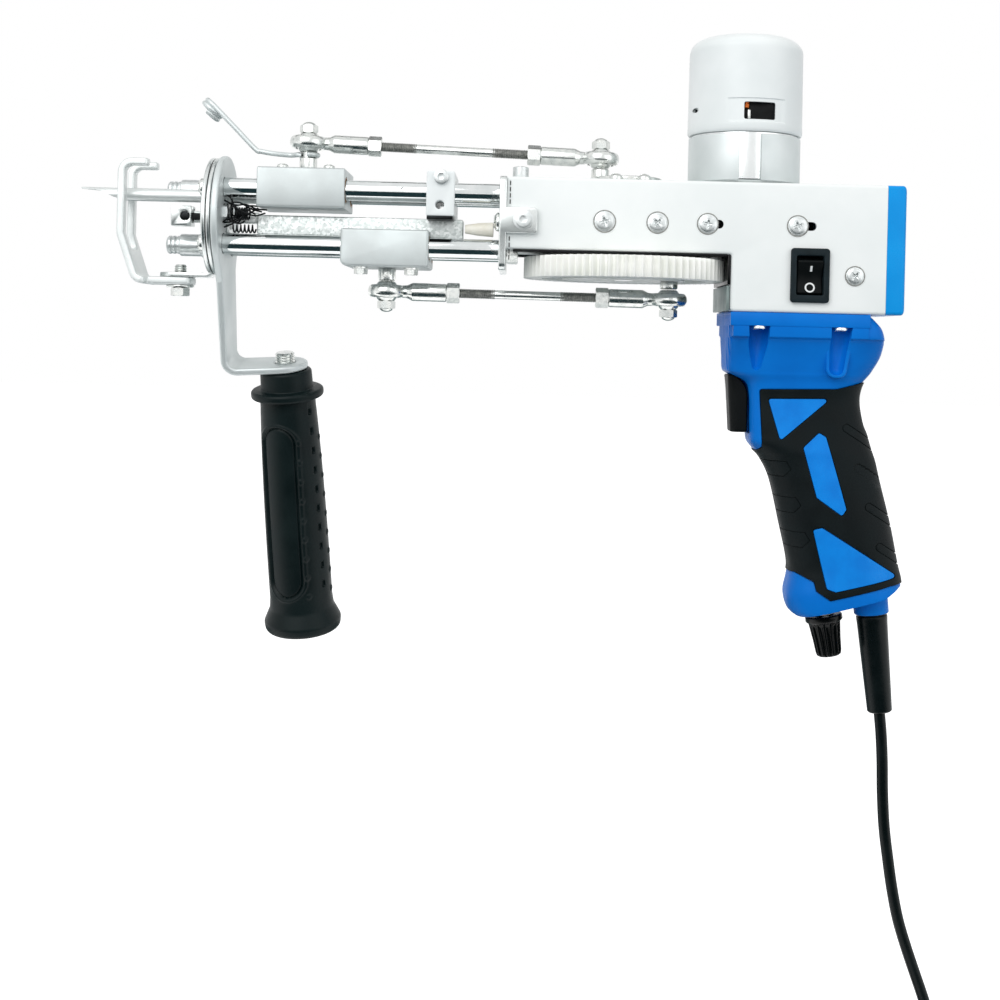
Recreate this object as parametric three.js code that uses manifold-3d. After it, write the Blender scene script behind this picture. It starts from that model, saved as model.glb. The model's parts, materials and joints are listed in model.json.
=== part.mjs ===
// Handheld tufting machine with a reciprocating hollow needle and a following pair of scissors.
// Millimetres, +Z up. The origin is the middle of the rear grip, the needle points along -X,
// and Y 0 is the plane that the needle, both cranks and the grip share.
import * as THREE from "three";
import { mergeVertices } from "three/addons/utils/BufferGeometryUtils.js";
import Module from "manifold-3d";

// Clearances
const seatGap = 0.1; // flat faces that rest on each other
const fitGap = 0.3; // cut, turning and sliding fits, measured on one side
const cutOverrun = 2; // how far a cutting tool runs past the face

// Housing of bent sheet, a slim front over the gear and a deeper rear over the grip
const housingTopZ = 120.3;
const housingFrontX = -128.2;
const housingLength = 146.9;
const housingRearLength = 59.8;
const housingHeight = 28.1;
const housingDrop = 22;
const housingWidth = 46;
const sheetThickness = 1.5;
const panelScrewHole = 3.4;
const panelScrewDrop = 16.6;
const panelScrewPlaces = [37.8, 58.2]; // from the housing's front
const panelSlotLength = 9;
const panelSlotPlaces = [78, 112.3];
const capLength = 6.6;
const capRounding = 3;

// Rear plate that holds the shafts, with an ear screwed to the side of the housing
const plateThickness = 2.7;
const plateDrop = 8.2;
const earLength = 12;
const earHeight = 10;
const earDrop = 12;
const earRounding = 2.5;

// Four guide shafts
const shaftDiameter = 8;
const shaftPitchY = 19;
const shaftPitchZ = 22;
const shaftBelowTop = 5.9;
const shaftFreeLength = 108.6;
const shaftThread = 5;
const nutAcrossFlats = 8;
const nutThickness = 4.5;
const shaftScrewHead = 7;
const shaftScrewHeight = 3.4;
const shaftScrewShank = 4;
const shaftScrewDepth = 8;
const collarDiameter = 9.4;
const collarLength = 13;
const shaftEndDiameter = 7.5;
const shaftEndLength = 4.3;

// Flange of three discs at the shafts' front end
const flangeDiameter = 47;
const frontDiscThickness = 1.8;
const middleDiscThickness = 1.8;
const bracketThickness = 3;
const windowWidth = 9.8;
const windowHeight = 23;
const footTabLength = 20;
const footTabWidth = 13;

// Bracket of the front handle, swung sideways about the flange's axis
const bracketSwing = 12;
const bracketLean = 1.1;
const bracketArmRise = 3.4;
const bracketDrop = 61.5;
const bracketTopWidth = 36;
const bracketEndWidth = 25;
const bracketArmLength = 33.5;
const bracketBend = 4;
const bracketHoleSetback = 23;

// Front handle of rubber on a threaded stud
const handleNeckDiameter = 21.3;
const handleNeckLength = 8;
const handleCollarDiameter = 29.5;
const handleCollarLength = 3.5;
const handleTopDiameter = 22.5;
const handleBodyDiameter = 26;
const handleFootDiameter = 32;
const handleFootLength = 9;
const handleLength = 109.4;
const handleRecessWidth = 15;
const handleRecessLength = 66;
const handleRecessDepth = 0.8;
const handleRecessRim = 3;
const handleTurn = -20; // degrees that the recess is turned towards the needle
const studDiameter = 8;
const studStandout = 6;

// Presser foot of folded flat steel
const footThickness = 3;
const footWidth = 21;
const footSlot = 11.5;
const footReach = 35.6;
const footFrontHeight = 28.4;
const footHookLength = 10.5;
const footSlantRise = 18.1;
const footSlantRun = 6.2;
const footBend = 4.5;
const footBaseLength = 21;
const footSlotBottom = 13;
const footTravel = 5;
const footBoltDiameter = 5;
const footBoltHead = 6.6;
const footBoltHeadHeight = 3.4;
const footWasher = 11;
const footWasherThickness = 1;
const footBoltSetback = 8;

// Needle carriage and what it carries
const carriageLength = 34.4;
const carriageHeight = 15.6;
const carriageDepth = 31;
const carriageChamfer = 1;
const needleCarriageFromFlange = 13.3;
const bushDiameter = 10.4;
const needleDiameter = 5.2;
const needleBore = 3.6;
const needleBelowShaft = 2.8;
const needleSeatDepth = 10;
const needleReach = 52.5;
const needlePointLength = 19.7;
const needleTipLength = 7.7;
const needleTipThickness = 0.7;
const guideWire = 1.8;
const guideFlat = 20.4;
const guideRise = 19;
const guideEyeDiameter = 10;
const guideEyeTurns = 2;

// Blade carriage and what it carries
const bladeCarriageLength = 34.6;
const bladeCarriageHeight = 14.7;
const bladeCarriageBelow = 7.9;
const bladeCarriageRounding = 4;
const bladeCarriageFromPlate = 27.5;
const pushBarLength = 82.1;
const pushBarHeight = 7.7;
const pushBarWidth = 8;
const pushBarRear = 14.4;
const pushBarSink = 2.5;
const pushBarHole = 3;
const scissorBlockSize = 8;
const scissorBlockReach = 34.3;
const scissorBlockRise = 2.7;
const scissorEye = 4;
const bladeThickness = 1.6;
const bladeHeight = 3.2;
const bladeTailLength = 14;
const stemThickness = 1.8;
const stemHeight = 4.6;
const springDiameter = 3.6;
const springWire = 0.7;
const springTurns = 6;

// White block that braces the upper shafts
const braceLength = 11.1;
const braceHeight = 17.5;
const braceAboveShaft = 8;
const braceFromPlate = 17.8;
const braceHole = 4;
const braceScrewHole = 4.4;

// Crank drive
const motorSetback = 52.9;
const gearModule = 1;
const gearTeeth = 78;
const pressureAngle = 20;
const pinionTeeth = 16;
const gearThickness = 8.4;
const gearBelowHousing = 1.9;
const toothBacklash = 0.3;
const pinionHubDiameter = 9.5;
const gearRecessDepth = 1.5;
const gearRimWidth = 5;
const gearWebInner = 24.5;
const needleCrankRadius = 10.3;
const bladeCrankRadius = 18.2;
const crankShaftDiameter = 8;
const crankDiscThickness = 2;
const crankStudDiameter = 7.2;
const crankStudHeight = 3.5;
const bladeStudHeight = 3;
const bladeStudShank = 4;
const bearingDiameter = 22;
const bearingWidth = 7;
const bearingBlockWidth = 34;

// Connecting rods with ball ends
const rodHeadDiameter = 14;
const rodHeadThickness = 5.5;
const rodBallDiameter = 10;
const rodBallWidth = 7.8;
const rodBarrelDiameter = 7.3;
const rodBarrelLength = 17;
const rodNutAcross = 7;
const rodNutLength = 5.3;
const rodThreadDiameter = 3.9;
const rodThreadLength = 14;
const rodDiameter = 3.2;
const ballNutDiameter = 7;
const ballNutHeight = 4.5;
const pinDiameter = 7;
const pinNeckDiameter = 5;
const needlePinHeight = 11.3;
const bladePinHeight = 9.1;

// Motor
const canDiameter = 42.4;
const canHeight = 19.7;
const canWall = 1.5;
const fluxRingThickness = 0.9;
const fluxRingMargin = 0.8;
const fluxRingGap = 8.8;
const motorCapDiameter = 45.4;
const motorCapHeight = 40;
const motorCapWall = 1.8;
const motorCapRounding = 5;
const capWindowWidth = 12.6;
const capWindowHeight = 7;
const capWindowRise = 10.5;
const capWindowOffset = 3.5;
const capRecessDepth = 0.6;
const capRecessMargin = 4;
const rotorDiameter = 32;
const rotorHeight = 22;
const commutatorDiameter = 14;
const motorShaftDiameter = 5;

// Rocker switch in the near side
const switchWidth = 15;
const switchHeight = 21;
const switchBezel = 1.8;
const switchDepth = 16;
const switchRim = 1.7;
const switchWell = 8;
const switchFromBack = 29.6;
const switchRise = 14.5;
const rockerTilt = 9;

// Pistol grip in two halves, its rubber panels, trigger and speed knob
const gripReach = 73.2;
const gripHeight = 120.6;
const gripHalfWidth = 22.5;
const gripFrontSetback = 0.3;
const gripWall = 2.6;
const rubberProud = 0.6;
const rubberDepth = 1.4;
const seamGap = 0.15;
const screwChannel = 8.3;
const screwChannelDepth = 26;
const triggerWidth = 14;
const triggerHeight = 23;
const triggerLength = 9;
const triggerTravel = 6;
const triggerDrop = 24.4;
const triggerStandout = 8;
const triggerRounding = 8;
const triggerSwitchLength = 14;
const triggerSwitchHeight = 18;
const gripHollowWidth = 16.6;
const knobDiameter = 14.8;
const knobTipDiameter = 9;
const knobLength = 16.6;
const knobRimLength = 2.6;
const knobLean = 9.6;
const knobFromFront = 42.7;
const knobFlutes = 12;
const knobShaftDiameter = 6;
const knobShaftLength = 9;
const controlDiameter = 15;
const controlLength = 9;
const glandFromFront = 62.4;
const glandDiameter = 14.1;
const glandLength = 6;
const glandStandout = 1;

// Cord with its tapered relief, coil, tie and plug
const cordDiameter = 4.5;
const reliefTopDiameter = 12;
const reliefEndDiameter = 9.6;
const reliefLength = 39.7;
const reliefLean = 6.2;
const coilMeanDiameter = 54;
const coilPitch = 5.8;
const coilTurnsPerLayer = 3.75;
const tieWidth = 7;
const tieThickness = 1.4;
const plugDiameter = 10;
const plugLength = 33;
const plugBarrelDiameter = 5.5;
const plugBarrelLength = 9.5;

// Facets
const roundSides = 16;
const smallSides = 10;
const wideSides = 24;
const cornerSteps = 3;
const loopSteps = 20;
const cordSides = 6;

// Shares of a width, a radius or a length that shape small forms
const roundEndShare = 0.97; // end radius of a slot against its half width
const domeShare = 0.7; // flat top of a domed head against its radius
const domeRiseShare = 0.4; // height of a dome against its radius
const edgeShare = 0.3; // broken edge against the length it ends
const hexShare = Math.cos(Math.PI / 6); // half width across flats against the corner radius
const windowDropShare = 0.32; // of the flange's window below its axis, and above it
const windowRiseShare = 0.57;
const tabRiseShare = 0.32; // of the foot's tab where it meets the disc
const waistShare = 0.86; // of the bracket's width where the disc ends
const waistDropShare = 0.6;
const recessReachShares = [1.7, 0.88, 0.8]; // of the handle's recess across its radius
const noseShare = 0.25; // of the foot's base behind its bolt
const scoopShares = [0.62, 0.35]; // of the needle's scoop at its middle: length and level
const tongueShare = 1.8; // of the needle's tongue where it starts, against its tip
const eyeTurnShare = 0.8; // of a turn that the guide's wire lies round its pin
const pivotShare = 0.3; // of the scissor block behind its pivot
const bladeTipShares = [0.2, 0.3]; // of the blade's half height below and above at its tip
const gearRootShare = 1.25; // of the module from pitch to root, and to tip
const gearTipShare = 0.95;
const flankShare = 1.35; // how much faster a tooth narrows above the pitch line
const crankDiscShare = 0.6; // of the stud beyond its circle
const rotorTopShare = 0.6;
const ringSlitShare = 0.3; // of the flux ring's gap left of the middle
const recessInShare = 0.985;
const rockerPivotShare = 0.4; // of the switch's well
const rockerBellyShare = 0.25;
const gripScrewShares = [0.157, 0.59]; // of the grip's reach
const screwChannelShare = 0.35; // of a channel's width inside the grip's side
const gripRailShare = 0.74;
const knobDropShare = 0.987; // of the grip's height at the knob and at the gland
const glandDropShare = 0.985;
const triggerSetbackShare = 0.019;
const knobRimShares = [0.8, 0.9]; // of the knob's rim radius at its foot and its top
const fluteShare = 0.9;
const controlNeckShare = 0.6;
const plugNeckShares = [0.72, 0.6]; // of the plug's radius, and lengths along it
const plugNeckPlaces = [0.45, 0.4];
const plugHollowShare = 0.2;
const endGrooveShares = [0.75, 0.8, 2.2]; // of the far shafts' round ends

// Grip sections, from the top down: drop, front edge, back edge, half width, squareness
const gripSectionShares = [
  [0, 0, 0.749, 1, 8],
  [0.072, 0.003, 0.838, 0.99, 7],
  [0.14, 0.004, 0.832, 0.84, 5],
  [0.197, 0.008, 0.785, 0.71, 4],
  [0.227, 0.107, 0.765, 0.64, 3.2],
  [0.278, 0.127, 0.754, 0.61, 2.8],
  [0.422, 0.161, 0.811, 0.67, 2.6],
  [0.459, 0.206, 0.828, 0.69, 2.6],
  [0.548, 0.262, 0.866, 0.73, 2.5],
  [0.685, 0.314, 0.925, 0.76, 2.5],
  [0.812, 0.357, 0.971, 0.76, 2.5],
  [0.863, 0.374, 0.992, 0.76, 2.7],
  [0.92, 0.361, 1, 0.76, 3],
  [0.974, 0.385, 0.967, 0.71, 3],
  [1, 0.447, 0.913, 0.62, 3],
];

// Side view of the rubber and of the blue windows in it: reach and drop from the grip's top front
const rubberOutlineShares = [
  [0.171, 0.249], [0.742, 0.223], [1.17, 0.225], [1.17, 0.838], [0.91, 0.855], [0.579, 0.919],
  [0.497, 0.89], [0.492, 0.862], [0.395, 0.825], [0.011, 0.838], [0.011, 0.461], [0.179, 0.46],
];
const gripWindowShares = [
  [[0.221, 0.278], [0.522, 0.273], [0.283, 0.405]],
  [[0.411, 0.432], [0.495, 0.383], [0.531, 0.396], [0.642, 0.625], [0.622, 0.645], [0.486, 0.589]],
  [[0.475, 0.698], [0.512, 0.692], [0.91, 0.838], [0.6, 0.89], [0.551, 0.879]],
];

// Slant of the grip's underside
const gripUndersideShares = [
  [0.1, 1.03], [0.447, 1], [0.745, 0.969], [1.02, 0.908], [1.2, 0.908], [1.2, 1.2], [0.1, 1.2],
];

// Side view of the hollow for the trigger switch, the wires and the speed control
const gripHollowShares = [
  [0.22, 0.2], [0.62, 0.2], [0.66, 0.5], [0.83, 0.8], [0.83, 0.91], [0.44, 0.955], [0.4, 0.6], [0.22, 0.42],
];

// The cord's free run, from the relief's end to the coil, chosen by hand
const cordRoute = [
  [25.4, 0, -88.5], [26.3, 0, -97], [27.0, 0, -108], [27.4, 0, -120], [28.4, 0, -134], [30.3, 0, -147.5],
  [32.2, 0, -159], [34.7, 0, -170.5], [38.0, 0, -181], [41.6, 0, -191], [45.4, -0.4, -201.5],
  [48.8, -1.2, -212], [51.2, -2.2, -222], [52.4, -2.8, -232], [52.6, -2.8, -240],
];

// Places worked out from the sizes
const degree = Math.PI / 180;
const half = 0.5;
const quarter = half * half;
const housingBottomZ = housingTopZ - housingHeight;
const rearBottomZ = housingBottomZ - housingDrop;
const housingBackX = housingFrontX + housingLength;
const stepX = housingBackX - housingRearLength;
const housingSide = housingWidth * half;
const plateBackX = housingFrontX - seatGap;
const plateFrontX = plateBackX - plateThickness;
const upperShaftZ = housingTopZ - shaftBelowTop;
const lowerShaftZ = upperShaftZ - shaftPitchZ;
const flangeZ = (upperShaftZ + lowerShaftZ) * half;
const shaftSideY = shaftPitchY * half;
const shaftRadius = shaftDiameter * half;
const flangeBackX = plateFrontX - shaftFreeLength;
const bracketFaceX = flangeBackX - bracketThickness;
const middleDiscX = bracketFaceX - seatGap - middleDiscThickness;
const frontDiscX = middleDiscX - seatGap - frontDiscThickness;
const gearRadius = gearModule * gearTeeth * half;
const pinionRadius = gearModule * pinionTeeth * half;
const motorX = housingBackX - motorSetback;
const crankX = motorX - gearRadius - pinionRadius;
const gearTopZ = housingBottomZ - gearBelowHousing;
const gearBottomZ = gearTopZ - gearThickness;
const gripTopZ = rearBottomZ - seatGap;
const gripFrontX = stepX + gripFrontSetback;

// Finishes: colour, roughness, metalness
const finishes = {
  whitePaint: [0xf1f4f3, 0.45, 0],
  blueCap: [0x1590ea, 0.4, 0],
  bluePlastic: [0x0f6fe0, 0.38, 0],
  zincSteel: [0xc9cfcf, 0.38, 0.9],
  paleZinc: [0xe4e8e7, 0.5, 0.35],
  polishedSteel: [0xd3d8d9, 0.16, 1],
  castAluminium: [0xc6cccb, 0.5, 0.55],
  galvanised: [0xc8cdcb, 0.55, 0.7],
  bronze: [0xa87b45, 0.45, 0.9],
  blackSteel: [0x24282a, 0.4, 0.7],
  nylon: [0xf2f3ee, 0.5, 0],
  blackRubber: [0x16191a, 0.62, 0],
  blackPlastic: [0x111415, 0.32, 0],
  brightCan: [0xcfd5d5, 0.28, 0.9],
  copper: [0xb0693a, 0.4, 0.9],
};

const wasm = await Module();
wasm.setup();

// Turns a closed three.js geometry into a solid that can be cut and joined.
function solid(geometry) {
  const plain = geometry.clone();
  plain.deleteAttribute("uv");
  plain.deleteAttribute("normal");
  const merged = mergeVertices(plain);
  const source = merged.index.array;
  const corners = [];
  for (let i = 0; i < source.length; i += 3) {
    const [a, b, c] = [source[i], source[i + 1], source[i + 2]];
    if (a !== b && b !== c && c !== a) corners.push(a, b, c);
  }
  const vertProperties = new Float32Array(merged.attributes.position.array);
  const triVerts = new Uint32Array(corners);
  return new wasm.Manifold(new wasm.Mesh({ numProp: 3, vertProperties, triVerts }));
}

// Joins solids into one.
function join(first, ...others) {
  return others.reduce((sum, other) => sum.add(other), first);
}

// Cuts tools out of a solid.
function cut(body, ...tools) {
  return tools.reduce((rest, tool) => rest.subtract(tool), body);
}

// Turns a solid back into a geometry with flat faces.
function geometryOf(body) {
  const mesh = body.getMesh();
  const geometry = new THREE.BufferGeometry();
  geometry.setAttribute("position", new THREE.BufferAttribute(new Float32Array(mesh.vertProperties), 3));
  geometry.setIndex(new THREE.BufferAttribute(new Uint32Array(mesh.triVerts), 1));
  const flat = geometry.toNonIndexed();
  flat.computeVertexNormals();
  return flat;
}

const machine = new THREE.Group();

// Adds one named piece to a group.
function piece(group, name, body, finish) {
  const [color, roughness, metalness] = finishes[finish];
  const material = new THREE.MeshStandardMaterial({ color, roughness, metalness });
  const mesh = new THREE.Mesh(geometryOf(body), material);
  mesh.name = name;
  group.add(mesh);
}

// A group of pieces with its own origin.
function assembly(x, y, z, parent = machine) {
  const group = new THREE.Group();
  group.position.set(x, y, z);
  parent.add(group);
  return group;
}

// Geometry moved by a matrix and made solid.
function placed(geometry, matrix) {
  return solid(geometry.applyMatrix4(matrix));
}

// Box between two corners.
function box(x0, x1, y0, y1, z0, z1) {
  const geometry = new THREE.BoxGeometry(x1 - x0, y1 - y0, z1 - z0);
  return solid(geometry.translate((x0 + x1) * half, (y0 + y1) * half, (z0 + z1) * half));
}

const quarterTurn = Math.PI * half;
const alongZ = new THREE.Matrix4().makeRotationX(quarterTurn);
const alongX = new THREE.Matrix4().makeRotationZ(-quarterTurn);
const outlineToYZ = new THREE.Matrix4().makeBasis(
  new THREE.Vector3(0, 1, 0), new THREE.Vector3(0, 0, 1), new THREE.Vector3(1, 0, 0),
);

// Round bar along an axis, from one end to the other.
function barZ(radius, x, y, z0, z1, sides = smallSides) {
  const geometry = new THREE.CylinderGeometry(radius, radius, z1 - z0, sides).applyMatrix4(alongZ);
  return solid(geometry.translate(x, y, (z0 + z1) * half));
}
function barX(radius, y, z, x0, x1, sides = smallSides) {
  const geometry = new THREE.CylinderGeometry(radius, radius, x1 - x0, sides).applyMatrix4(alongX);
  return solid(geometry.translate((x0 + x1) * half, y, z));
}
function barY(radius, x, z, y0, y1, sides = smallSides) {
  const geometry = new THREE.CylinderGeometry(radius, radius, y1 - y0, sides);
  return solid(geometry.translate(x, (y0 + y1) * half, z));
}

// Shape turned about an axis from [radius, height] points that start and end on the axis or close.
function turned(points, matrix, sides = roundSides) {
  const profile = points.map(([radius, height]) => new THREE.Vector2(radius, height));
  return placed(new THREE.LatheGeometry(profile, sides), matrix);
}
const turnedZ = (points, sides) => turned(points, alongZ, sides);
const turnedX = (points, sides) => turned(points, alongX, sides);

// Closed outline through points, in order.
function outline(points) {
  const shape = new THREE.Shape();
  points.forEach(([u, v], i) => (i === 0 ? shape.moveTo(u, v) : shape.lineTo(u, v)));
  return shape;
}

// Rectangle about a middle, with rounded corners.
function roundedRectangle(u0, u1, v0, v1, radius) {
  const corners = [[u1, v0, -1], [u1, v1, 0], [u0, v1, 1], [u0, v0, 2]];
  const points = [];
  for (const [u, v, quarter] of corners) {
    const middleU = u === u1 ? u1 - radius : u0 + radius;
    const middleV = v === v1 ? v1 - radius : v0 + radius;
    for (let i = 0; i <= cornerSteps; i++) {
      const angle = (quarter + i / cornerSteps) * quarterTurn;
      points.push([middleU + radius * Math.cos(angle), middleV + radius * Math.sin(angle)]);
    }
  }
  return outline(points);
}

function prism(shape, depth) {
  return new THREE.ExtrudeGeometry(shape, { depth, bevelEnabled: false, curveSegments: cornerSteps });
}

// Outline in the XY plane carried up, in the XZ plane carried across, in the YZ plane carried back.
function prismZ(shape, z0, z1) {
  return solid(prism(shape, z1 - z0).translate(0, 0, z0));
}
function prismY(shape, y0, y1) {
  return solid(prism(shape, y1 - y0).applyMatrix4(alongZ).translate(0, y1, 0));
}
function prismX(shape, x0, x1) {
  return solid(prism(shape, x1 - x0).applyMatrix4(outlineToYZ).translate(x0, 0, 0));
}

// Side outline of a flat strip that follows a line with rounded bends.
function stripOutline(line, thickness, bend) {
  const path = [];
  line.forEach(([u, v], i) => {
    const here = new THREE.Vector2(u, v);
    if (i === 0 || i === line.length - 1) {
      path.push(here);
      return;
    }
    const before = new THREE.Vector2(...line[i - 1]).sub(here).normalize();
    const after = new THREE.Vector2(...line[i + 1]).sub(here).normalize();
    const opening = Math.acos(THREE.MathUtils.clamp(before.dot(after), -1, 1)) * half;
    const setback = bend / Math.tan(opening);
    const start = here.clone().addScaledVector(before, setback);
    const end = here.clone().addScaledVector(after, setback);
    const curve = new THREE.QuadraticBezierCurve(start, here, end);
    for (let k = 0; k <= cornerSteps; k++) path.push(curve.getPoint(k / cornerSteps));
  });
  const left = [];
  const right = [];
  path.forEach((point, i) => {
    const ahead = path[Math.min(i + 1, path.length - 1)];
    const behind = path[Math.max(i - 1, 0)];
    const along = ahead.clone().sub(behind).normalize();
    const side = new THREE.Vector2(-along.y, along.x).multiplyScalar(thickness * half);
    left.push([point.x + side.x, point.y + side.y]);
    right.unshift([point.x - side.x, point.y - side.y]);
  });
  return outline([...left, ...right]);
}

// Closed skin over rings of points, each ring with the same count, with both ends capped.
function loft(rings) {
  const count = rings[0].length;
  const points = rings.flat();
  const index = [];
  for (let r = 0; r + 1 < rings.length; r++) {
    for (let i = 0; i < count; i++) {
      const next = (i + 1) % count;
      const [a, b] = [r * count + i, r * count + next];
      index.push(a, b, b + count, a, b + count, a + count);
    }
  }
  for (const [r, flip] of [[0, true], [rings.length - 1, false]]) {
    const middle = new THREE.Vector3();
    rings[r].forEach((point) => middle.addScaledVector(point, 1 / count));
    points.push(middle);
    for (let i = 0; i < count; i++) {
      const [a, b] = [r * count + i, r * count + ((i + 1) % count)];
      index.push(...(flip ? [b, a, points.length - 1] : [a, b, points.length - 1]));
    }
  }
  const geometry = new THREE.BufferGeometry().setFromPoints(points);
  geometry.setIndex(index);
  return geometry;
}

// Round wire or cord through points, with square ends.
function wire(points, radius, sides = cordSides) {
  const tangents = points.map((point, i) => {
    const ahead = points[Math.min(i + 1, points.length - 1)];
    const behind = points[Math.max(i - 1, 0)];
    return ahead.clone().sub(behind).normalize();
  });
  let across = new THREE.Vector3(0, 1, 0);
  if (Math.abs(tangents[0].dot(across)) > 1 - half) across = new THREE.Vector3(0, 0, 1);
  const rings = points.map((point, i) => {
    across = across.clone().addScaledVector(tangents[i], -across.dot(tangents[i])).normalize();
    const other = new THREE.Vector3().crossVectors(tangents[i], across);
    return Array.from({ length: sides }, (_, k) => {
      const angle = (2 * Math.PI * k) / sides;
      return point.clone()
        .addScaledVector(across, radius * Math.cos(angle))
        .addScaledVector(other, radius * Math.sin(angle));
    });
  });
  return solid(loft(rings));
}

// The housing and what closes it.
function addHousing() {
  const side = (inset, overrun) => outline([
    [housingFrontX - overrun, housingBottomZ + inset], [stepX + inset, housingBottomZ + inset],
    [stepX + inset, rearBottomZ + inset], [housingBackX + overrun, rearBottomZ + inset],
    [housingBackX + overrun, housingTopZ - inset], [housingFrontX - overrun, housingTopZ - inset],
  ]);
  const shell = cut(
    prismY(side(0, 0), -housingSide, housingSide),
    prismY(side(sheetThickness, cutOverrun), sheetThickness - housingSide, housingSide - sheetThickness),
  );
  const shaftHole = crankShaftDiameter * half + 2 * sheetThickness;
  const meshSide = pinionRadius + gearModule + 2 * sheetThickness;
  const through = housingSide + cutOverrun;
  const [switchX, switchZ] = switchPlace();
  const level = housingTopZ - panelScrewDrop;
  const radius = panelScrewHole * half;
  const screwHole = (place, length) => {
    const x = housingFrontX + place;
    const hole = roundedRectangle(
      x - radius, x - radius + length, level - radius, level + radius, radius * roundEndShare,
    );
    return prismY(hole, -through, sheetThickness * half + sheetThickness - housingSide);
  };
  const cutWidth = switchWidth * half - switchRim + fitGap;
  const cutHeight = switchHeight * half - switchRim + fitGap;
  const motorHole = motorShaftDiameter + sheetThickness;
  const middleZ = housingTopZ - housingHeight * half;
  piece(machine, "housing", cut(
    shell,
    barZ(shaftHole, crankX, 0, housingBottomZ - cutOverrun, housingTopZ + cutOverrun),
    barZ(motorHole, motorX, 0, middleZ, housingTopZ + cutOverrun),
    box(stepX - cutOverrun, stepX + sheetThickness + cutOverrun, -meshSide, meshSide,
      gearBottomZ - sheetThickness, gearTopZ + sheetThickness),
    box(switchX - cutWidth, switchX + cutWidth, -through, switchDepth * half - housingSide,
      switchZ - cutHeight, switchZ + cutHeight),
    ...panelScrewPlaces.map((place) => screwHole(place, panelScrewHole)),
    ...panelSlotPlaces.map((place) => screwHole(place, panelSlotLength)),
    ...nutNotches(),
  ), "whitePaint");

  const capStart = housingBackX + seatGap;
  const sections = [[0, 0], [capLength - capRounding, 0]];
  for (let i = 1; i <= cornerSteps; i++) {
    const angle = (i / cornerSteps) * quarterTurn;
    sections.push([capLength - capRounding * (1 - Math.sin(angle)), capRounding * (1 - Math.cos(angle))]);
  }
  const capRings = sections.map(([x, inset]) => roundedRectangle(
    inset - housingSide, housingSide - inset, rearBottomZ + inset, housingTopZ - inset, capRounding * half,
  ).getPoints(1).map((point) => new THREE.Vector3(capStart + x, point.x, point.y)));
  piece(machine, "rear_cap", solid(loft(capRings)), "blueCap");
}

// The four shafts' places across the machine.
function shaftPlaces() {
  return [-shaftSideY, shaftSideY].flatMap((y) => [lowerShaftZ, upperShaftZ].map((z) => [y, z]));
}

// Clearance round the shafts' nuts behind the plate.
function nutNotches() {
  const radius = nutCornerRadius() + fitGap;
  const end = plateBackX + seatGap + nutThickness + fitGap;
  return shaftPlaces().map(([y, z]) => barX(radius, y, z, housingFrontX - cutOverrun, end));
}

function nutCornerRadius() {
  return (nutAcrossFlats * half) / hexShare;
}

// Middle of the rocker switch in the side panel.
function switchPlace() {
  return [housingBackX - switchFromBack, rearBottomZ + switchRise];
}

// The plate behind the shafts and the ear that ties it to the panel.
function addShaftPlate() {
  const reach = housingSide + seatGap + plateThickness;
  const plateBottom = housingBottomZ - plateDrop;
  const plateView = roundedRectangle(-reach, reach, plateBottom, housingTopZ, earRounding);
  const plate = prismX(plateView, plateFrontX, plateBackX);
  const earTop = housingTopZ - earDrop;
  const earBack = plateFrontX + earLength + plateThickness;
  const earBottom = earTop - earHeight;
  const earInside = -housingSide - seatGap;
  const earView = roundedRectangle(plateFrontX, earBack, earBottom, earTop, earRounding);
  const ear = prismY(earView, -reach, earInside);
  const square = box(plateFrontX, plateBackX, -reach, earInside, earBottom, earTop);
  const bore = shaftThread * half + fitGap;
  const holes = shaftPlaces().map(([y, z]) =>
    barX(bore, y, z, plateFrontX - cutOverrun, plateBackX + cutOverrun));
  piece(machine, "shaft_plate", cut(join(plate, ear, square), ...holes), "zincSteel");
}

// The four shafts: near ones end at the flange under a screw, far ones pass it in a collar.
function addShafts() {
  const backEnd = plateBackX + seatGap + nutThickness;
  const nutRadius = nutCornerRadius();
  const rows = [["upper", upperShaftZ], ["lower", lowerShaftZ]];
  const barFront = frontDiscX + frontDiscThickness + seatGap;
  for (const [level, z] of rows) {
    for (const [place, y] of [["near", -shaftSideY], ["far", shaftSideY]]) {
      const bar = barX(shaftRadius, y, z, barFront, plateFrontX - seatGap, roundSides);
      const tail = barX(shaftThread * half, y, z, plateFrontX - cutOverrun, backEnd);
      const nut = barX(nutRadius, y, z, plateBackX + seatGap, backEnd, 6);
      const front = place === "near" ? nearShaftFront(y, z) : farShaftFront(y, z);
      piece(machine, `${level}_shaft_${place}`, join(bar, tail, nut, front), "polishedSteel");
    }
  }
}

function nearShaftFront(y, z) {
  const headBack = frontDiscX - seatGap;
  const shank = barX(shaftScrewShank * half, y, z, headBack - seatGap, frontDiscX + shaftScrewDepth);
  const head = shaftScrewHead * half;
  const dome = turnedX([
    [0, -shaftScrewHeight], [head * domeShare, -shaftScrewHeight], [head, -shaftScrewHeight * half],
    [head, 0], [0, 0],
  ], smallSides).translate([headBack, y, z]);
  return join(shank, dome);
}

function farShaftFront(y, z) {
  const radius = collarDiameter * half;
  const start = frontDiscX - seatGap - collarLength;
  const neck = barX(shaftScrewShank * half, y, z, frontDiscX - cutOverrun, frontDiscX + shaftScrewDepth);
  const collar = barX(radius, y, z, start, frontDiscX - seatGap);
  const groove = shaftEndLength / 3;
  const outer = shaftEndDiameter * half;
  const [faceShare, grooveShare, lipShare] = endGrooveShares;
  const end = turnedX([
    [0, 0], [outer * faceShare, 0], [outer, groove], [outer * grooveShare, groove * 2],
    [outer, groove * lipShare], [outer, shaftEndLength + seatGap], [0, shaftEndLength + seatGap],
  ], smallSides).translate([start - shaftEndLength, y, z]);
  return join(neck, collar, end);
}

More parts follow.
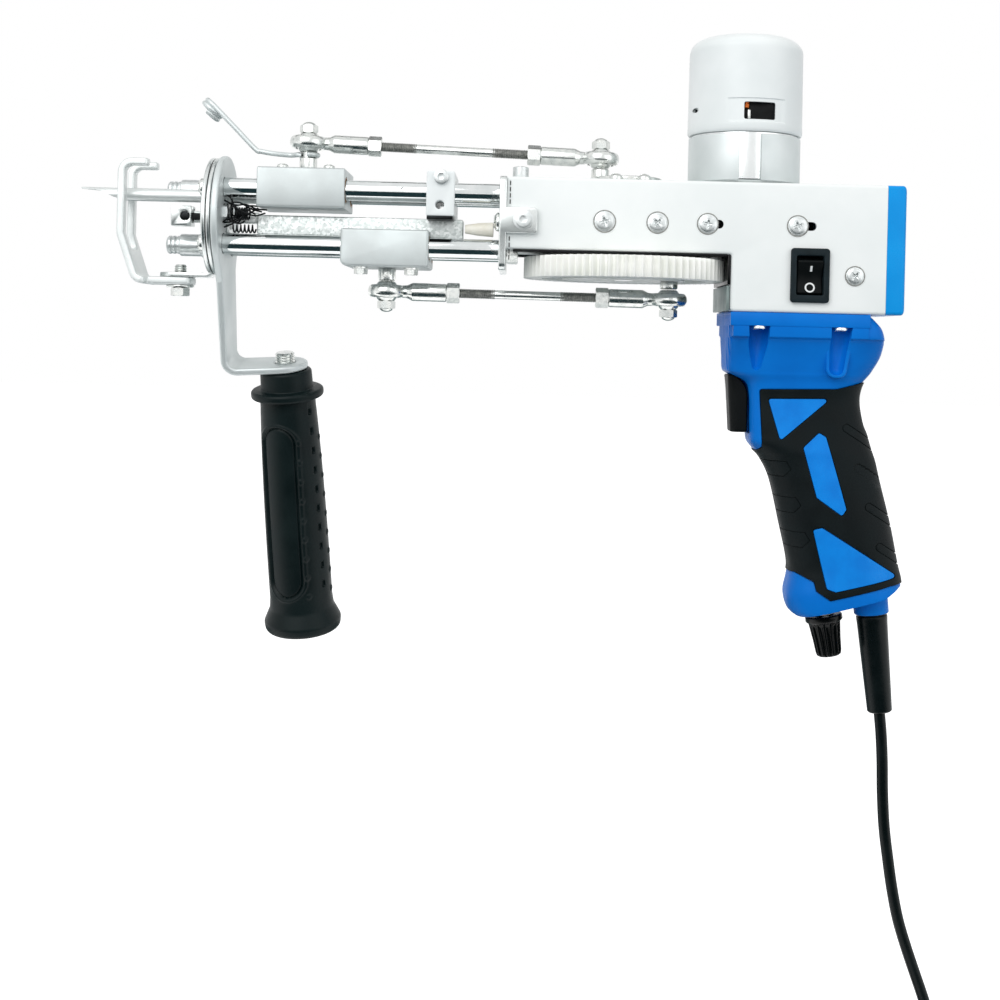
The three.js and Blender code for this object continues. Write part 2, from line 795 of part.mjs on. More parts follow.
// The flange's three discs share one window for the needle, the push bar and the scissors.
function flangeTools() {
  const from = frontDiscX - cutOverrun;
  const to = flangeBackX + cutOverrun;
  const side = windowWidth * half;
  const low = flangeZ - windowHeight * windowDropShare;
  const high = flangeZ + windowHeight * windowRiseShare;
  const holes = (radius) => shaftPlaces().map(([y, z]) => barX(radius, y, z, from, to));
  return {
    window: box(from, to, -side, side, low, high),
    shafts: holes(shaftRadius + fitGap),
    screws: holes(shaftScrewShank * half + fitGap),
  };
}

function footLevels() {
  const tabBottom = flangeZ - flangeDiameter * half - frontDiscThickness * half;
  return { tabBottom, tabTop: tabBottom + frontDiscThickness, footTop: tabBottom - seatGap };
}

function addFlange() {
  const tools = flangeTools();
  const disc = (x, thickness) => barX(flangeDiameter * half, 0, flangeZ, x, x + thickness, wideSides);
  const { tabBottom, tabTop } = footLevels();
  const tabStart = frontDiscX - footTabLength;
  const tabSide = footTabWidth * half;
  const tabEnd = frontDiscX + frontDiscThickness;
  const tabMiddle = tabBottom + frontDiscThickness * half;
  const faceMiddle = frontDiscX + frontDiscThickness * half;
  const bendLine = [
    [tabStart, tabMiddle], [faceMiddle, tabMiddle], [faceMiddle, flangeZ - flangeDiameter * tabRiseShare],
  ];
  const strip = prismY(stripOutline(bendLine, frontDiscThickness, frontDiscThickness), -tabSide, tabSide);
  const plan = roundedRectangle(tabStart, tabEnd, -tabSide, tabSide, tabSide * roundEndShare);
  const square = box(tabStart + tabSide, tabEnd, -tabSide, tabSide, tabBottom - cutOverrun, flangeZ);
  const tab = strip.intersect(join(prismZ(plan, tabBottom - cutOverrun, flangeZ), square));
  const boltHole = barZ(footBoltDiameter * half + fitGap, tabStart + footBoltSetback, 0,
    tabBottom - cutOverrun, tabTop + cutOverrun);
  const front = join(disc(frontDiscX, frontDiscThickness), tab);
  piece(machine, "flange_front", cut(front, tools.window, ...tools.screws, boltHole), "zincSteel");
  const middle = disc(middleDiscX, middleDiscThickness);
  piece(machine, "flange_plate", cut(middle, tools.window, ...tools.shafts), "zincSteel");
  addBracket(tools);
}

// Local frame of the handle bracket: origin on the flange's axis, turned about it by the swing.
function bracketMatrix() {
  return new THREE.Matrix4().makeTranslation(bracketFaceX, 0, flangeZ)
    .multiply(new THREE.Matrix4().makeRotationX(bracketSwing * degree));
}

// Place of the handle's top under the bracket's arm, in the bracket's local frame.
function armPlace() {
  const start = flangeDiameter * half;
  const fall = bracketDrop - start;
  const knee = [bracketThickness * half + fall * Math.tan(bracketLean * degree), -bracketDrop];
  const rise = bracketArmRise * degree;
  const along = (reach) => [knee[0] + reach * Math.cos(rise), knee[1] + reach * Math.sin(rise)];
  const tip = along(bracketArmLength - bracketThickness * half);
  return { start, knee, tip, hole: along(bracketHoleSetback) };
}

function addBracket(tools) {
  const { start, knee, tip, hole } = armPlace();
  const middle = bracketThickness * half;
  const line = [[middle, start], [middle, -start], knee, tip];
  const side = prismY(stripOutline(line, bracketThickness, bracketBend), -start, start);
  const barTop = bracketTopWidth * half;
  const barEnd = bracketEndWidth * half;
  const low = -bracketDrop - 2 * bracketThickness;
  const waist = barTop * waistShare;
  const waistZ = -start * waistDropShare;
  const front = outline([
    [-barTop, waistZ], [-waist, -start], [-barEnd, low], [barEnd, low], [waist, -start], [barTop, waistZ],
  ]);
  const reach = tip[0] + bracketThickness;
  const face = join(barX(start, 0, 0, -cutOverrun, reach, wideSides), prismX(front, -cutOverrun, reach));
  const armPlan = join(
    box(-cutOverrun, tip[0] - barEnd, -barEnd, barEnd, -bracketDrop * 2, bracketDrop),
    barZ(barEnd, tip[0] - barEnd, 0, -bracketDrop * 2, bracketDrop, roundSides),
  );
  const upperBack = bracketThickness + fitGap + cutOverrun;
  const upper = box(-cutOverrun, upperBack, -start, start, -start - cutOverrun, start);
  const shaped = side.intersect(face).intersect(join(armPlan, upper));
  const stud = studDiameter * half + fitGap;
  const [holeX, holeZ] = hole;
  const holeReach = bracketThickness * 2;
  const swung = cut(shaped, barZ(stud, holeX, 0, holeZ - holeReach, holeZ + holeReach));
  const matrix = bracketMatrix();
  const lifted = placed(geometryOf(swung), matrix);
  piece(machine, "handle_bracket", cut(lifted, tools.window, ...tools.shafts), "zincSteel");
  addHandle(matrix, hole);
}

// Rubber handle with its stud, turned about its own axis, and an oval recess on the near side.
function addHandle(matrix, hole) {
  const group = new THREE.Group();
  group.matrixAutoUpdate = false;
  group.matrix.copy(matrix)
    .multiply(new THREE.Matrix4().makeTranslation(hole[0], 0, hole[1]))
    .multiply(new THREE.Matrix4().makeRotationY(-bracketArmRise * degree));
  machine.add(group);
  const top = -bracketThickness * half - seatGap;
  const shoulder = top - handleNeckLength;
  const collarEnd = shoulder - handleCollarLength;
  const end = top - handleLength;
  const flare = end + handleFootLength;
  const edge = handleCollarLength * edgeShare;
  const stud = studDiameter * half;
  const studTop = bracketThickness * half + studStandout;
  const body = turnedZ([
    [0, end], [handleFootDiameter * half - edge, end], [handleFootDiameter * half, end + edge],
    [handleFootDiameter * half, end + handleFootLength * half],
    [handleBodyDiameter * half + edge, flare], [handleBodyDiameter * half, flare + handleFootLength],
    [handleBodyDiameter * half, (flare + collarEnd) * half], [handleTopDiameter * half, collarEnd],
    [handleCollarDiameter * half, collarEnd], [handleCollarDiameter * half, shoulder],
    [handleNeckDiameter * half, shoulder], [handleNeckDiameter * half - edge, top], [stud, top],
    [stud, studTop - edge], [stud - edge, studTop], [0, studTop],
  ], roundSides);
  const middle = (flare + collarEnd) * half;
  const halfLength = handleRecessLength * half;
  const slot = (inset) => {
    const across = handleRecessWidth * half - inset;
    const low = middle - halfLength + inset;
    const high = middle + halfLength - inset;
    return roundedRectangle(-across, across, low, high, across * roundEndShare);
  };
  const near = -handleTopDiameter * half;
  const [outShare, inShare, floorShare] = recessReachShares;
  const groove = cut(
    prismY(slot(0), near * outShare, near * inShare + handleRecessDepth),
    prismY(slot(handleRecessRim), near * outShare - cutOverrun, near * floorShare),
  );
  piece(group, "handle", cut(body, groove.rotate([0, 0, handleTurn])), "blackRubber");
}

// Folded foot: prongs in front of the flange, joined at the base under the flange's tab.
function addFoot() {
  const { tabTop, footTop } = footLevels();
  const boltX = frontDiscX - footTabLength + footBoltSetback;
  const baseZ = footTop - footThickness * half;
  const baseBack = boltX + footBaseLength * noseShare;
  const frontX = frontDiscX - footReach + footThickness * half;
  const topZ = baseZ + footSlantRise + footFrontHeight;
  const line = [
    [frontX + footHookLength, topZ], [frontX, topZ], [frontX, baseZ + footSlantRise],
    [frontX + footSlantRun, baseZ], [baseBack, baseZ],
  ];
  const side = footWidth * half;
  const strip = prismY(stripOutline(line, footThickness, footBend), -side, side);
  const prong = footSlot * half;
  const between = box(frontX - footBend - cutOverrun, frontX + footHookLength + cutOverrun, -prong, prong,
    baseZ + footSlotBottom, topZ + footThickness);
  const slotHalf = footBoltDiameter * half + fitGap;
  const slotFront = boltX - slotHalf - footTravel;
  const slotBack = Math.min(boltX + slotHalf, baseBack - footThickness * half);
  const slotView = roundedRectangle(slotFront, slotBack, -slotHalf, slotHalf, slotHalf * roundEndShare);
  const slot = prismZ(slotView, baseZ - cutOverrun, baseZ + cutOverrun);
  const noseFront = frontX + footSlantRun + 2 * footThickness;
  const nose = footTabWidth * half;
  const over = side + cutOverrun;
  const noses = [[-over, -nose], [nose, over]].map(([y0, y1]) =>
    box(noseFront, baseBack + cutOverrun, y0, y1, baseZ - cutOverrun, baseZ + cutOverrun));
  piece(machine, "presser_foot", cut(strip, between, slot, ...noses), "paleZinc");

  const under = footTop - footThickness - seatGap;
  const head = footBoltHead * half;
  const washer = footWasher * half;
  const shank = footBoltDiameter * half;
  const washerUnder = under - footWasherThickness;
  const headUnder = washerUnder - footBoltHeadHeight;
  const tip = tabTop + footWasherThickness + shank;
  const bolt = turnedZ([
    [0, headUnder], [head, headUnder], [head, washerUnder], [washer, washerUnder], [washer, under],
    [shank, under], [shank, tip - fitGap], [shank * domeShare, tip], [0, tip],
  ], smallSides).translate([boltX, 0, 0]);
  piece(machine, "foot_bolt", bolt, "zincSteel");
}

// Block bored for both shafts of one level: origin at its front face on the shafts' level.
function carriageBlock(length, below, above) {
  const side = carriageDepth * half;
  const bores = [-shaftSideY, shaftSideY].map((y) =>
    barX(bushDiameter * half + fitGap, y, 0, -cutOverrun, length + cutOverrun, roundSides));
  const shape = outline([
    [-side, carriageChamfer - below], [carriageChamfer - side, -below], [side - carriageChamfer, -below],
    [side, carriageChamfer - below], [side, above - carriageChamfer], [side - carriageChamfer, above],
    [carriageChamfer - side, above], [-side, above - carriageChamfer],
  ]);
  return cut(prismX(shape, 0, length), ...bores);
}

function addBushes(group, name, length) {
  const outer = bushDiameter * half;
  const inner = shaftRadius + fitGap;
  for (const [place, y] of [["near", -shaftSideY], ["far", shaftSideY]]) {
    const bush = turnedX([[inner, 0], [outer, 0], [outer, length], [inner, length], [inner, 0]]);
    piece(group, `${name}_bush_${place}`, bush.translate([0, y, 0]), "bronze");
  }
}

// Pin that carries a rod end: stub, neck, ball and domed nut, upwards from the stub's foot.
function ballPin(height, neckFrom) {
  const ball = ballProfile(height);
  const pin = pinDiameter * half;
  const neck = pinNeckDiameter * half;
  const nut = height + rodBallWidth * half;
  const neckTo = height - rodBallWidth * half - seatGap;
  return turnedZ([
    [0, seatGap], [pin, seatGap], [pin, neckFrom], [neck, neckFrom], [neck, neckTo],
    ...ball, ...nutProfile(nut),
  ], smallSides);
}

function ballProfile(height) {
  const radius = rodBallDiameter * half;
  const limit = Math.asin((rodBallWidth * half) / radius);
  const steps = cornerSteps + 1;
  return Array.from({ length: steps + 1 }, (_, i) => {
    const angle = (2 * i / steps - 1) * limit;
    return [radius * Math.cos(angle), height + radius * Math.sin(angle)];
  });
}

function nutProfile(from) {
  const radius = ballNutDiameter * half;
  const top = from + ballNutHeight;
  return [[radius, from], [radius, top - radius * domeRiseShare], [radius * domeShare, top], [0, top]];
}

// Height of the needle carriage's top above the upper shafts' axes.
function carriageRise() {
  return housingTopZ - upperShaftZ + sheetThickness * (1 + half);
}

// Needle carriage on the upper shafts, with its needle, pin and yarn guide.
function addNeedleCarriage() {
  const above = carriageRise();
  const group = assembly(flangeBackX + needleCarriageFromFlange, 0, upperShaftZ);
  const needleLevel = -needleBelowShaft;
  const seat = needleSeatDepth + fitGap;
  const bore = barX(needleDiameter * half + fitGap, 0, needleLevel, -cutOverrun, seat, roundSides);
  const block = carriageBlock(carriageLength, carriageHeight - above, above);
  piece(group, "needle_carriage", cut(block, bore), "castAluminium");
  addBushes(group, "needle", carriageLength);
  piece(group, "needle", needleSolid(needleLevel), "polishedSteel");

  const pinX = carriageLength * half + sheetThickness * half;
  const neckFrom = needlePinHeight - rodBallWidth * half - guideWire - 3 * seatGap;
  const pin = ballPin(needlePinHeight, neckFrom).translate([pinX, 0, above]);
  piece(group, "needle_pin", pin, "zincSteel");
  const guideZ = above + neckFrom + guideWire * half + seatGap;
  piece(group, "yarn_guide", yarnGuide().translate([pinX, 0, guideZ]), "polishedSteel");
}

// Hollow needle, cut to a long scoop that ends in a thin tongue along its top.
function needleSolid(level) {
  const radius = needleDiameter * half;
  const inner = needleBore * half;
  const start = -needleCarriageReach();
  const tube = turnedX([
    [inner, start], [radius, start], [radius, needleSeatDepth], [inner, needleSeatDepth], [inner, start],
  ], roundSides).translate([0, 0, level]);
  const top = level + radius;
  const below = level - radius;
  const under = below - cutOverrun;
  const before = start - cutOverrun;
  const [middleShare, levelShare] = scoopShares;
  const scoop = outline([
    [before, under], [start + needlePointLength, under], [start + needlePointLength, below],
    [start + needlePointLength * middleShare, level - radius * levelShare],
    [start + needleTipLength, top - needleTipThickness * tongueShare], [start, top - needleTipThickness],
    [before, top - needleTipThickness],
  ]);
  const tip = start + needleTipLength;
  const side = radius + cutOverrun;
  const spike = outline([[before, -side], [tip, -side], [start, 0], [tip, side], [before, side]]);
  return cut(tube, prismY(scoop, -needleDiameter, needleDiameter), prismZ(spike, under, top + cutOverrun));
}

// From the carriage's front face to the needle's tip.
function needleCarriageReach() {
  const throughFlange = flangeBackX + needleCarriageFromFlange - frontDiscX;
  return throughFlange + needleReach;
}

// Yarn guide: an eye round the pin, a flat run, a rising run and a two-turn eye at its end.
function yarnGuide() {
  const around = pinNeckDiameter * half + fitGap + guideWire * half;
  const points = [];
  const steps = loopSteps * half;
  for (let i = 0; i <= steps; i++) {
    const angle = -quarterTurn + (i / steps) * eyeTurnShare * 2 * Math.PI;
    points.push(new THREE.Vector3(around * Math.cos(angle), around * Math.sin(angle), 0));
  }
  const eye = guideEyeDiameter * half - guideWire * half;
  const turns = loopSteps * guideEyeTurns;
  const up = new THREE.Vector3(-1, 0, 1).normalize();
  const foot = new THREE.Vector3(-guideFlat, 0, guideWire * half);
  const across = new THREE.Vector3(0, 1, 0);
  const rising = guideRise * Math.SQRT2 - eye;
  points.push(new THREE.Vector3(-around * 2, around * half, 0), foot);
  points.push(foot.clone().addScaledVector(up, rising * half));
  points.push(foot.clone().addScaledVector(up, rising - eye));
  const normal = new THREE.Vector3().crossVectors(up, across);
  const middle = foot.clone().addScaledVector(up, rising).addScaledVector(across, eye);
  for (let i = 0; i <= turns; i++) {
    const angle = (i / loopSteps) * 2 * Math.PI;
    points.push(middle.clone()
      .addScaledVector(across, -eye * Math.cos(angle))
      .addScaledVector(up, eye * Math.sin(angle))
      .addScaledVector(normal, -(guideWire + 2 * fitGap) * (i / loopSteps)));
  }
  return wire(points, guideWire * half);
}

// Blade carriage on the lower shafts, with its push bar and scissors.
function addBladeCarriage() {
  const length = bladeCarriageLength;
  const startX = plateFrontX - bladeCarriageFromPlate - length;
  const below = bladeCarriageBelow;
  const above = bladeCarriageHeight - below;
  const group = assembly(startX, 0, lowerShaftZ);
  const barSide = pushBarWidth * half;
  const barBottom = above - pushBarSink;
  const barTop = barBottom + pushBarHeight;
  const barBack = length + pushBarRear - sheetThickness;
  const barFront = barBack - pushBarLength;
  const round = bladeCarriageRounding;
  const sideView = outline([
    [0, above], [0, round - below], [round * edgeShare, round * edgeShare - below], [round, -below],
    [length, -below], [length, above],
  ]);
  const rounding = prismY(sideView, -carriageDepth, carriageDepth);
  const grooveSide = barSide + fitGap;
  const groove = box(-cutOverrun, length + cutOverrun, -grooveSide, grooveSide,
    barBottom - seatGap, above + cutOverrun);
  const block = carriageBlock(length, below, above).intersect(rounding);
  piece(group, "blade_carriage", cut(block, groove), "castAluminium");
  addBushes(group, "blade", length);
  const holeX = barBack - pushBarHole * 2;
  const holeZ = (barBottom + barTop) * half;
  const barHole = barY(pushBarHole * half, holeX, holeZ, -pushBarWidth, pushBarWidth);
  const bar = box(barFront, barBack, -barSide, barSide, barBottom, barTop);
  piece(group, "push_bar", cut(bar, barHole), "galvanised");
  const pin = ballPin(bladePinHeight, bladePinHeight - rodBallWidth * half - 3 * seatGap);
  const flip = new THREE.Matrix4().makeRotationX(Math.PI);
  piece(group, "blade_pin", placed(geometryOf(pin), flip).translate([length * half, 0, -below]), "zincSteel");
  addScissors(group, barFront, barBottom);
}

// Scissors on the front of the push bar: a slotted block on a stem, a pivoting blade and a spring.
function addScissors(group, barFront, barBottom) {
  const blockBack = barFront - scissorBlockReach + scissorBlockSize;
  const blockFront = blockBack - scissorBlockSize;
  const blockBottom = barBottom + scissorBlockRise;
  const blockTop = blockBottom + scissorBlockSize;
  const side = scissorBlockSize * half;
  const pivotX = blockBack - scissorBlockSize * pivotShare;
  const pivotZ = (blockBottom + blockTop) * half;
  const slot = bladeThickness * half + fitGap;
  const block = cut(
    box(blockFront, blockBack, -side, side, blockBottom, blockTop),
    box(blockFront - cutOverrun, blockBack + cutOverrun, -slot, slot,
      blockBottom + sheetThickness, blockTop + cutOverrun),
  );
  const eye = barY(scissorEye * half, pivotX, pivotZ, -side - cutOverrun, side + cutOverrun);
  const stemY = slot + fitGap;
  const stem = box(blockBack - sheetThickness, barFront - seatGap, stemY, stemY + stemThickness,
    pivotZ - stemHeight * half, pivotZ + stemHeight * half);
  const lugX = barFront - springTurns * (springWire + 2 * fitGap) - springWire * 2 - stemThickness;
  const low = barBottom + fitGap;
  const sillTop = low + springWire * 2;
  const lug = box(lugX - stemThickness, lugX, -side, -slot, low, low + springDiameter);
  const sill = box(lugX - stemThickness, lugX, -side, stemY + stemThickness, low, sillTop);
  const rib = box(lugX - stemThickness, lugX, stemY, stemY + stemThickness, low, pivotZ);
  piece(group, "scissor_holder", cut(join(block, stem, lug, sill, rib), eye), "zincSteel");

  const bladeFront = blockFront + fitGap;
  const halfHeight = bladeHeight * half;
  const tail = pivotX + bladeTailLength;
  const thin = halfHeight * half;
  const [tipLow, tipHigh] = bladeTipShares;
  const view = outline([
    [bladeFront, pivotZ - halfHeight * tipLow], [pivotX, pivotZ - halfHeight], [tail, pivotZ - thin],
    [tail, pivotZ + thin], [pivotX, pivotZ + halfHeight], [bladeFront, pivotZ + halfHeight * tipHigh],
  ]);
  const blade = prismY(view, -bladeThickness * half, bladeThickness * half);
  const pivot = barY(scissorEye * half - fitGap, pivotX, pivotZ, -side + fitGap, side - fitGap);
  piece(group, "scissor_blade", join(blade, pivot), "blackSteel");

  const turns = springTurns;
  const radius = (springDiameter - springWire) * half;
  const springEnd = barFront - springWire - seatGap;
  const springStart = lugX + springWire + seatGap;
  const springZ = low + springDiameter * half;
  const springY = -side + springDiameter * half;
  const steps = cordSides;
  const points = [];
  const rate = (springEnd - springStart) / (turns * steps);
  for (let i = 0; i <= turns * steps; i++) {
    const angle = (i / steps) * 2 * Math.PI;
    const y = springY + radius * Math.cos(angle);
    points.push(new THREE.Vector3(springStart + rate * i, y, springZ + radius * Math.sin(angle)));
  }
  piece(group, "scissor_spring", wire(points, springWire * half, 5), "blackSteel");
}

// White block across the upper shafts.
function addBrace() {
  const back = plateFrontX - braceFromPlate;
  const front = back - braceLength;
  const top = upperShaftZ + braceAboveShaft;
  const side = carriageDepth * half;
  const middle = (front + back) * half;
  const tools = [-shaftSideY, shaftSideY].map((y) =>
    barX(shaftRadius + fitGap, y, upperShaftZ, front - cutOverrun, back + cutOverrun));
  const low = upperShaftZ - shaftRadius - (braceHeight - braceAboveShaft - shaftRadius) * half;
  const screwZ = top - braceScrewHole * half - fitGap;
  const shape = roundedRectangle(front, back, top - braceHeight, top, sheetThickness);
  const hole = barY(braceHole * half, middle, low, -side - cutOverrun, side + cutOverrun);
  const screw = barY(braceScrewHole * half, middle, screwZ, -side - cutOverrun, 2 * fitGap - side);
  piece(machine, "brace_block", cut(prismY(shape, -side, side), ...tools, hole, screw), "whitePaint");
}

// Toothed outline with straight flanks of the pressure angle, thinned for backlash.
function gearOutline(teeth) {
  const pitch = gearModule * teeth * half;
  const root = pitch - gearModule * gearRootShare;
  const tip = pitch + gearModule * gearTipShare;
  const halfTooth = (gearModule * quarterTurn - toothBacklash) * half;
  const slope = Math.tan(pressureAngle * degree);
  const rows = [
    [root, halfTooth + (pitch - root) * slope], [tip, halfTooth - (tip - pitch) * slope * flankShare],
  ];
  const points = [];
  for (let i = 0; i < teeth; i++) {
    const middle = (i / teeth) * 2 * Math.PI;
    rows.forEach(([radius, width]) => points.push([radius, middle - width / radius]));
    rows.slice().reverse().forEach(([radius, width]) => points.push([radius, middle + width / radius]));
  }
  return points.map(([radius, angle]) => [radius * Math.cos(angle), radius * Math.sin(angle)]);
}

// Gear, crankshaft and both cranks, in a frame on the crank's axis at the gear's underside.
function addCrank() {
  const group = assembly(crankX, 0, gearBottomZ);
  const shaft = crankShaftDiameter * half;
  const rim = gearRadius - gearModule * gearRootShare - gearRimWidth;
  const recess = (z) => {
    const top = z + gearRecessDepth * 2;
    return turnedZ([[gearWebInner, z], [rim, z], [rim, top], [gearWebInner, top], [gearWebInner, z]]);
  };
  piece(group, "drive_gear", cut(
    prismZ(outline(gearOutline(gearTeeth)), 0, gearThickness),
    barZ(shaft + fitGap, 0, 0, -cutOverrun, gearThickness + cutOverrun),
    barZ(bladeStudShank * half + fitGap, bladeCrankRadius, 0, -cutOverrun, gearThickness + cutOverrun),
    recess(-gearRecessDepth), recess(gearThickness - gearRecessDepth),
  ), "nylon");
  const discBottom = housingTopZ + fitGap - gearBottomZ;
  const discTop = discBottom + crankDiscThickness;
  piece(group, "crankshaft", turnedZ([
    [0, 0], [shaft, 0], [shaft, discBottom - seatGap], [0, discBottom - seatGap],
  ]), "polishedSteel");
  const discRadius = needleCrankRadius + crankStudDiameter * crankDiscShare;
  const disc = turnedZ([[0, discBottom], [discRadius, discBottom], [discRadius, discTop], [0, discTop]]);
  const studTop = discTop + crankStudHeight;
  const needleStud = barZ(crankStudDiameter * half, -needleCrankRadius, 0, discTop - fitGap, studTop);
  piece(group, "needle_crank", join(disc, needleStud), "zincSteel");
  const shank = bladeStudShank * half;
  const head = crankStudDiameter * half;
  piece(group, "blade_crank_stud", turnedZ([
    [0, -bladeStudHeight - seatGap], [head, -bladeStudHeight - seatGap], [head, -seatGap],
    [shank, -seatGap], [shank, gearThickness], [0, gearThickness],
  ], smallSides).translate([bladeCrankRadius, 0, 0]), "zincSteel");
}

// Block inside the housing with the crankshaft's two bearings.
function addBearings() {
  const bottom = housingBottomZ + sheetThickness + seatGap;
  const top = housingTopZ - sheetThickness - seatGap;
  const side = housingSide - sheetThickness - seatGap;
  const reach = bearingBlockWidth * half;
  const bore = bearingDiameter * half;
  piece(machine, "bearing_block", cut(
    box(crankX - reach, crankX + reach, -side, side, bottom, top),
    barZ(bore + fitGap, crankX, 0, bottom - cutOverrun, top + cutOverrun, roundSides),
  ), "castAluminium");
  const inner = crankShaftDiameter * half + fitGap;
  const bearing = turnedZ([
    [inner, 0], [bore, 0], [bore, bearingWidth], [inner, bearingWidth], [inner, 0],
  ]);
  for (const [name, z] of [["lower", bottom], ["upper", top - bearingWidth]]) {
    piece(machine, `crank_bearing_${name}`, bearing.translate([crankX, 0, z]), "polishedSteel");
  }
}

// Motor on the housing's top, in a frame on its own axis, with the pinion below.
function addMotor() {
  const group = assembly(motorX, 0, housingTopZ + seatGap);
  const can = canDiameter * half;
  const shaft = motorShaftDiameter * half;
  const mouth = shaft + 2 * fitGap;
  const canTurn = [
    [mouth, 0], [can, 0], [can, canHeight], [can - canWall, canHeight], [can - canWall, canWall],
    [mouth, canWall], [mouth, 0],
  ];
  piece(group, "motor_can", turnedZ(canTurn, wideSides), "brightCan");
  const ringIn = can + seatGap;
  const ringOut = ringIn + fluxRingThickness;
  const ringTop = canHeight - fluxRingMargin;
  const ring = turnedZ([
    [ringIn, fluxRingMargin], [ringOut, fluxRingMargin], [ringOut, ringTop], [ringIn, ringTop],
    [ringIn, fluxRingMargin],
  ], wideSides);
  const slitLeft = -fluxRingGap * ringSlitShare;
  const slit = box(slitLeft, slitLeft + fluxRingGap, -ringOut - cutOverrun, -can * half, 0, canHeight);
  piece(group, "flux_ring", cut(ring, slit), "zincSteel");
  addMotorCap(group);
  const rotor = rotorDiameter * half;
  const commutator = commutatorDiameter * half;
  const coreBottom = canWall * 3;
  const coreTop = coreBottom + rotorHeight;
  const shaftBottom = gearBottomZ - housingTopZ;
  const commutatorTop = coreTop + rotorHeight * half;
  const shaftTop = coreTop + rotorHeight * rotorTopShare;
  piece(group, "motor_rotor", turnedZ([
    [0, shaftBottom], [shaft, shaftBottom], [shaft, coreBottom], [rotor, coreBottom], [rotor, coreTop],
    [commutator, coreTop], [commutator, commutatorTop], [shaft, commutatorTop], [shaft, shaftTop],
    [0, shaftTop],
  ]), "copper");
  const pinionGroup = assembly(motorX, 0, gearBottomZ);
  const turn = new THREE.Matrix4().makeRotationZ(Math.PI + Math.PI / pinionTeeth);
  const teeth = placed(prism(outline(gearOutline(pinionTeeth)), gearThickness), turn);
  const hubTop = gearThickness + gearBelowHousing * 2;
  const hub = barZ(pinionHubDiameter * half, 0, 0, gearThickness - fitGap, hubTop);
  piece(pinionGroup, "pinion", cut(join(teeth, hub),
    barZ(shaft + fitGap, 0, 0, -cutOverrun, gearThickness * 2)), "nylon");
}

function addMotorCap(group) {
  const radius = motorCapDiameter * half;
  const bottom = canHeight + seatGap;
  const top = bottom + motorCapHeight;
  const wall = motorCapWall;
  const seat = canDiameter * half - canWall;
  const arc = (edge, level, rounding) => Array.from({ length: cornerSteps + 1 }, (_, i) => {
    const angle = (i / cornerSteps) * quarterTurn;
    return [edge - rounding * (1 - Math.cos(angle)), level - rounding * (1 - Math.sin(angle))];
  });
  const shell = turnedZ([
    [seat, bottom], [radius, bottom], ...arc(radius, top, motorCapRounding), [0, top], [0, top - wall],
    ...arc(radius - wall, top - wall, motorCapRounding - wall).reverse(),
    [radius - wall, bottom + wall], [seat, bottom + wall], [seat, bottom],
  ], wideSides);
  const windowBottom = bottom + capWindowRise;
  const windowTop = windowBottom + capWindowHeight;
  const left = capWindowOffset;
  const right = left + capWindowWidth;
  const outside = -radius - cutOverrun;
  const window = box(left, right, outside, -radius * half, windowBottom, windowTop);
  const recess = box(left - capRecessMargin, right + capRecessMargin * half, outside,
    capRecessDepth - radius * recessInShare, windowBottom - capRecessDepth, windowTop + capRecessDepth);
  piece(group, "motor_cap", cut(shell, window, recess), "whitePaint");
}

// Rocker switch: a body with a well through the panel, and the rocker on its cross axis.
function addSwitch() {
  const [x, z] = switchPlace();
  const group = assembly(x, -housingSide, z);
  const across = switchWidth * half;
  const up = switchHeight * half;
  const bezelView = roundedRectangle(-across, across, -up, up, switchRim * half);
  const bezel = prismY(bezelView, -switchBezel - seatGap, -seatGap);
  const bodyX = across - switchRim;
  const bodyZ = up - switchRim;
  const body = box(-bodyX, bodyX, -switchBezel, switchDepth, -bodyZ, bodyZ);
  const wellX = bodyX - switchRim;
  const wellZ = bodyZ - switchRim;
  const well = box(-wellX, wellX, -switchBezel - cutOverrun, switchWell, -wellZ, wellZ);
  piece(group, "switch_body", cut(join(bezel, body), well), "blackPlastic");
  const reach = wellZ - 3 * fitGap;
  const side = wellX - fitGap;
  const pivotY = switchWell * rockerPivotShare;
  const crest = -switchBezel * half - reach * Math.tan(rockerTilt * degree);
  const deep = switchWell - 2 * fitGap;
  const belly = reach * rockerBellyShare;
  const shape = outline([
    [pivotY * half, -reach], [deep, -belly], [deep, belly], [pivotY * half, reach], [crest, reach],
    [fitGap, 0], [crest, -reach],
  ]);
  const tilt = new THREE.Matrix4().makeTranslation(0, pivotY, 0)
    .multiply(new THREE.Matrix4().makeRotationX(rockerTilt * degree))
    .multiply(new THREE.Matrix4().makeTranslation(0, -pivotY, 0));
  const rocker = prism(shape, 2 * side).applyMatrix4(outlineToYZ).translate(-side, 0, 0).applyMatrix4(tilt);
  piece(group, "rocker", solid(rocker), "blackPlastic");
}

// Grip sections grown by an amount, as rings from the bottom up.
function gripRings(grow, dropEnds = 0) {
  const rings = gripSectionShares.map(([drop, front, back, width, square], row) => {
    const atEnd = row === 0 || row === gripSectionShares.length - 1;
    const sign = row === 0 ? 1 : -1;
    const z = gripTopZ - drop * gripHeight + (atEnd ? sign * dropEnds : 0);
    const x0 = gripFrontX + front * gripReach - grow;
    const x1 = gripFrontX + back * gripReach + grow;
    const reachX = (x1 - x0) * half;
    const reachY = width * gripHalfWidth + grow;
    return Array.from({ length: roundSides }, (_, i) => {
      const angle = ((i + half) / roundSides) * 2 * Math.PI;
      const bulge = (value) => Math.sign(value) * Math.abs(value) ** (2 / square);
      const x = (x0 + x1) * half + reachX * bulge(Math.cos(angle));
      return new THREE.Vector3(x, reachY * bulge(Math.sin(angle)), z);
    });
  });
  return rings.reverse();
}

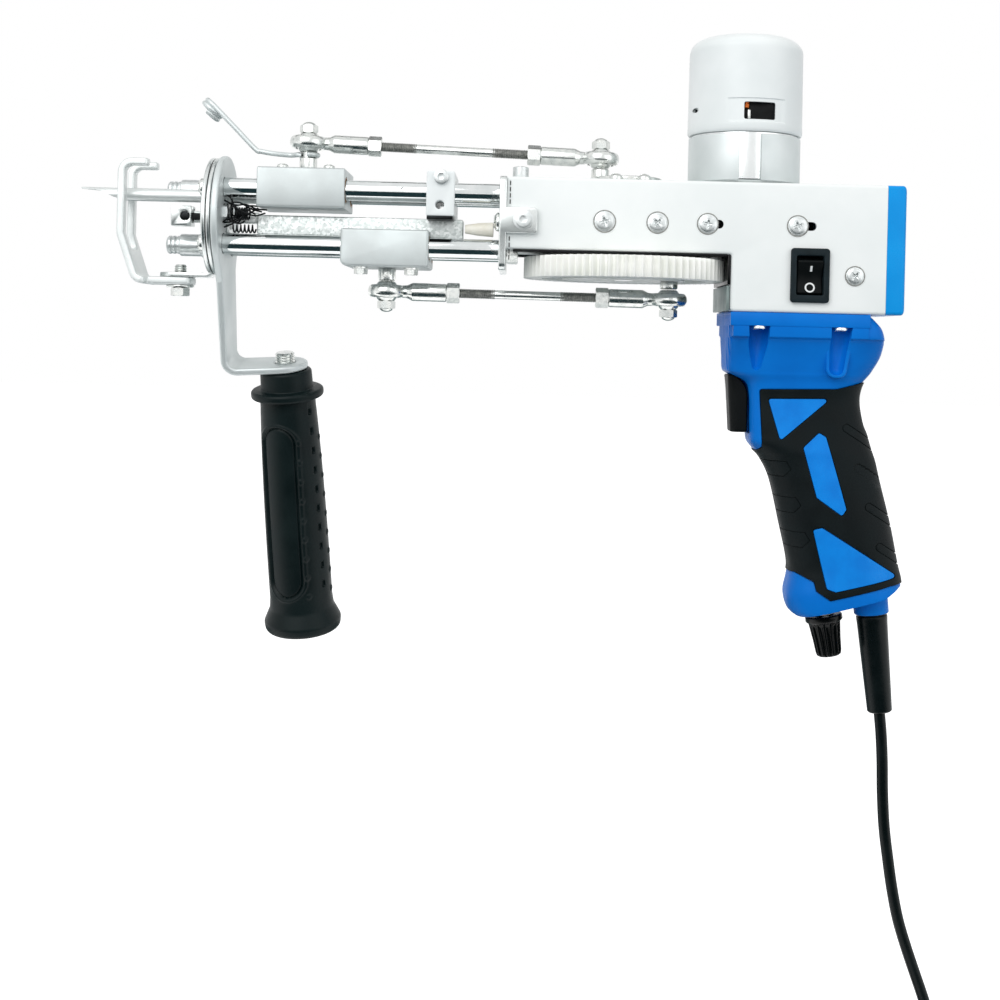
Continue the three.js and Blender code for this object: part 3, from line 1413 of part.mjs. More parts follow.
// Point of the grip's side view from its share of the grip's reach and height.
function gripPoint([reachShare, dropShare]) {
  return [gripFrontX + reachShare * gripReach, gripTopZ - dropShare * gripHeight];
}

// The outline moved outwards or inwards by a distance, corner by corner.
function offsetOutline(points, distance) {
  const corners = points.map(([u, v]) => new THREE.Vector2(u, v));
  const turn = THREE.ShapeUtils.area(corners) > 0 ? 1 : -1;
  return corners.map((corner, i) => {
    const before = corner.clone().sub(corners.at(i - 1)).normalize();
    const after = corners[(i + 1) % corners.length].clone().sub(corner).normalize();
    const normalBefore = new THREE.Vector2(before.y, -before.x).multiplyScalar(turn);
    const normalAfter = new THREE.Vector2(after.y, -after.x).multiplyScalar(turn);
    const middle = normalBefore.clone().add(normalAfter).normalize();
    const stretch = distance / Math.max(middle.dot(normalBefore), half);
    return [corner.x + middle.x * stretch, corner.y + middle.y * stretch];
  });
}

// Place of the trigger's front top corner.
function triggerPlace() {
  return [gripFrontX + gripReach * triggerSetbackShare, gripTopZ - triggerDrop];
}

function triggerOutline(grow, travel) {
  const [x, z] = triggerPlace();
  const back = x + triggerLength + travel + grow;
  const top = z + grow;
  const bottom = z - triggerHeight - grow;
  const round = triggerRounding;
  const bend = round * edgeShare;
  return outline([
    [x - grow, bottom], [back, bottom], [back, top - round], [back - bend, top - bend],
    [back - round, top], [x - grow, top],
  ]);
}

// Frame of the knob and its control: origin where the knob leaves the grip, +Z into the grip.
function knobMatrix() {
  return new THREE.Matrix4()
    .makeTranslation(gripFrontX + knobFromFront, 0, gripTopZ - gripHeight * knobDropShare)
    .multiply(new THREE.Matrix4().makeRotationY(-knobLean * degree));
}

function reliefMatrix() {
  const [x, z] = [gripFrontX + glandFromFront, gripTopZ - gripHeight * glandDropShare];
  return new THREE.Matrix4().makeTranslation(x, 0, z)
    .multiply(new THREE.Matrix4().makeRotationY(-reliefLean * degree));
}

// Bar along the axis of a tilted frame.
function leaningBar(diameter, from, to, matrix, sides) {
  const geometry = new THREE.CylinderGeometry(diameter * half, diameter * half, to - from, sides);
  return placed(geometry.applyMatrix4(alongZ).translate(0, 0, (from + to) * half), matrix);
}

// Two halves round one hollow, with a trench in their skin that the rubber panels lie in.
function addGrip() {
  const base = solid(loft(gripRings(0)));
  const through = gripHalfWidth + cutOverrun;
  const region = rubberOutlineShares.map(gripPoint);
  const windows = gripWindowShares.map((shares) => shares.map(gripPoint));
  const skinInner = solid(loft(gripRings(-rubberDepth)));
  const skinOuter = solid(loft(gripRings(rubberProud)));
  const trenchFloor = solid(loft(gripRings(-rubberDepth - fitGap)));
  const prismOf = (points, grow) => prismY(outline(offsetOutline(points, grow)), -through, through);
  const trench = cut(prismOf(region, fitGap), ...windows.map((points) => prismOf(points, 0)));
  const pad = cut(prismOf(region, 0), ...windows.map((points) => prismOf(points, fitGap)));
  const trenchSkin = cut(solid(loft(gripRings(cutOverrun, cutOverrun))), trenchFloor);
  const underside = prismY(outline(gripUndersideShares.map(gripPoint)), -through, through);
  const body = cut(base, trench.intersect(trenchSkin), underside);
  const knob = knobMatrix();
  const relief = reliefMatrix();
  const glandTop = glandLength - glandStandout;
  const gland = leaningBar(glandDiameter, -glandStandout, glandTop, relief, roundSides);
  const reliefHole = reliefTopDiameter + 2 * fitGap;
  const reliefBore = leaningBar(reliefHole, -glandLength * 2, glandLength * (1 + half), relief, roundSides);
  const knobHole = knobShaftDiameter + 2 * fitGap;
  const knobBore = leaningBar(knobHole, -gripWall * 3, gripWall * 3, knob, smallSides);
  const pocketSide = triggerWidth * half + fitGap;
  const pocket = prismY(triggerOutline(fitGap, triggerTravel), -pocketSide, pocketSide);
  const gripSides = [-1, 1];
  const channelTop = gripTopZ - gripWall;
  const channelY = gripHalfWidth - screwChannel * screwChannelShare;
  const channels = gripScrewShares.flatMap((share) => gripSides.map((sign) => barZ(screwChannel * half,
    gripFrontX + share * gripReach, sign * channelY, channelTop - screwChannelDepth, channelTop)));
  const railBack = gripFrontX + gripReach * gripRailShare;
  const railSide = (housingSide - fitGap + gripHalfWidth) * half - gripWall;
  const railHalf = (housingSide - fitGap - gripHalfWidth) * half + gripWall;
  const rails = gripSides.map((sign) => box(gripFrontX, railBack, sign * railSide - railHalf,
    sign * railSide + railHalf, gripTopZ - gripWall * 2, gripTopZ));
  const hollowSide = gripHollowWidth * half;
  const hollow = prismY(outline(gripHollowShares.map(gripPoint)), -hollowSide, hollowSide);
  const shell = join(cut(join(body, gland), ...channels), ...rails);
  const whole = cut(shell, hollow, pocket, reliefBore, knobBore);
  const halves = [["near", -through, -seamGap], ["far", seamGap, through]];
  for (const [name, y0, y1] of halves) {
    const slab = box(-gripReach * 2, gripReach * 2, y0, y1, gripTopZ - gripHeight * 2, gripTopZ + cutOverrun);
    piece(machine, `grip_${name}`, largest(whole.intersect(slab)), "bluePlastic");
    const skin = cut(skinOuter, skinInner, pocket).intersect(pad).intersect(slab);
    piece(machine, `grip_rubber_${name}`, largest(skin), "blackRubber");
  }
  addTrigger();
  addKnob(knob);
  addStrainRelief(relief);
}

// The largest of the separate bodies that a cut left.
function largest(body) {
  return body.decompose().reduce((best, other) => (other.volume() > best.volume() ? other : best));
}

function addTrigger() {
  const [x, z] = triggerPlace();
  const side = triggerWidth * half;
  piece(machine, "trigger", prismY(triggerOutline(0, 0), -side, side), "blackPlastic");
  const front = x + triggerLength + triggerTravel + 2 * fitGap;
  const bottom = z - triggerHeight;
  const body = box(front, front + triggerSwitchLength, fitGap - side, side - fitGap,
    bottom, bottom + triggerSwitchHeight);
  piece(machine, "trigger_switch", body, "blackPlastic");
}

// Fluted knob with its shaft, and the control that the shaft turns in.
function addKnob(matrix) {
  const rim = knobDiameter * half;
  const tip = knobTipDiameter * half;
  const shaft = knobShaftDiameter * half;
  const below = -2 * fitGap;
  const count = 4 * knobFlutes;
  const [footShare, topShare] = knobRimShares;
  const rimBottom = below - knobRimLength;
  const rows = [
    [below - knobLength, tip], [rimBottom, rim * footShare], [rimBottom, rim], [below, rim * topShare],
  ];
  const rings = rows.map(([height, radius], row) => Array.from({ length: count }, (_, i) => {
    const depth = row < 2 && i % 4 < 2 ? fluteShare : 1;
    const angle = (i / count) * 2 * Math.PI;
    return new THREE.Vector3(radius * depth * Math.cos(angle), radius * depth * Math.sin(angle), height);
  }));
  const knobShaft = barZ(shaft, 0, 0, below - fitGap, knobShaftLength);
  const knob = join(solid(loft(rings)), knobShaft);
  piece(machine, "speed_knob", placed(geometryOf(knob), matrix), "blackPlastic");

  const control = controlDiameter * half;
  const neck = control * controlNeckShare;
  const bore = shaft + fitGap;
  const bottom = gripWall * 4;
  const foot = bottom - controlLength * half;
  const top = bottom + controlLength;
  const boreTop = knobShaftLength + fitGap + bottom * half;
  const body = turnedZ([
    [bore, foot], [neck, foot], [neck, bottom], [control, bottom], [control, top], [0, top], [0, boreTop],
    [bore, boreTop], [bore, foot],
  ], smallSides);
  piece(machine, "speed_control", placed(geometryOf(body), matrix), "zincSteel");
}

function addStrainRelief(matrix) {
  const top = reliefTopDiameter * half;
  const end = reliefEndDiameter * half;
  const sleeve = turnedZ([[0, -reliefLength], [end, -reliefLength], [top, glandLength], [0, glandLength]]);
  piece(machine, "strain_relief", placed(geometryOf(sleeve), matrix), "blackRubber");
}

// Cord: a free run down from the relief, then a round coil held by a tie, ending in a plug.
function addCord() {
  const points = cordRoute.map((point) => new THREE.Vector3(...point));
  const run = new THREE.CatmullRomCurve3(points, false, "centripetal");
  const radius = cordDiameter * half;
  const corners = 2 * cornerSteps + 2;
  const section = outline(Array.from({ length: corners }, (_, i) => {
    const angle = (i / corners) * 2 * Math.PI;
    return [radius * Math.cos(angle), radius * Math.sin(angle)];
  }));
  const settings = { steps: loopSteps, bevelEnabled: false, extrudePath: run };
  const free = new THREE.ExtrudeGeometry(section, settings);
  piece(machine, "cord", solid(free), "blackRubber");

  const last = points.at(-1);
  const coilOuter = coilMeanDiameter * half + coilPitch * coilTurnsPerLayer * half;
  const centre = new THREE.Vector3(last.x - coilOuter, 0, last.z - fitGap - cordDiameter);
  const coil = coilPoints(coilOuter);
  printLeastGap(coil);
  const group = assembly(centre.x, centre.y, centre.z);
  piece(group, "cord_coil", wire(coil, radius), "blackRubber");

  const inner = coilOuter - coilPitch * (coilTurnsPerLayer - quarter) - radius - 2 * fitGap - tieThickness;
  const outer = coilOuter - coilPitch * quarter + radius + tieThickness + fitGap;
  const side = coilPitch * half + radius + tieThickness + fitGap;
  const tieOutside = roundedRectangle(-outer, -inner, -side, side, tieThickness * 2);
  const tieInside = roundedRectangle(tieThickness - outer, -inner - tieThickness,
    tieThickness - side, side - tieThickness, tieThickness);
  const tieEdge = tieWidth * half;
  const ring = cut(prismZ(tieOutside, -tieEdge, tieEdge), prismZ(tieInside, -tieWidth, tieWidth));
  piece(group, "cord_tie", ring, "blackPlastic");

  const end = coil.at(-1);
  const plug = plugDiameter * half;
  const top = end.z - fitGap;
  const bottom = top - plugLength;
  const [shoulderShare, neckShare] = plugNeckShares;
  const [shoulderPlace, neckPlace] = plugNeckPlaces;
  piece(group, "plug", turnedZ([
    [0, bottom], [plug, bottom], [plug, top - plugLength * shoulderPlace],
    [plug * shoulderShare, top - plugLength * neckPlace], [plug * neckShare, top], [0, top],
  ], smallSides).translate([end.x, end.y, 0]), "blackRubber");
  const barrel = plugBarrelDiameter * half;
  const bore = barrel * half;
  const barrelTop = bottom - seatGap;
  const barrelEnd = bottom - plugBarrelLength;
  const boreTop = bottom - plugBarrelLength * plugHollowShare;
  piece(group, "plug_barrel", turnedZ([
    [0, barrelTop], [0, boreTop], [bore, boreTop], [bore, barrelEnd], [barrel, barrelEnd],
    [barrel, barrelTop], [0, barrelTop],
  ], smallSides).translate([end.x, end.y, 0]), "polishedSteel");
}

// Turns of the coil: in through one layer, over in half a turn, and out through the other.
function coilPoints(outer) {
  const layerTurns = coilTurnsPerLayer;
  const total = 2 * layerTurns + half;
  const steps = Math.round(total * loopSteps);
  const side = coilPitch * half;
  const points = [new THREE.Vector3(outer, -side, cordDiameter)];
  for (let i = 0; i <= steps; i++) {
    const turn = (i / steps) * total;
    const climb = THREE.MathUtils.clamp((turn - layerTurns) / half, 0, 1);
    const inward = turn < layerTurns ? turn : layerTurns - Math.max(turn - layerTurns - half, 0);
    const radius = outer - coilPitch * inward;
    const angle = -turn * 2 * Math.PI;
    const y = -side * Math.cos(climb * Math.PI);
    points.push(new THREE.Vector3(radius * Math.cos(angle), y, radius * Math.sin(angle)));
  }
  const end = points.at(-1);
  points.push(new THREE.Vector3(end.x, end.y, end.z - cordDiameter));
  return points;
}

// Least distance between two stretches of the coil that are more than a third of a turn apart.
function printLeastGap(points) {
  let least = Infinity;
  const apart = Math.ceil(loopSteps / 3);
  points.forEach((point, i) => {
    for (let k = i + apart; k < points.length; k++) least = Math.min(least, point.distanceTo(points[k]));
  });
  console.log(`coil: least gap ${(least - cordDiameter).toFixed(2)} mm`);
}

// Connecting rod in its own frame: origin at the carriage's ball, +X towards the crank's ball.
function addRod(name, front, back, nutsUp) {
  const span = new THREE.Vector3().subVectors(back, front);
  const length = span.length();
  const group = assembly(front.x, front.y, front.z);
  group.rotation.y = -Math.asin(span.z / length);
  const head = rodHeadDiameter * half;
  const thick = rodHeadThickness * half;
  const seat = rodBallDiameter * half + fitGap;
  const limit = Math.asin(thick / seat);
  const edge = thick * edgeShare;
  const seatArc = [1, 0, -1].map((turn) => [seat * Math.cos(turn * limit), seat * Math.sin(turn * limit)]);
  const ringPoints = [
    ...seatArc, [head - edge, -thick], [head, edge - thick], [head, thick - edge], [head - edge, thick],
    seatArc[0],
  ];
  const barrel = rodBarrelDiameter * half;
  const nutRadius = (rodNutAcross * half) / hexShare;
  const barrelStart = head - edge;
  const barrelEnd = head + rodBarrelLength;
  const nutEnd = barrelEnd + rodNutLength;
  const threadEnd = nutEnd + rodThreadLength;
  const turnedRound = new THREE.Matrix4().makeRotationZ(Math.PI);
  const farEnd = (part) => placed(geometryOf(part), turnedRound).translate([length, 0, 0]);
  const ends = [
    turnedZ(ringPoints, roundSides),
    barX(barrel, 0, 0, barrelStart, barrelEnd),
    barX(nutRadius, 0, 0, barrelEnd - seatGap, nutEnd, 6),
    barX(rodThreadDiameter * half, 0, 0, nutEnd - seatGap, threadEnd, cordSides),
  ];
  const barEnd = length - threadEnd + seatGap;
  const bar = barX(rodDiameter * half, 0, 0, threadEnd - seatGap, barEnd, cordSides);
  piece(group, name, join(bar, ...ends, ...ends.map(farEnd)), "polishedSteel");
  const ballTop = rodBallWidth * half;
  const bolt = turnedZ([[0, -ballTop], ...ballProfile(0), ...nutProfile(ballTop)], smallSides);
  const flip = new THREE.Matrix4().makeRotationX(Math.PI);
  const upright = nutsUp ? bolt : placed(geometryOf(bolt), flip);
  const level = new THREE.Matrix4().makeTranslation(length, 0, 0)
    .multiply(new THREE.Matrix4().makeRotationY(-group.rotation.y));
  piece(group, `${name}_bolt`, placed(geometryOf(upright), level), "zincSteel");
}

// The ball pins' and crank studs' places that the two rods span.
function addRods() {
  const needlePinX = flangeBackX + needleCarriageFromFlange + (carriageLength + sheetThickness) * half;
  const needlePinZ = upperShaftZ + carriageRise() + needlePinHeight;
  const needleFront = new THREE.Vector3(needlePinX, 0, needlePinZ);
  const crankTop = housingTopZ + fitGap + crankDiscThickness + crankStudHeight;
  const needleBackZ = crankTop + fitGap + rodBallWidth * half;
  const needleBack = new THREE.Vector3(crankX - needleCrankRadius, 0, needleBackZ);
  addRod("needle_rod", needleFront, needleBack, true);
  const bladePinX = plateFrontX - bladeCarriageFromPlate - bladeCarriageLength * half;
  const bladePinZ = lowerShaftZ - bladeCarriageBelow - bladePinHeight;
  const bladeFront = new THREE.Vector3(bladePinX, 0, bladePinZ);
  const studBottom = gearBottomZ - seatGap - bladeStudHeight;
  const bladeBackZ = studBottom - fitGap - rodBallWidth * half;
  const bladeBack = new THREE.Vector3(crankX + bladeCrankRadius, 0, bladeBackZ);
  addRod("blade_rod", bladeFront, bladeBack, false);
}

addHousing();
addShaftPlate();
addShafts();
addFlange();
addFoot();
addNeedleCarriage();
addBladeCarriage();
addBrace();
addCrank();
addBearings();
addMotor();
addSwitch();
addGrip();
addCord();
addRods();

export default machine;
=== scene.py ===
# Looks of a handheld tufting machine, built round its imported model.
# Lengths are in millimetres, and the helpers turn them into metres. +Z is up, the needle points along -X.
import json
import math

import bmesh
import bpy
import numpy as np
from mathutils import Matrix, Vector


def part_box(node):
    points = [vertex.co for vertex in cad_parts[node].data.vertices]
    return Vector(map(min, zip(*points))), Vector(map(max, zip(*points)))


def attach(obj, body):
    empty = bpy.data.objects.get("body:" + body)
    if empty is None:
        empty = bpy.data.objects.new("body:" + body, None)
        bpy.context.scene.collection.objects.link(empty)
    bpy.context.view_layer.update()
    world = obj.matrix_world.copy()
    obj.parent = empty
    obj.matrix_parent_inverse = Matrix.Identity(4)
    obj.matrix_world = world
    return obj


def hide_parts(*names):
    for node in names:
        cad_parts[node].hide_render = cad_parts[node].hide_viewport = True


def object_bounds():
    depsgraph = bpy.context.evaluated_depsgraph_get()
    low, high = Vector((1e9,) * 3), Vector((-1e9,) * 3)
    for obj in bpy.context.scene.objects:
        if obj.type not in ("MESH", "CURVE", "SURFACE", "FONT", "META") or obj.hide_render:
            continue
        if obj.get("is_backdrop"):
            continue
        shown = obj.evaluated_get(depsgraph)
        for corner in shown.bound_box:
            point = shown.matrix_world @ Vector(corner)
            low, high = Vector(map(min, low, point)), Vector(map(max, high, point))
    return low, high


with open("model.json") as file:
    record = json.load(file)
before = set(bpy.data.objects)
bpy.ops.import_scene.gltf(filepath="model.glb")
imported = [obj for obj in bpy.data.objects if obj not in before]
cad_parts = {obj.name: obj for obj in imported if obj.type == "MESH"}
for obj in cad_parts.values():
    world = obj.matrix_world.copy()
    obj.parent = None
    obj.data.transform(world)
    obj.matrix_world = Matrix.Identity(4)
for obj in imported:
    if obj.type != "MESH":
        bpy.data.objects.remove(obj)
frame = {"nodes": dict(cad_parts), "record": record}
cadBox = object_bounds()
mm = 0.001
tau = 2 * math.pi
bodyOf = {node: body for body, members in frame["record"]["behaviour"]["bodies"].items() for node in members}


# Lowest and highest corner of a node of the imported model.
def span(node):
    low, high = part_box(node)
    return np.array(low) / mm, np.array(high) / mm


# Colour of a hex code as Blender counts light.
def linear(code):
    parts = [int(code[i:i + 2], 16) / 255 for i in (1, 3, 5)]
    return [*(v / 12.92 if v <= 0.04045 else ((v + 0.055) / 1.055) ** 2.4 for v in parts), 1]


# A node with its settings; a socket's value is a number, a hex colour or another node's output.
def addNode(tree, kind, sockets, **settings):
    node = tree.nodes.new("ShaderNode" + kind)
    for key, value in settings.items():
        setattr(node, key, value)
    for key, value in sockets.items():
        if isinstance(value, bpy.types.NodeSocket):
            tree.links.new(value, node.inputs[key])
        else:
            node.inputs[key].default_value = linear(value) if isinstance(value, str) else value
    return node


# Mesh from points and arrays of faces, each array with one corner count.
def buildMesh(name, points, *faceSets):
    mesh = bpy.data.meshes.new(name)
    points = np.asarray(points, float).reshape(-1, 3) * mm
    loops = np.concatenate([faces.reshape(-1) for faces in faceSets])
    counts = np.concatenate([np.full(len(faces), faces.shape[1]) for faces in faceSets])
    mesh.vertices.add(len(points))
    mesh.vertices.foreach_set("co", points.reshape(-1))
    mesh.loops.add(len(loops))
    mesh.loops.foreach_set("vertex_index", loops.astype(np.int32))
    mesh.polygons.add(len(counts))
    mesh.polygons.foreach_set("loop_start", (np.cumsum(counts) - counts).astype(np.int32))
    mesh.update(calc_edges=True)
    return settle(mesh)


# Doubles merged and faces turned outwards, with the faces of one plane joined where it is flat.
def settle(mesh, flat=False):
    work = bmesh.new()
    work.from_mesh(mesh)
    bmesh.ops.remove_doubles(work, verts=work.verts, dist=1e-6)
    bmesh.ops.dissolve_degenerate(work, edges=work.edges, dist=1e-7)
    if flat:
        bmesh.ops.dissolve_limit(work, angle_limit=math.radians(0.6), verts=work.verts, edges=work.edges)
    bmesh.ops.recalc_face_normals(work, faces=work.faces)
    work.to_mesh(mesh)
    work.free()
    return mesh


# Closed skin over rings of points with the same count: face (row, column) joins two neighbours in each.
def lofted(rings, wrapRows=False):
    rings = np.asarray(rings, float)
    rows, columns = rings.shape[:2]
    row, column = np.meshgrid(np.arange(rows if wrapRows else rows - 1), np.arange(columns), indexing="ij")
    nextRow, nextColumn = (row + 1) % rows, (column + 1) % columns
    quads = np.stack([row * columns + column, row * columns + nextColumn,
                      nextRow * columns + nextColumn, nextRow * columns + column], -1).reshape(-1, 4)
    if wrapRows:
        return buildMesh("loft", rings, quads)
    ends = np.arange(columns)[None]
    return buildMesh("loft", rings, quads, ends[:, ::-1], ends + (rows - 1) * columns)


# Body of revolution about Z: point = (r cos a, r sin a, h). A row's radius or height may vary with a.
def turned(rows, sides=64, wrapRows=False):
    angle = np.arange(sides) / sides * tau
    rings = [np.stack([np.broadcast_to(radius, sides) * np.cos(angle),
                       np.broadcast_to(radius, sides) * np.sin(angle),
                       np.broadcast_to(height, sides)], -1) for radius, height in rows]
    return lofted(rings, wrapRows)


# Corners turned into arcs: the arc starts radius / tan(half the opening) before the corner.
def rounded(corners, radii, steps=5, closed=True):
    corners = np.array(corners, float)
    radii = np.broadcast_to(radii, len(corners))
    out = []
    for i, (corner, radius) in enumerate(zip(corners, radii)):
        before = corners[i - 1] - corner
        after = corners[(i + 1) % len(corners)] - corner
        lengths = np.hypot(*before), np.hypot(*after)
        atEnd = not closed and i in (0, len(corners) - 1)
        if atEnd or radius <= 0 or min(lengths) < 1e-6:
            out.append(corner)
            continue
        before, after = before / lengths[0], after / lengths[1]
        opening = math.acos(np.clip(before @ after, -1, 1)) / 2
        if opening > 1.55 or opening < 0.02:
            out.append(corner)
            continue
        setback = min(radius / math.tan(opening), lengths[0] * 0.49, lengths[1] * 0.49)
        centre = corner + (before + after) / np.hypot(*(before + after)) * setback / math.cos(opening)
        start, end = corner + before * setback - centre, corner + after * setback - centre
        first = math.atan2(start[1], start[0])
        turn = (math.atan2(end[1], end[0]) - first + math.pi) % tau - math.pi
        angles = first + turn * np.linspace(0, 1, steps + 1)
        out.extend(centre + np.stack([np.cos(angles), np.sin(angles)], -1) * np.hypot(*start))
    return np.array(out)


def rectangle(x0, x1, y0, y1, radius=0, steps=5):
    return rounded([(x0, y0), (x1, y0), (x1, y1), (x0, y1)], radius, steps)


def circle(radius, centre=(0, 0), count=64):
    angle = np.arange(count) / count * tau
    return np.stack([centre[0] + radius * np.cos(angle), centre[1] + radius * np.sin(angle)], -1)


# Profile of turned work: a line with rounded corners that starts and ends on its own points.
def profile(points, radii, steps=3):
    return rounded(points, radii, steps, closed=False)


# Ring about Z from a closed profile with rounded corners. The first corner stays sharp.
def roundedRing(points, radii, steps=3, sides=64):
    return turned(profile([*points, points[0]], [*radii, 0], steps)[:-1], sides, True)


# Solid and hollow round stock about Z, between two heights.
def dowel(radius, low, high, sides=48):
    return turned([(0, low), (radius, low), (radius, high), (0, high)], sides)


def sleeve(inner, outer, low, high, sides=64):
    return turned([(inner, low), (outer, low), (outer, high), (inner, high)], sides, True)


# Flat disc about Z whose upper edge is rounded.
def roundedDisc(radius, low, high, corner=0.2, sides=64):
    return turned(profile([(0, low), (radius, low), (radius, high), (0, high)], [0, 0, corner, 0]), sides)


# Mesh as its modifiers leave it.
def modified(mesh, *modifiers):
    holder = bpy.data.objects.new("holder", mesh)
    bpy.context.collection.objects.link(holder)
    for kind, settings in modifiers:
        modifier = holder.modifiers.new(kind, kind)
        for key, value in settings.items():
            setattr(modifier, key, value)
    result = bpy.data.meshes.new_from_object(holder.evaluated_get(bpy.context.evaluated_depsgraph_get()))
    bpy.data.objects.remove(holder)
    return result


# Tools cut out of a mesh, or joined to it or kept in common with it.
def carve(mesh, *tools, operation="DIFFERENCE"):
    for tool in tools:
        cutter = bpy.data.objects.new("cutter", tool)
        bpy.context.collection.objects.link(cutter)
        mesh = modified(mesh, ("BOOLEAN", {"operation": operation, "object": cutter, "solver": "EXACT"}))
        bpy.data.objects.remove(cutter)
    return mesh


# Edges sharper than an angle broken by a small round.
def ease(mesh, width, segments=2, angle=30):
    return modified(mesh, ("BEVEL", {"width": width * mm, "segments": segments, "limit_method": "ANGLE",
                                     "angle_limit": math.radians(angle), "harden_normals": False}))


# Flat plate with holes in the XY plane, centred on it, its edges rounded.
def plate(outlines, thickness, bevel=0.15, steps=2):
    curve = bpy.data.curves.new("plate", "CURVE")
    curve.dimensions = "2D"
    curve.fill_mode = "BOTH"
    curve.extrude = (thickness / 2 - bevel) * mm
    curve.bevel_depth = bevel * mm
    curve.bevel_resolution = steps
    curve.offset = -bevel * mm
    for outline in outlines:
        spline = curve.splines.new("POLY")
        spline.points.add(len(outline) - 1)
        places = np.zeros((len(outline), 4))
        places[:, :2] = np.asarray(outline) * mm
        places[:, 3] = 1
        spline.points.foreach_set("co", places.reshape(-1))
        spline.use_cyclic_u = True
    holder = bpy.data.objects.new("plate", curve)
    bpy.context.collection.objects.link(holder)
    mesh = bpy.data.meshes.new_from_object(holder.evaluated_get(bpy.context.evaluated_depsgraph_get()))
    bpy.data.objects.remove(holder)
    return settle(mesh, flat=True)


# Mesh moved by a matrix whose shift is in millimetres.
def put(mesh, matrix):
    matrix = matrix.copy()
    matrix.translation *= mm
    mesh.transform(matrix)
    if matrix.determinant() < 0:
        mesh.flip_normals()
    return mesh


def shift(x, y, z):
    return Matrix.Translation((x, y, z))


def spin(degrees, axis):
    return Matrix.Rotation(math.radians(degrees), 4, axis)


# Frames that carry a plate's XY plane to the XZ or the YZ plane, or turned work to lie along X or Y.
sideOn = Matrix(((1, 0, 0, 0), (0, 0, -1, 0), (0, 1, 0, 0), (0, 0, 0, 1)))
endOn = Matrix(((0, 0, 1, 0), (1, 0, 0, 0), (0, 1, 0, 0), (0, 0, 0, 1)))
forward = spin(-90, "Y")
nearward = spin(90, "X")
flip = Matrix.Diagonal((1, -1, -1, 1))


def merge(*meshes):
    work = bmesh.new()
    for mesh in meshes:
        work.from_mesh(mesh)
    result = bpy.data.meshes.new("merged")
    work.to_mesh(result)
    work.free()
    return result


def mirrored(mesh):
    return put(mesh.copy(), Matrix.Diagonal((1, -1, 1, 1)))


def block(x0, x1, y0, y1, z0, z1, bevel=0):
    mesh = put(plate([rectangle(x0, x1, y0, y1)], z1 - z0, 0), shift(0, 0, (z0 + z1) / 2))
    return ease(mesh, bevel) if bevel else mesh


# Flat plate bent across Y: its middle line turns at rate 1 / radius from each fold's start on, and
# point = line(u) + z * normal(u), with u the distance along the flat plate.
def bend(mesh, folds, cuts=8):
    work = bmesh.new()
    work.from_mesh(mesh)
    for start, radius, angle in folds:
        for place in start + radius * abs(math.radians(angle)) * np.linspace(0, 1, cuts + 1):
            bmesh.ops.bisect_plane(work, geom=work.verts[:] + work.edges[:] + work.faces[:],
                                   plane_co=(0, place * mm, 0), plane_no=(0, 1, 0), dist=1e-7)
    work.to_mesh(mesh)
    work.free()
    points = np.empty(len(mesh.vertices) * 3)
    mesh.vertices.foreach_get("co", points)
    points = points.reshape(-1, 3) / mm
    line = np.linspace(points[:, 1].min(), points[:, 1].max(), 4001)
    turn = sum(np.clip((line - start) / (radius * abs(math.radians(angle))), 0, 1) * math.radians(angle)
               for start, radius, angle in folds)
    step = line[1] - line[0]
    y = line[0] + np.concatenate([[0], np.cumsum((np.cos(turn[1:]) + np.cos(turn[:-1])) / 2 * step)])
    z = np.concatenate([[0], np.cumsum((np.sin(turn[1:]) + np.sin(turn[:-1])) / 2 * step)])
    u, height = points[:, 1].copy(), points[:, 2].copy()
    angle = np.interp(u, line, turn)
    points[:, 1] = np.interp(u, line, y) - height * np.sin(angle)
    points[:, 2] = np.interp(u, line, z) + height * np.cos(angle)
    mesh.vertices.foreach_set("co", (points * mm).reshape(-1))
    mesh.update()
    return mesh


# Smooth run through points: a cubic between neighbours whose slope at each is half the chord across it.
def smoothRun(points, steps=8):
    points = np.array(points, float)
    before = np.vstack([2 * points[0] - points[1], points[:-1]])[:-1]
    after = np.vstack([points[2:], 2 * points[-1] - points[-2]])
    t = (np.arange(steps) / steps)[None, :, None]
    a, b, c, d = before[:, None], points[:-1, None], points[1:, None], after[:, None]
    run = b + 0.5 * t * (c - a + t * (2 * a - 5 * b + 4 * c - d + t * (3 * (b - c) + d - a)))
    return np.vstack([run.reshape(-1, points.shape[1]), points[-1:]])


# Tube along a path. Each ring's frame is the one before it, tipped to the new direction.
def swept(path, radius, sides=16, ends=0.25):
    path = np.asarray(path, float)
    radius = np.broadcast_to(radius, len(path)).astype(float)
    along = np.gradient(path, axis=0)
    along /= np.linalg.norm(along, axis=1)[:, None]
    side = Vector(along[0]).orthogonal()
    angle = np.arange(sides) / sides * tau
    rings = []
    for place, direction, reach in zip(path, along, radius):
        direction = Vector(direction)
        side = (side - direction * side.dot(direction)).normalized()
        other = direction.cross(side)
        rings.append(place + reach * (np.cos(angle)[:, None] * np.array(side)
                                      + np.sin(angle)[:, None] * np.array(other)))
    first, last = rings[0], rings[-1]
    inset = lambda ring, place, direction: place + (ring - place) * (1 - ends) + direction * ends * radius[0]
    rings = [inset(first, path[0], -along[0]), *rings, inset(last, path[-1], along[-1])]
    return lofted(rings)


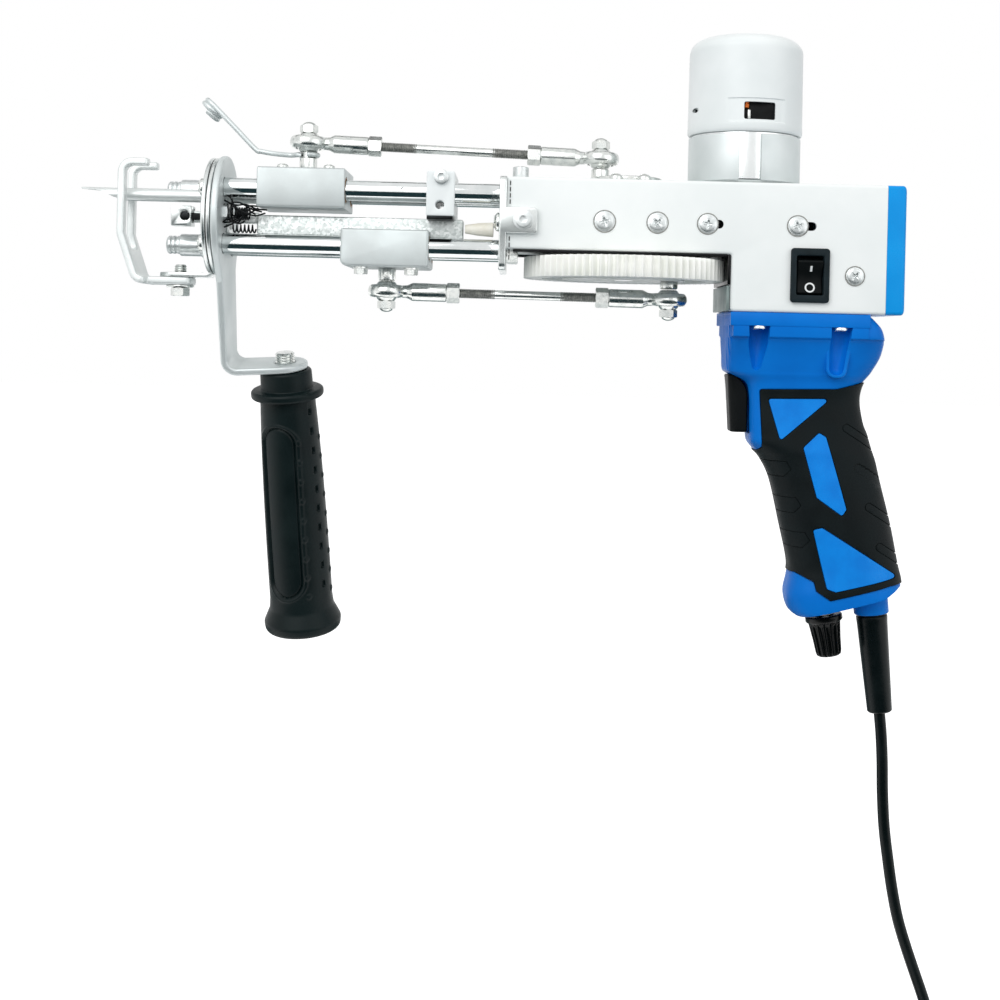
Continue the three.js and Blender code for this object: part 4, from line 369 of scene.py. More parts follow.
# Six-sided nut about Z with its corners turned off by a cone: top = height - (r - half across) * slope.
def hexNut(across, height, bore=0, sides=72):
    angle = (np.arange(sides) / sides * tau) % (tau / 6) - tau / 12
    corner = across / 2 / np.cos(angle)
    fall = (corner - across / 2) * 0.6
    inner = across * 0.46
    rows = [(bore, 0), (inner, 0), (corner, fall), (corner, height - fall), (inner, height), (bore, height)]
    if bore:
        return turned([*rows, rows[0]], sides)
    return turned(rows, sides)


# Screw head about Z, its seat at 0: a domed head with a hexagon or cross recess. The key is the recess's
# share of the radius. A cross arm's edge is the nearer of its end, reach / cos, and its side, reach / sin.
def screwHead(diameter, height, recess, dome, key=0.5, sides=72):
    radius = diameter / 2
    angle = np.arange(sides) / sides * tau
    reach = radius * key
    if recess == "hex":
        edge = reach / np.cos(angle % (tau / 6) - tau / 12)
        floor = edge
    else:
        folded = np.abs((angle + tau / 8) % (tau / 4) - tau / 8)
        edge = np.minimum(reach * 1.35 / np.cos(folded), reach * 0.3 / np.maximum(np.sin(folded), 1e-3))
        floor = edge * 0.55
    level = height - dome
    lip = height * 0.12
    crown = [(radius * math.cos(a), level + dome * math.sin(a)) for a in np.linspace(0.15, 1.1, 6)]
    deep = height * 0.45
    return turned([(0, 0), (radius * 0.96, 0), (radius, lip), *crown, (edge * 1.06, height),
                   (edge, height - 0.05), (floor, deep), (floor * 0.3, deep - 0.1), (0, deep - 0.1)], sides)


finishes = {}


# A piece of the looks: its finish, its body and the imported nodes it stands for.
def showPiece(mesh, name, finish, body, *nodes, sharp=38):
    material, slot = finishes[finish]
    mesh.name = name
    mesh.materials.clear()
    mesh.materials.append(material)
    mesh.polygons.foreach_set("material_index", np.zeros(len(mesh.polygons), np.int32))
    mesh.shade_smooth()
    mesh.set_sharp_from_angle(angle=math.radians(sharp))
    piece = bpy.data.objects.new(name, mesh)
    bpy.context.collection.objects.link(piece)
    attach(piece, body)
    if nodes:
        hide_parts(*nodes)
    return piece


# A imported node's own form with its edges eased, standing for that node.
def dressNode(node, finish, bevel=0.25, segments=2, angle=30):
    mesh = settle(frame["nodes"][node].data.copy(), flat=True)
    if bevel:
        mesh = ease(mesh, bevel, segments, angle)
    return showPiece(mesh, node + "_look", finish, bodyOf[node], node, sharp=40)


# The camera looks along +Y from the needle's side, rolled a little as the photograph is.
view = {"place": (-120, -633, 58), "roll": math.atan(0.0244), "lens": 56.95, "shift": (-0.025, -0.162)}
lens = bpy.data.cameras.new("camera")
lens.lens, lens.sensor_width = view["lens"], 36
lens.shift_x, lens.shift_y = view["shift"]
lens.clip_start, lens.clip_end = 0.01, 50
camera = bpy.data.objects.new("camera", lens)
cosine, sine = math.cos(view["roll"]), math.sin(view["roll"])
camera.matrix_world = Matrix(((cosine, -sine, 0, view["place"][0] * mm), (0, 0, -1, view["place"][1] * mm),
                              (sine, cosine, 0, view["place"][2] * mm), (0, 0, 0, 1)))
bpy.context.collection.objects.link(camera)
bpy.context.scene.camera = camera
bpy.context.scene.view_settings.view_transform = "Standard"


# A finish from its settings: two tones in soft blotches, fine grain in gloss and bump, and what is special.
def makeFinish(name, slot, look):
    material = bpy.data.materials.new(name)
    material.use_nodes = True
    tree = material.node_tree
    tree.nodes.clear()
    place = addNode(tree, "TexCoord", {}).outputs["Object"]
    blotch = addNode(tree, "TexNoise", {"Vector": place, "Scale": 1 / (look["blotch"] * mm), "Detail": 3.0})
    share = addNode(tree, "MapRange", {"Value": blotch.outputs[0], "From Min": 0.38, "From Max": 0.62})
    colour = addNode(tree, "Mix", {0: share.outputs[0], 6: look["tones"][0], 7: look["tones"][1]},
                     data_type="RGBA").outputs[2]
    stretched = addNode(tree, "Mapping", {"Vector": place, "Scale": look.get("stretch", (1, 1, 1))})
    grain = addNode(tree, "TexNoise", {"Vector": stretched.outputs[0], "Scale": 1 / (look["grain"] * mm),
                                       "Detail": 2.0, "Roughness": 0.55}).outputs[0]
    height, depth = grain, look["depth"]
    gloss = addNode(tree, "Math", {0: grain, 1: blotch.outputs[0]}, operation="ADD")
    rough = addNode(tree, "MapRange", {"Value": gloss.outputs[0], "From Min": 0.75, "From Max": 1.25,
                                       "To Min": look["rough"][0], "To Max": look["rough"][1]}).outputs[0]
    if "spangle" in look:
        cells = addNode(tree, "TexVoronoi", {"Vector": place, "Scale": 1 / (look["spangle"] * mm)})
        pick = addNode(tree, "SeparateColor", {"Color": cells.outputs["Color"]})
        colour = addNode(tree, "Mix", {0: pick.outputs[0], 6: look["tones"][0], 7: look["tones"][1]},
                         data_type="RGBA").outputs[2]
        rough = addNode(tree, "MapRange", {"Value": pick.outputs[1], "To Min": look["rough"][0],
                                           "To Max": look["rough"][1]}).outputs[0]
    if "lines" in look:
        pitch, axis, depth = look["lines"]
        wave = addNode(tree, "TexWave", {"Vector": place, "Scale": 1 / (pitch * mm * 20) * tau / 2,
                                         "Distortion": 0.0, "Detail": 0.0},
                       bands_direction=axis, wave_profile="TRI")
        height = wave.outputs["Fac"]
    if "specks" in look:
        code, size, limit = look["specks"]
        spots = addNode(tree, "TexNoise", {"Vector": place, "Scale": 1 / (size * mm), "Detail": 4.0})
        cover = addNode(tree, "MapRange", {"Value": spots.outputs[0], "From Min": limit,
                                           "From Max": limit + 0.06})
        colour = addNode(tree, "Mix", {0: cover.outputs[0], 6: colour, 7: code}, data_type="RGBA").outputs[2]
    bump = addNode(tree, "Bump", {"Height": height, "Distance": depth * mm, "Strength": 0.6})
    shader = addNode(tree, "BsdfPrincipled", {
        "Base Color": colour, "Roughness": rough, "Metallic": look.get("metallic", 0.0),
        "Normal": bump.outputs[0], "Specular IOR Level": look.get("specular", 0.5)})
    addNode(tree, "OutputMaterial", {"Surface": shader.outputs[0]})
    finishes[name] = material, slot


# White powder coat: faint orange peel breaks its soft sheen.
makeFinish("powderCoat", "white_paint", {
    "tones": ("#F4F7F6", "#EEF2F1"), "blotch": 30, "rough": (0.36, 0.5), "grain": 1.1, "depth": 0.02,
    "specular": 0.35})
# White lacquer of the motor's cap, a little greyer and glossier.
makeFinish("whiteLacquer", "white_paint", {
    "tones": ("#EFF3F3", "#E8EDED"), "blotch": 26, "rough": (0.3, 0.42), "grain": 0.9, "depth": 0.012,
    "specular": 0.4})
# Light blue gloss moulding of the rear cap.
makeFinish("glossBlue", "light_blue_plastic", {
    "tones": ("#0C9CEA", "#0693E2"), "blotch": 20, "rough": (0.24, 0.36), "grain": 0.5, "depth": 0.006,
    "specular": 0.14})
# Strong blue satin moulding of the grip, with a fine spark-eroded grain.
makeFinish("satinBlue", "blue_plastic", {
    "tones": ("#0679DA", "#0370CF"), "blotch": 24, "rough": (0.32, 0.46), "grain": 0.35, "depth": 0.02,
    "specular": 0.1})
# Zinc-plated steel sheet: pale, slightly cloudy, with rolling lines.
makeFinish("zincSteel", "zinc_plated_steel", {
    "tones": ("#E0E4E3", "#D2D7D6"), "blotch": 7, "rough": (0.24, 0.36), "grain": 0.4, "depth": 0.006,
    "metallic": 1.0, "stretch": (1, 1, 6)})
# Plated hardware: bright screws and nuts.
makeFinish("plated", "zinc_plated_steel", {
    "tones": ("#E2E4E1", "#CFD3D1"), "blotch": 2, "rough": (0.16, 0.3), "grain": 0.3, "depth": 0.003,
    "metallic": 1.0})
# Satin zinc of the screws on the panels and the shafts' collars.
makeFinish("satinZinc", "zinc_plated_steel", {
    "tones": ("#D9DDDD", "#C9CECE"), "blotch": 2, "rough": (0.3, 0.42), "grain": 0.3, "depth": 0.004,
    "metallic": 0.85})
# Ground and chromed shafts: fine rings from grinding.
makeFinish("groundSteel", "polished_shaft", {
    "tones": ("#E4E7E7", "#D5DADA"), "blotch": 12, "rough": (0.07, 0.14), "grain": 0.25, "depth": 0.0012,
    "metallic": 1.0, "stretch": (6, 0.4, 0.4)})
# Satin aluminium of the carriages: matt, blasted, with a light cloud.
makeFinish("satinAluminium", "satin_aluminium", {
    "tones": ("#C6CDCD", "#BFC5C5"), "blotch": 14, "rough": (0.42, 0.54), "grain": 0.3, "depth": 0.01,
    "metallic": 0.6, "specks": ("#B9C1C1", 1.6, 0.74)})
# Hot-dip galvanised bar: spangle of crystals in many greys.
makeFinish("spangled", "galvanised_steel", {
    "tones": ("#F2F6F5", "#BDC5C3"), "blotch": 4, "spangle": 0.9, "rough": (0.3, 0.5), "grain": 0.3,
    "depth": 0.01, "metallic": 0.8})
# Pale zinc of the foot, nearly white and matt.
makeFinish("paleZinc", "pale_zinc", {
    "tones": ("#E6EAE9", "#DDE2E1"), "blotch": 12, "rough": (0.36, 0.48), "grain": 0.4, "depth": 0.008,
    "metallic": 0.5})
# Sintered bronze of the bushes.
makeFinish("bronze", "bronze_bush", {
    "tones": ("#B98A52", "#94693A"), "blotch": 2, "rough": (0.32, 0.5), "grain": 0.25, "depth": 0.01,
    "metallic": 1.0})
# Black oxide of the blade, its spring and the wires; the same black paints shade between the flange discs and
# under the brace.
makeFinish("blackOxideAndShade", "black_steel", {
    "tones": ("#1A1D1F", "#0F1112"), "blotch": 2, "rough": (0.26, 0.42), "grain": 0.3, "depth": 0.006,
    "metallic": 0.8})
# White nylon of the gear and pinion, a little warm.
makeFinish("nylon", "white_nylon", {
    "tones": ("#FCFCF8", "#F4F5EF"), "blotch": 9, "rough": (0.36, 0.52), "grain": 0.6, "depth": 0.01})
# Cream plastic of the small cone in front of the plate.
makeFinish("creamPlastic", "white_plastic", {
    "tones": ("#F4F1E6", "#EAE5D6"), "blotch": 5, "rough": (0.4, 0.55), "grain": 0.4, "depth": 0.01})
# Print on the switch.
makeFinish("whitePrint", "white_plastic", {
    "tones": ("#EDEFEF", "#E3E6E6"), "blotch": 1, "rough": (0.5, 0.6), "grain": 0.2, "depth": 0.002})
# Matt zinc, even and light, of the band round the motor's can, the handle's strip and the yarn guide.
makeFinish("bandZinc", "motor_can", {
    "tones": ("#D5DBDB", "#CCD3D3"), "blotch": 20, "rough": (0.46, 0.56), "grain": 0.5, "depth": 0.004,
    "metallic": 0.6})
# Pale zinc of the sheet behind the gear, darkened to grey-green: painted shade.
makeFinish("shadedPaleZinc", "pale_zinc", {
    "tones": ("#7F8D8B", "#6F7D7B"), "blotch": 8, "rough": (0.4, 0.55), "grain": 0.6, "depth": 0.01,
    "metallic": 0.3})
# Deep-drawn steel can: bright, with fine rings.
makeFinish("drawnSteel", "motor_can", {
    "tones": ("#E4E7E7", "#D9DDDD"), "blotch": 14, "rough": (0.2, 0.3), "grain": 0.5, "depth": 0.003,
    "metallic": 1.0, "stretch": (0.3, 0.3, 5)})
# Enamelled copper wire of the winding.
makeFinish("copperWire", "copper_winding", {
    "tones": ("#C06A34", "#9E4F22"), "blotch": 2, "rough": (0.26, 0.4), "grain": 0.4, "depth": 0.1,
    "metallic": 1.0, "lines": (0.5, "Z", 0.12)})
# Glossy black plastic of the knob, the plug, the tie and the rods' seats; the same black paints shade in the
# gap behind the gear.
makeFinish("glossBlackAndShade", "black_plastic", {
    "tones": ("#030505", "#050708"), "blotch": 6, "rough": (0.18, 0.3), "grain": 0.5, "depth": 0.004,
    "specular": 0.2})
# Slate black of the switch: matt, lighter than the rest.
makeFinish("slateBlack", "black_plastic", {
    "tones": ("#182429", "#131E22"), "blotch": 5, "rough": (0.4, 0.5), "grain": 0.4, "depth": 0.01,
    "specular": 0.14})
# Satin black moulding of the trigger.
makeFinish("satinBlack", "black_plastic", {
    "tones": ("#060A0B", "#090D0E"), "blotch": 5, "rough": (0.4, 0.52), "grain": 0.4, "depth": 0.008,
    "specular": 0.1})
# Bright blue of the raised windows in the grip.
makeFinish("windowBlue", "light_blue_plastic", {
    "tones": ("#0C86E4", "#087CDA"), "blotch": 9, "rough": (0.3, 0.42), "grain": 0.4, "depth": 0.006,
    "specular": 0.14})
# Rolled threads, darker than the bar; the same grey paints a ring of shade round each panel screw.
makeFinish("rolledThreadAndShade", "zinc_plated_steel", {
    "tones": ("#9A9B97", "#7E807D"), "blotch": 1.2, "rough": (0.35, 0.5), "grain": 0.3, "depth": 0.004,
    "metallic": 0.9})
# Dark board seen in the motor's window; the same dark paints shade in strips under the slim part and in the
# gaps between the housing and the plate.
makeFinish("darkBoardAndShade", "black_plastic", {
    "tones": ("#0B0E10", "#060809"), "blotch": 3, "rough": (0.4, 0.6), "grain": 0.5, "depth": 0.02,
    "specular": 0.15})
# Moulded rubber of the grip: matt, with a fine eroded grain.
makeFinish("rubber", "black_rubber", {
    "tones": ("#070F11", "#0B1416"), "blotch": 12, "rough": (0.46, 0.62), "grain": 0.4, "depth": 0.03,
    "specular": 0.12})
# Denser rubber of the front handle: a green-black sheen.
makeFinish("handleRubber", "black_rubber", {
    "tones": ("#061314", "#0A1819"), "blotch": 14, "rough": (0.36, 0.5), "grain": 0.4, "depth": 0.02,
    "specular": 0.16})
# Smooth PVC of the cord and its relief.
makeFinish("cordPvc", "black_rubber", {
    "tones": ("#060E0F", "#091213"), "blotch": 14, "rough": (0.26, 0.38), "grain": 0.7, "depth": 0.008,
    "specular": 0.16})
print("finishes", len(finishes))

# Cord: a free run down from the relief, then the coil's turns, in, over and out again, and the plug.
cordLook = {
    "radius": 2.25, "pitch": 5.8, "layerTurns": 3.75, "outer": 37.875, "centre": (14.725, -244.8), "tail": 4.5,
    "route": [(25.4, 0, -88.5), (26.3, 0, -97), (27.0, 0, -108), (27.4, 0, -120), (28.4, 0, -134),
              (30.3, 0, -147.5), (32.2, 0, -159), (34.7, 0, -170.5), (38.0, 0, -181), (41.6, 0, -191),
              (45.4, -0.4, -201.5), (48.8, -1.2, -212), (51.2, -2.2, -222), (52.4, -2.8, -232),
              (52.6, -2.9, -240.3)],
}


# Coil in the XZ plane: radius = outer - pitch * turns gone inwards, y = side * -cos(pi * climb).
def coilPoints(look, perTurn=40):
    layer, side = look["layerTurns"], look["pitch"] / 2
    total = 2 * layer + 0.5
    turn = np.linspace(0, total, round(total * perTurn) + 1)
    climb = np.clip((turn - layer) / 0.5, 0, 1)
    inward = np.where(turn < layer, turn, layer - np.maximum(turn - layer - 0.5, 0))
    radius = look["outer"] - look["pitch"] * inward
    x = look["centre"][0] + radius * np.cos(turn * tau)
    z = look["centre"][1] - radius * np.sin(turn * tau)
    return np.stack([x, -side * np.cos(climb * math.pi), z], -1)


coil = coilPoints(cordLook)
cordEnd = coil[-1] - (0, 0, cordLook["tail"])
cordPath = np.vstack([smoothRun(cordLook["route"], 4), coil, cordEnd])
cord = showPiece(swept(cordPath, cordLook["radius"], 20), "cord_run", "cordPvc", "frame", "cord", "cord_coil")
plugTop = shift(cordEnd[0], cordEnd[1], span("plug")[1][2])
plugRows = profile([(0, -33), (5, -33), (5, -14.9), (3.6, -13.2), (3, 0), (0, 0)], [0, 1.2, 2, 2, 0.6, 0], 5)
plug = showPiece(put(turned(plugRows, 40), plugTop), "plug_body", "glossBlackAndShade", "frame", "plug")
barrelRows = [(0, -33.1), (0, -34.9), (1.4, -35), (1.4, -42.4), (1.6, -42.5), (2.5, -42.5), (2.75, -42.2),
              (2.75, -33.1)]
barrel = showPiece(put(turned(barrelRows, 40), plugTop), "plug_tip", "plated", "frame", "plug_barrel")
tie = dressNode("cord_tie", "glossBlackAndShade", 0.3)

# Soft daylight from the world, one broad lamp above the camera's left, a white floor, and dark cloths that
# only mirrors see: they draw the dark bands on the chromed shafts.
studio = {
    "world": 0.72, "floorZ": -292.3, "floorReach": 9000, "aim": (-120, 0, 60),
    "lamps": {"key": ((-520, -900, 620), 900, 6.6), "fill": ((600, -700, 260), 800, 1.6)},
    "cloths": {
        "front": ([(-900, -200, -292), (700, -200, -292), (700, -950, -292), (-900, -950, -292)], "#24383C"),
        "rise": ([(-900, -900, -292), (700, -900, -292), (700, -960, -30), (-900, -960, -30)], "#24383C"),
        "back": ([(-900, 200, -291), (700, 200, -291), (700, 950, -291), (-900, 950, -291)], "#7C8C8E"),
        "ceiling": ([(-900, 250, 700), (700, 250, 700), (700, 450, 700), (-900, 450, 700)], "#202628"),
    },
}
world = bpy.data.worlds.new("world")
bpy.context.scene.world = world
world.use_nodes = True
sky = world.node_tree
sky.nodes.clear()
ray = addNode(sky, "LightPath", {})
seen = addNode(sky, "Math", {0: ray.outputs["Is Camera Ray"], 1: ray.outputs["Is Glossy Ray"]}, operation="ADD")
bright = addNode(sky, "Math", {0: seen.outputs[0], 1: ray.outputs["Is Transmission Ray"]}, operation="ADD",
                 use_clamp=True)
power = addNode(sky, "MapRange", {"Value": bright.outputs[0], "To Min": studio["world"], "To Max": 1.0})
glow = addNode(sky, "Background", {"Color": "#FFFFFF", "Strength": power.outputs[0]})
addNode(sky, "OutputWorld", {"Surface": glow.outputs[0]})


# Flat sheet of the studio with a plain colour of its own light, or a white that takes shadows.
def stageSheet(name, corners, code, hidden):
    sheet = buildMesh(name, corners, np.arange(4)[None])
    material = bpy.data.materials.new(name)
    material.use_nodes = True
    tree = material.node_tree
    tree.nodes.clear()
    if hidden:
        shader = addNode(tree, "Emission", {"Color": code, "Strength": 1.0})
    else:
        ray = addNode(tree, "LightPath", {})
        direct = addNode(tree, "Math", {0: ray.outputs["Is Camera Ray"], 1: ray.outputs["Is Glossy Ray"]},
                         operation="ADD", use_clamp=True)
        matt = addNode(tree, "BsdfDiffuse", {"Color": code})
        light = addNode(tree, "Emission", {"Color": code, "Strength": 0.55})
        bright = addNode(tree, "AddShader", {0: matt.outputs[0], 1: light.outputs[0]})
        dull = addNode(tree, "BsdfDiffuse", {"Color": "#9AA2A6"})
        shader = addNode(tree, "MixShader", {0: direct.outputs[0], 1: dull.outputs[0], 2: bright.outputs[0]})
    addNode(tree, "OutputMaterial", {"Surface": shader.outputs[0]})
    sheet.materials.append(material)
    holder = bpy.data.objects.new(name, sheet)
    bpy.context.collection.objects.link(holder)
    if hidden:
        holder.visible_camera = holder.visible_shadow = holder.visible_diffuse = False
    holder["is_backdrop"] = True


far, level = studio["floorReach"], studio["floorZ"]
floor = [(-far, -far, level), (far, -far, level), (far, far, level), (-far, far, level)]
stageSheet("floor", floor, "#FFFFFF", False)
for name, (corners, code) in studio["cloths"].items():
    stageSheet("cloth_" + name, corners, code, True)
for name, (place, size, watts) in studio["lamps"].items():
    lamp = bpy.data.lights.new(name, "AREA")
    lamp.size, lamp.energy = size * mm, watts
    holder = bpy.data.objects.new(name, lamp)
    holder.location = [v * mm for v in place]
    aim = Vector(studio["aim"]) - Vector(place)
    holder.rotation_euler = aim.to_track_quat("-Z", "Y").to_euler()
    bpy.context.collection.objects.link(holder)
print("studio")

# Axes that several pieces share: the four shafts, the crank and the motor.
shaftSides = {"near": -9.5, "far": 9.5}
shaftLevels = {"lower": 92.4, "upper": 114.4}
shaftPlaces = [(y, z) for y in shaftSides.values() for z in shaftLevels.values()]
crankX, motorX = -81.2, -34.2

# Housing: a slim part over the gear and a deep part over the grip, of sheet with rounded long edges. Holes
# and slots of the near side take the screws, and a hole in the rear part takes the switch.
housing = {
    "side": 23, "front": -128.2, "back": 18.7, "step": -41.1, "top": 120.3, "bottom": 92.2, "deep": 70.2,
    "sheet": 1.5, "edge": 1.3, "level": 103.7, "holes": (-90.4, -70.0), "hole": 1.7,
    "slots": (-51.7, -15.9), "slot": (-1.7, 7.3, -1.7, 1.7, 1.68), "crankBore": 7, "motorBore": 6.5,
    "switch": (-17.0, -4.8, 75.4, 94.0), "pinionGap": (-12, 12, 80.4, 91.8), "nut": (4.95, 5.2),
}


# Outline of the housing in the side view, moved in by the sheet and past its open ends.
def housingView(inset, overrun):
    h = housing
    return rounded([(h["front"] - overrun, h["bottom"] + inset), (h["step"] + inset, h["bottom"] + inset),
                    (h["step"] + inset, h["deep"] + inset), (h["back"] + overrun, h["deep"] + inset),
                    (h["back"] + overrun, h["top"] - inset), (h["front"] - overrun, h["top"] - inset)],
                   [0, 0.8, 1.6, 0, 0, 0])


# Shell between an outer and an inner prism, cut to its ends, then drilled.
def buildHousing():
    h = housing
    side = h["side"]
    shell = put(plate([housingView(0, 4)], 2 * side, h["edge"], 3), sideOn)
    inside = put(plate([housingView(h["sheet"], 9)], 2 * (side - h["sheet"]), 0), sideOn)
    keep = block(h["front"], h["back"], -side - 1, side + 1, h["deep"] - 1, h["top"] + 1)
    shell = carve(shell, keep, operation="INTERSECT")
    punch = lambda view, x: put(plate([view], 8, 0), shift(x, -side, h["level"]) @ sideOn)
    holes = [punch(circle(h["hole"], count=40), x) for x in h["holes"]]
    slots = [punch(rectangle(*h["slot"]), x) for x in h["slots"]]
    bores = [put(dowel(h["crankBore"], -12, 12), shift(crankX, 0, 106)),
             put(dowel(h["motorBore"], -12, 12), shift(motorX, 0, 118))]
    x0, x1, z0, z1 = h["switch"]
    switchHole = block(x0, x1, -side - 2, -side + 8, z0, z1)
    pinionGap = block(h["step"] - 1, h["step"] + 2.6, *h["pinionGap"])
    nuts = [put(dowel(h["nut"][0], 0, h["nut"][1], 32), shift(-129, y, z) @ spin(90, "Y"))
            for y, z in shaftPlaces]
    return carve(shell, inside, *holes, *slots, *bores, switchHole, pinionGap, *nuts)


showPiece(buildHousing(), "housing_shell", "powderCoat", "frame", "housing", sharp=30)

# Rear cap: rings of a rounded rectangle that draw in towards the back along a quarter round.
rearCap = {"start": 18.8, "length": 7.4, "round": 1.5, "corner": 1.4}
cap = rearCap
turnIn = np.linspace(0, 1, 9) * math.pi / 2
capRings = [(cap["start"], 0.0), *zip(cap["start"] + cap["length"] - cap["round"] * (1 - np.sin(turnIn)),
                                      cap["round"] * (1 - np.cos(turnIn)))]
rings = [np.insert(rectangle(inset - housing["side"], housing["side"] - inset, housing["deep"] + inset,
                             housing["top"] - inset, cap["corner"]), 0, x, axis=1) for x, inset in capRings]
showPiece(lofted(rings), "rear_cap_shell", "glossBlue", "frame", "rear_cap", sharp=50)

# Plate behind the shafts, with the ear folded along the panel.
shaftPlate = {"side": 25.8, "low": 84.0, "high": 120.3, "front": -131.0, "thickness": 2.7, "round": 2.6,
              "edge": 0.4, "bore": 2.9, "earLow": 98.3, "earHigh": 108.3, "earEnd": -116.3, "earY": -24.45}
p = shaftPlate
plateView = [rectangle(-p["side"], p["side"], p["low"], p["high"], p["round"]),
             *[circle(p["bore"], place, 32) for place in shaftPlaces]]
rear = put(plate(plateView, p["thickness"], p["edge"]), shift(p["front"] + p["thickness"] / 2, 0, 0) @ endOn)
earView = rectangle(p["front"], p["earEnd"], p["earLow"], p["earHigh"], [0.6, 1.5, 1.5, 0.6])
ear = put(plate([earView], p["thickness"], p["edge"]), shift(0, p["earY"], 0) @ sideOn)
showPiece(carve(rear, ear, operation="UNION"), "shaft_plate_sheet", "zincSteel", "frame", "shaft_plate",
          sharp=30)
print("housing")

# Four guide shafts: ground bar, thread and nut behind, a socket screw in front on the near ones and a grooved
# collar on the far ones. Rows are radius and distance forward.
shafts = {
    "radius": 4, "thread": 2.5, "neck": 2, "threadEnd": 123.6, "plate": 131.0, "flange": 244.5, "end": 246.5,
    "nut": (8, 4.5, 2.4), "nutX": -128.2, "dent": (-169.5, -13.2, 115.2),
    "collar": [(2, 246.5), (5.0, 246.5), (5.0, 251.5), (4.5, 252.2), (4.5, 260.6), (3.7, 260.6), (3.7, 261.7),
               (3.2, 262.1), (3.7, 262.5), (3.7, 263.5), (3.2, 263.9), (3.7, 264.3), (3.7, 265.2), (3.0, 266),
               (0, 266)],
    "collarRounds": [0, 0.5, 0.5, 0.3, 0.7, 0.2, 0.3, 0.2, 0.2, 0.3, 0.2, 0.2, 0.4, 0.4, 0],
}
s = shafts
bar = profile([(0, s["threadEnd"]), (s["thread"], s["threadEnd"]), (s["thread"], s["plate"]),
               (s["radius"], s["plate"]), (s["radius"], s["flange"]), (s["neck"], s["flange"]),
               (s["neck"], s["end"]), (0, s["end"])], [0, 0.5, 0, 0.5, 0.3, 0, 0, 0])
collar = [(0, s["end"]), *profile(s["collar"], s["collarRounds"])]
for level in ("upper", "lower"):
    for side, y in shaftSides.items():
        z = shaftLevels[level]
        place = shift(0, y, z) @ forward
        node = f"{level}_shaft_{side}"
        rod = put(turned(bar, 64), place)
        if node == "upper_shaft_near":
            dent = turned([(0, -2), (0.5, -2), (0.9, 2.5), (0, 2.5)], 24)
            rod = carve(rod, put(dent, shift(*s["dent"]) @ nearward))
        showPiece(rod, node + "_bar", "groundSteel", "frame", node)
        nut = put(hexNut(*s["nut"]), shift(s["nutX"], y, z) @ spin(90, "Y"))
        showPiece(nut, node + "_nut", "plated", "frame")
        if side == "near":
            screw = put(screwHead(7, 3.4, "hex", 1.3), shift(-s["end"], y, z) @ forward)
            showPiece(screw, node + "_screw", "plated", "frame")
        else:
            showPiece(put(turned(collar, 56), place), node + "_collar", "satinZinc", "frame")
print("shafts")

# Flange discs with their shared window, the tab that carries the foot, and black rings of painted shade in the
# gaps between the discs.
# The tab is flat at first: x across, y from inside the disc down to the fold and on to its round end.
flange = {
    "z": 103.4, "radius": 23.5, "thickness": 1.8, "edge": 0.75, "middleX": -243.6, "frontX": -245.5,
    "window": (-4.9, 4.9, 96.04, 116.5), "bore": 4.25, "screwBore": 2.3, "smallHole": (7.3, 121.1),
    "tab": (6.5, -6, 29.1), "tabHole": 21.1, "tabFold": (7.1, 1.9, 90), "tabZ": 88.9, "gaps": (-244.55, -242.6),
}
f = flange
disc = circle(f["radius"], (0, f["z"]), 160)
windowView = rectangle(*f["window"], 0.8, 3)
middleView = [disc, windowView, *[circle(f["bore"], place, 48) for place in shaftPlaces]]
middle = put(plate(middleView, f["thickness"], f["edge"], 4), shift(f["middleX"], 0, 0) @ endOn)
showPiece(middle, "flange_middle", "zincSteel", "frame", "flange_plate", sharp=30)
faceView = [disc, windowView, *[circle(f["screwBore"], place, 32) for place in shaftPlaces],
            circle(0.8, f["smallHole"], 20)]
face = put(plate(faceView, f["thickness"], f["edge"], 4), shift(f["frontX"], 0, 0) @ endOn)
wide, tabTop, tabEnd = f["tab"]
tabView = rounded([(-wide, tabTop), (wide, tabTop), (wide, tabEnd), (-wide, tabEnd)], [0, 0, 6.4, 6.4], 16)
tab = bend(plate([tabView, circle(2.8, (0, f["tabHole"]), 40)], f["thickness"], 0.3), [f["tabFold"]])
tab = put(tab, shift(f["frontX"], 0, f["tabZ"])
          @ Matrix(((0, 0, -1, 0), (1, 0, 0, 0), (0, -1, 0, 0), (0, 0, 0, 1))))
showPiece(carve(face, tab, operation="UNION"), "flange_face", "zincSteel", "frame", "flange_front", sharp=30)
# Thin black rings: painted shade in the crevices between the discs.
gaps = merge(*[put(sleeve(19.2, 23.2, -0.13, 0.13, 120), shift(x, 0, f["z"]) @ forward) for x in f["gaps"]])
showPiece(gaps, "flange_gap_shade", "blackOxideAndShade", "frame")

# Handle bracket: third disc that narrows to a strip, bent twice, swung 12 degrees about the flange's axis.
bracket = {
    "swing": 12, "rise": 3.4, "drop": 61.5, "knee": 2.23, "reach": 23, "disc": 24.3, "shoulder": (14, 24),
    "half": 10.8, "narrowAt": 66, "endAt": 80.35, "hole": (4.2, 82.15), "thickness": 2.8, "edge": 0.9,
    "folds": [(23.35, 5, 1.1), (56.3, 5, 92.3)], "x": -242.6, "middleX": -241,
    "smallScrew": (-246.4, 11.6, 89.3),
}
b = bracket
(wide, shoulder), half, narrow = b["shoulder"], b["half"], b["narrowAt"]
swungDisc = [(b["disc"] * math.sin(a), -b["disc"] * math.cos(a)) for a in np.linspace(-2.2, 2.2, 110)]
roundEnd = [(half * math.cos(a), b["endAt"] + half * math.sin(a)) for a in np.linspace(0, math.pi, 41)]
bracketView = np.array([*swungDisc, (wide, shoulder), (half, narrow), *roundEnd, (-half, narrow),
                        (-wide, shoulder)])
bracketHole = circle(b["hole"][0], (0, b["hole"][1]), 48)
sheet = bend(plate([bracketView, bracketHole], b["thickness"], b["edge"], 4), b["folds"])
bracketMatrix = shift(b["x"], 0, f["z"]) @ spin(b["swing"], "X")
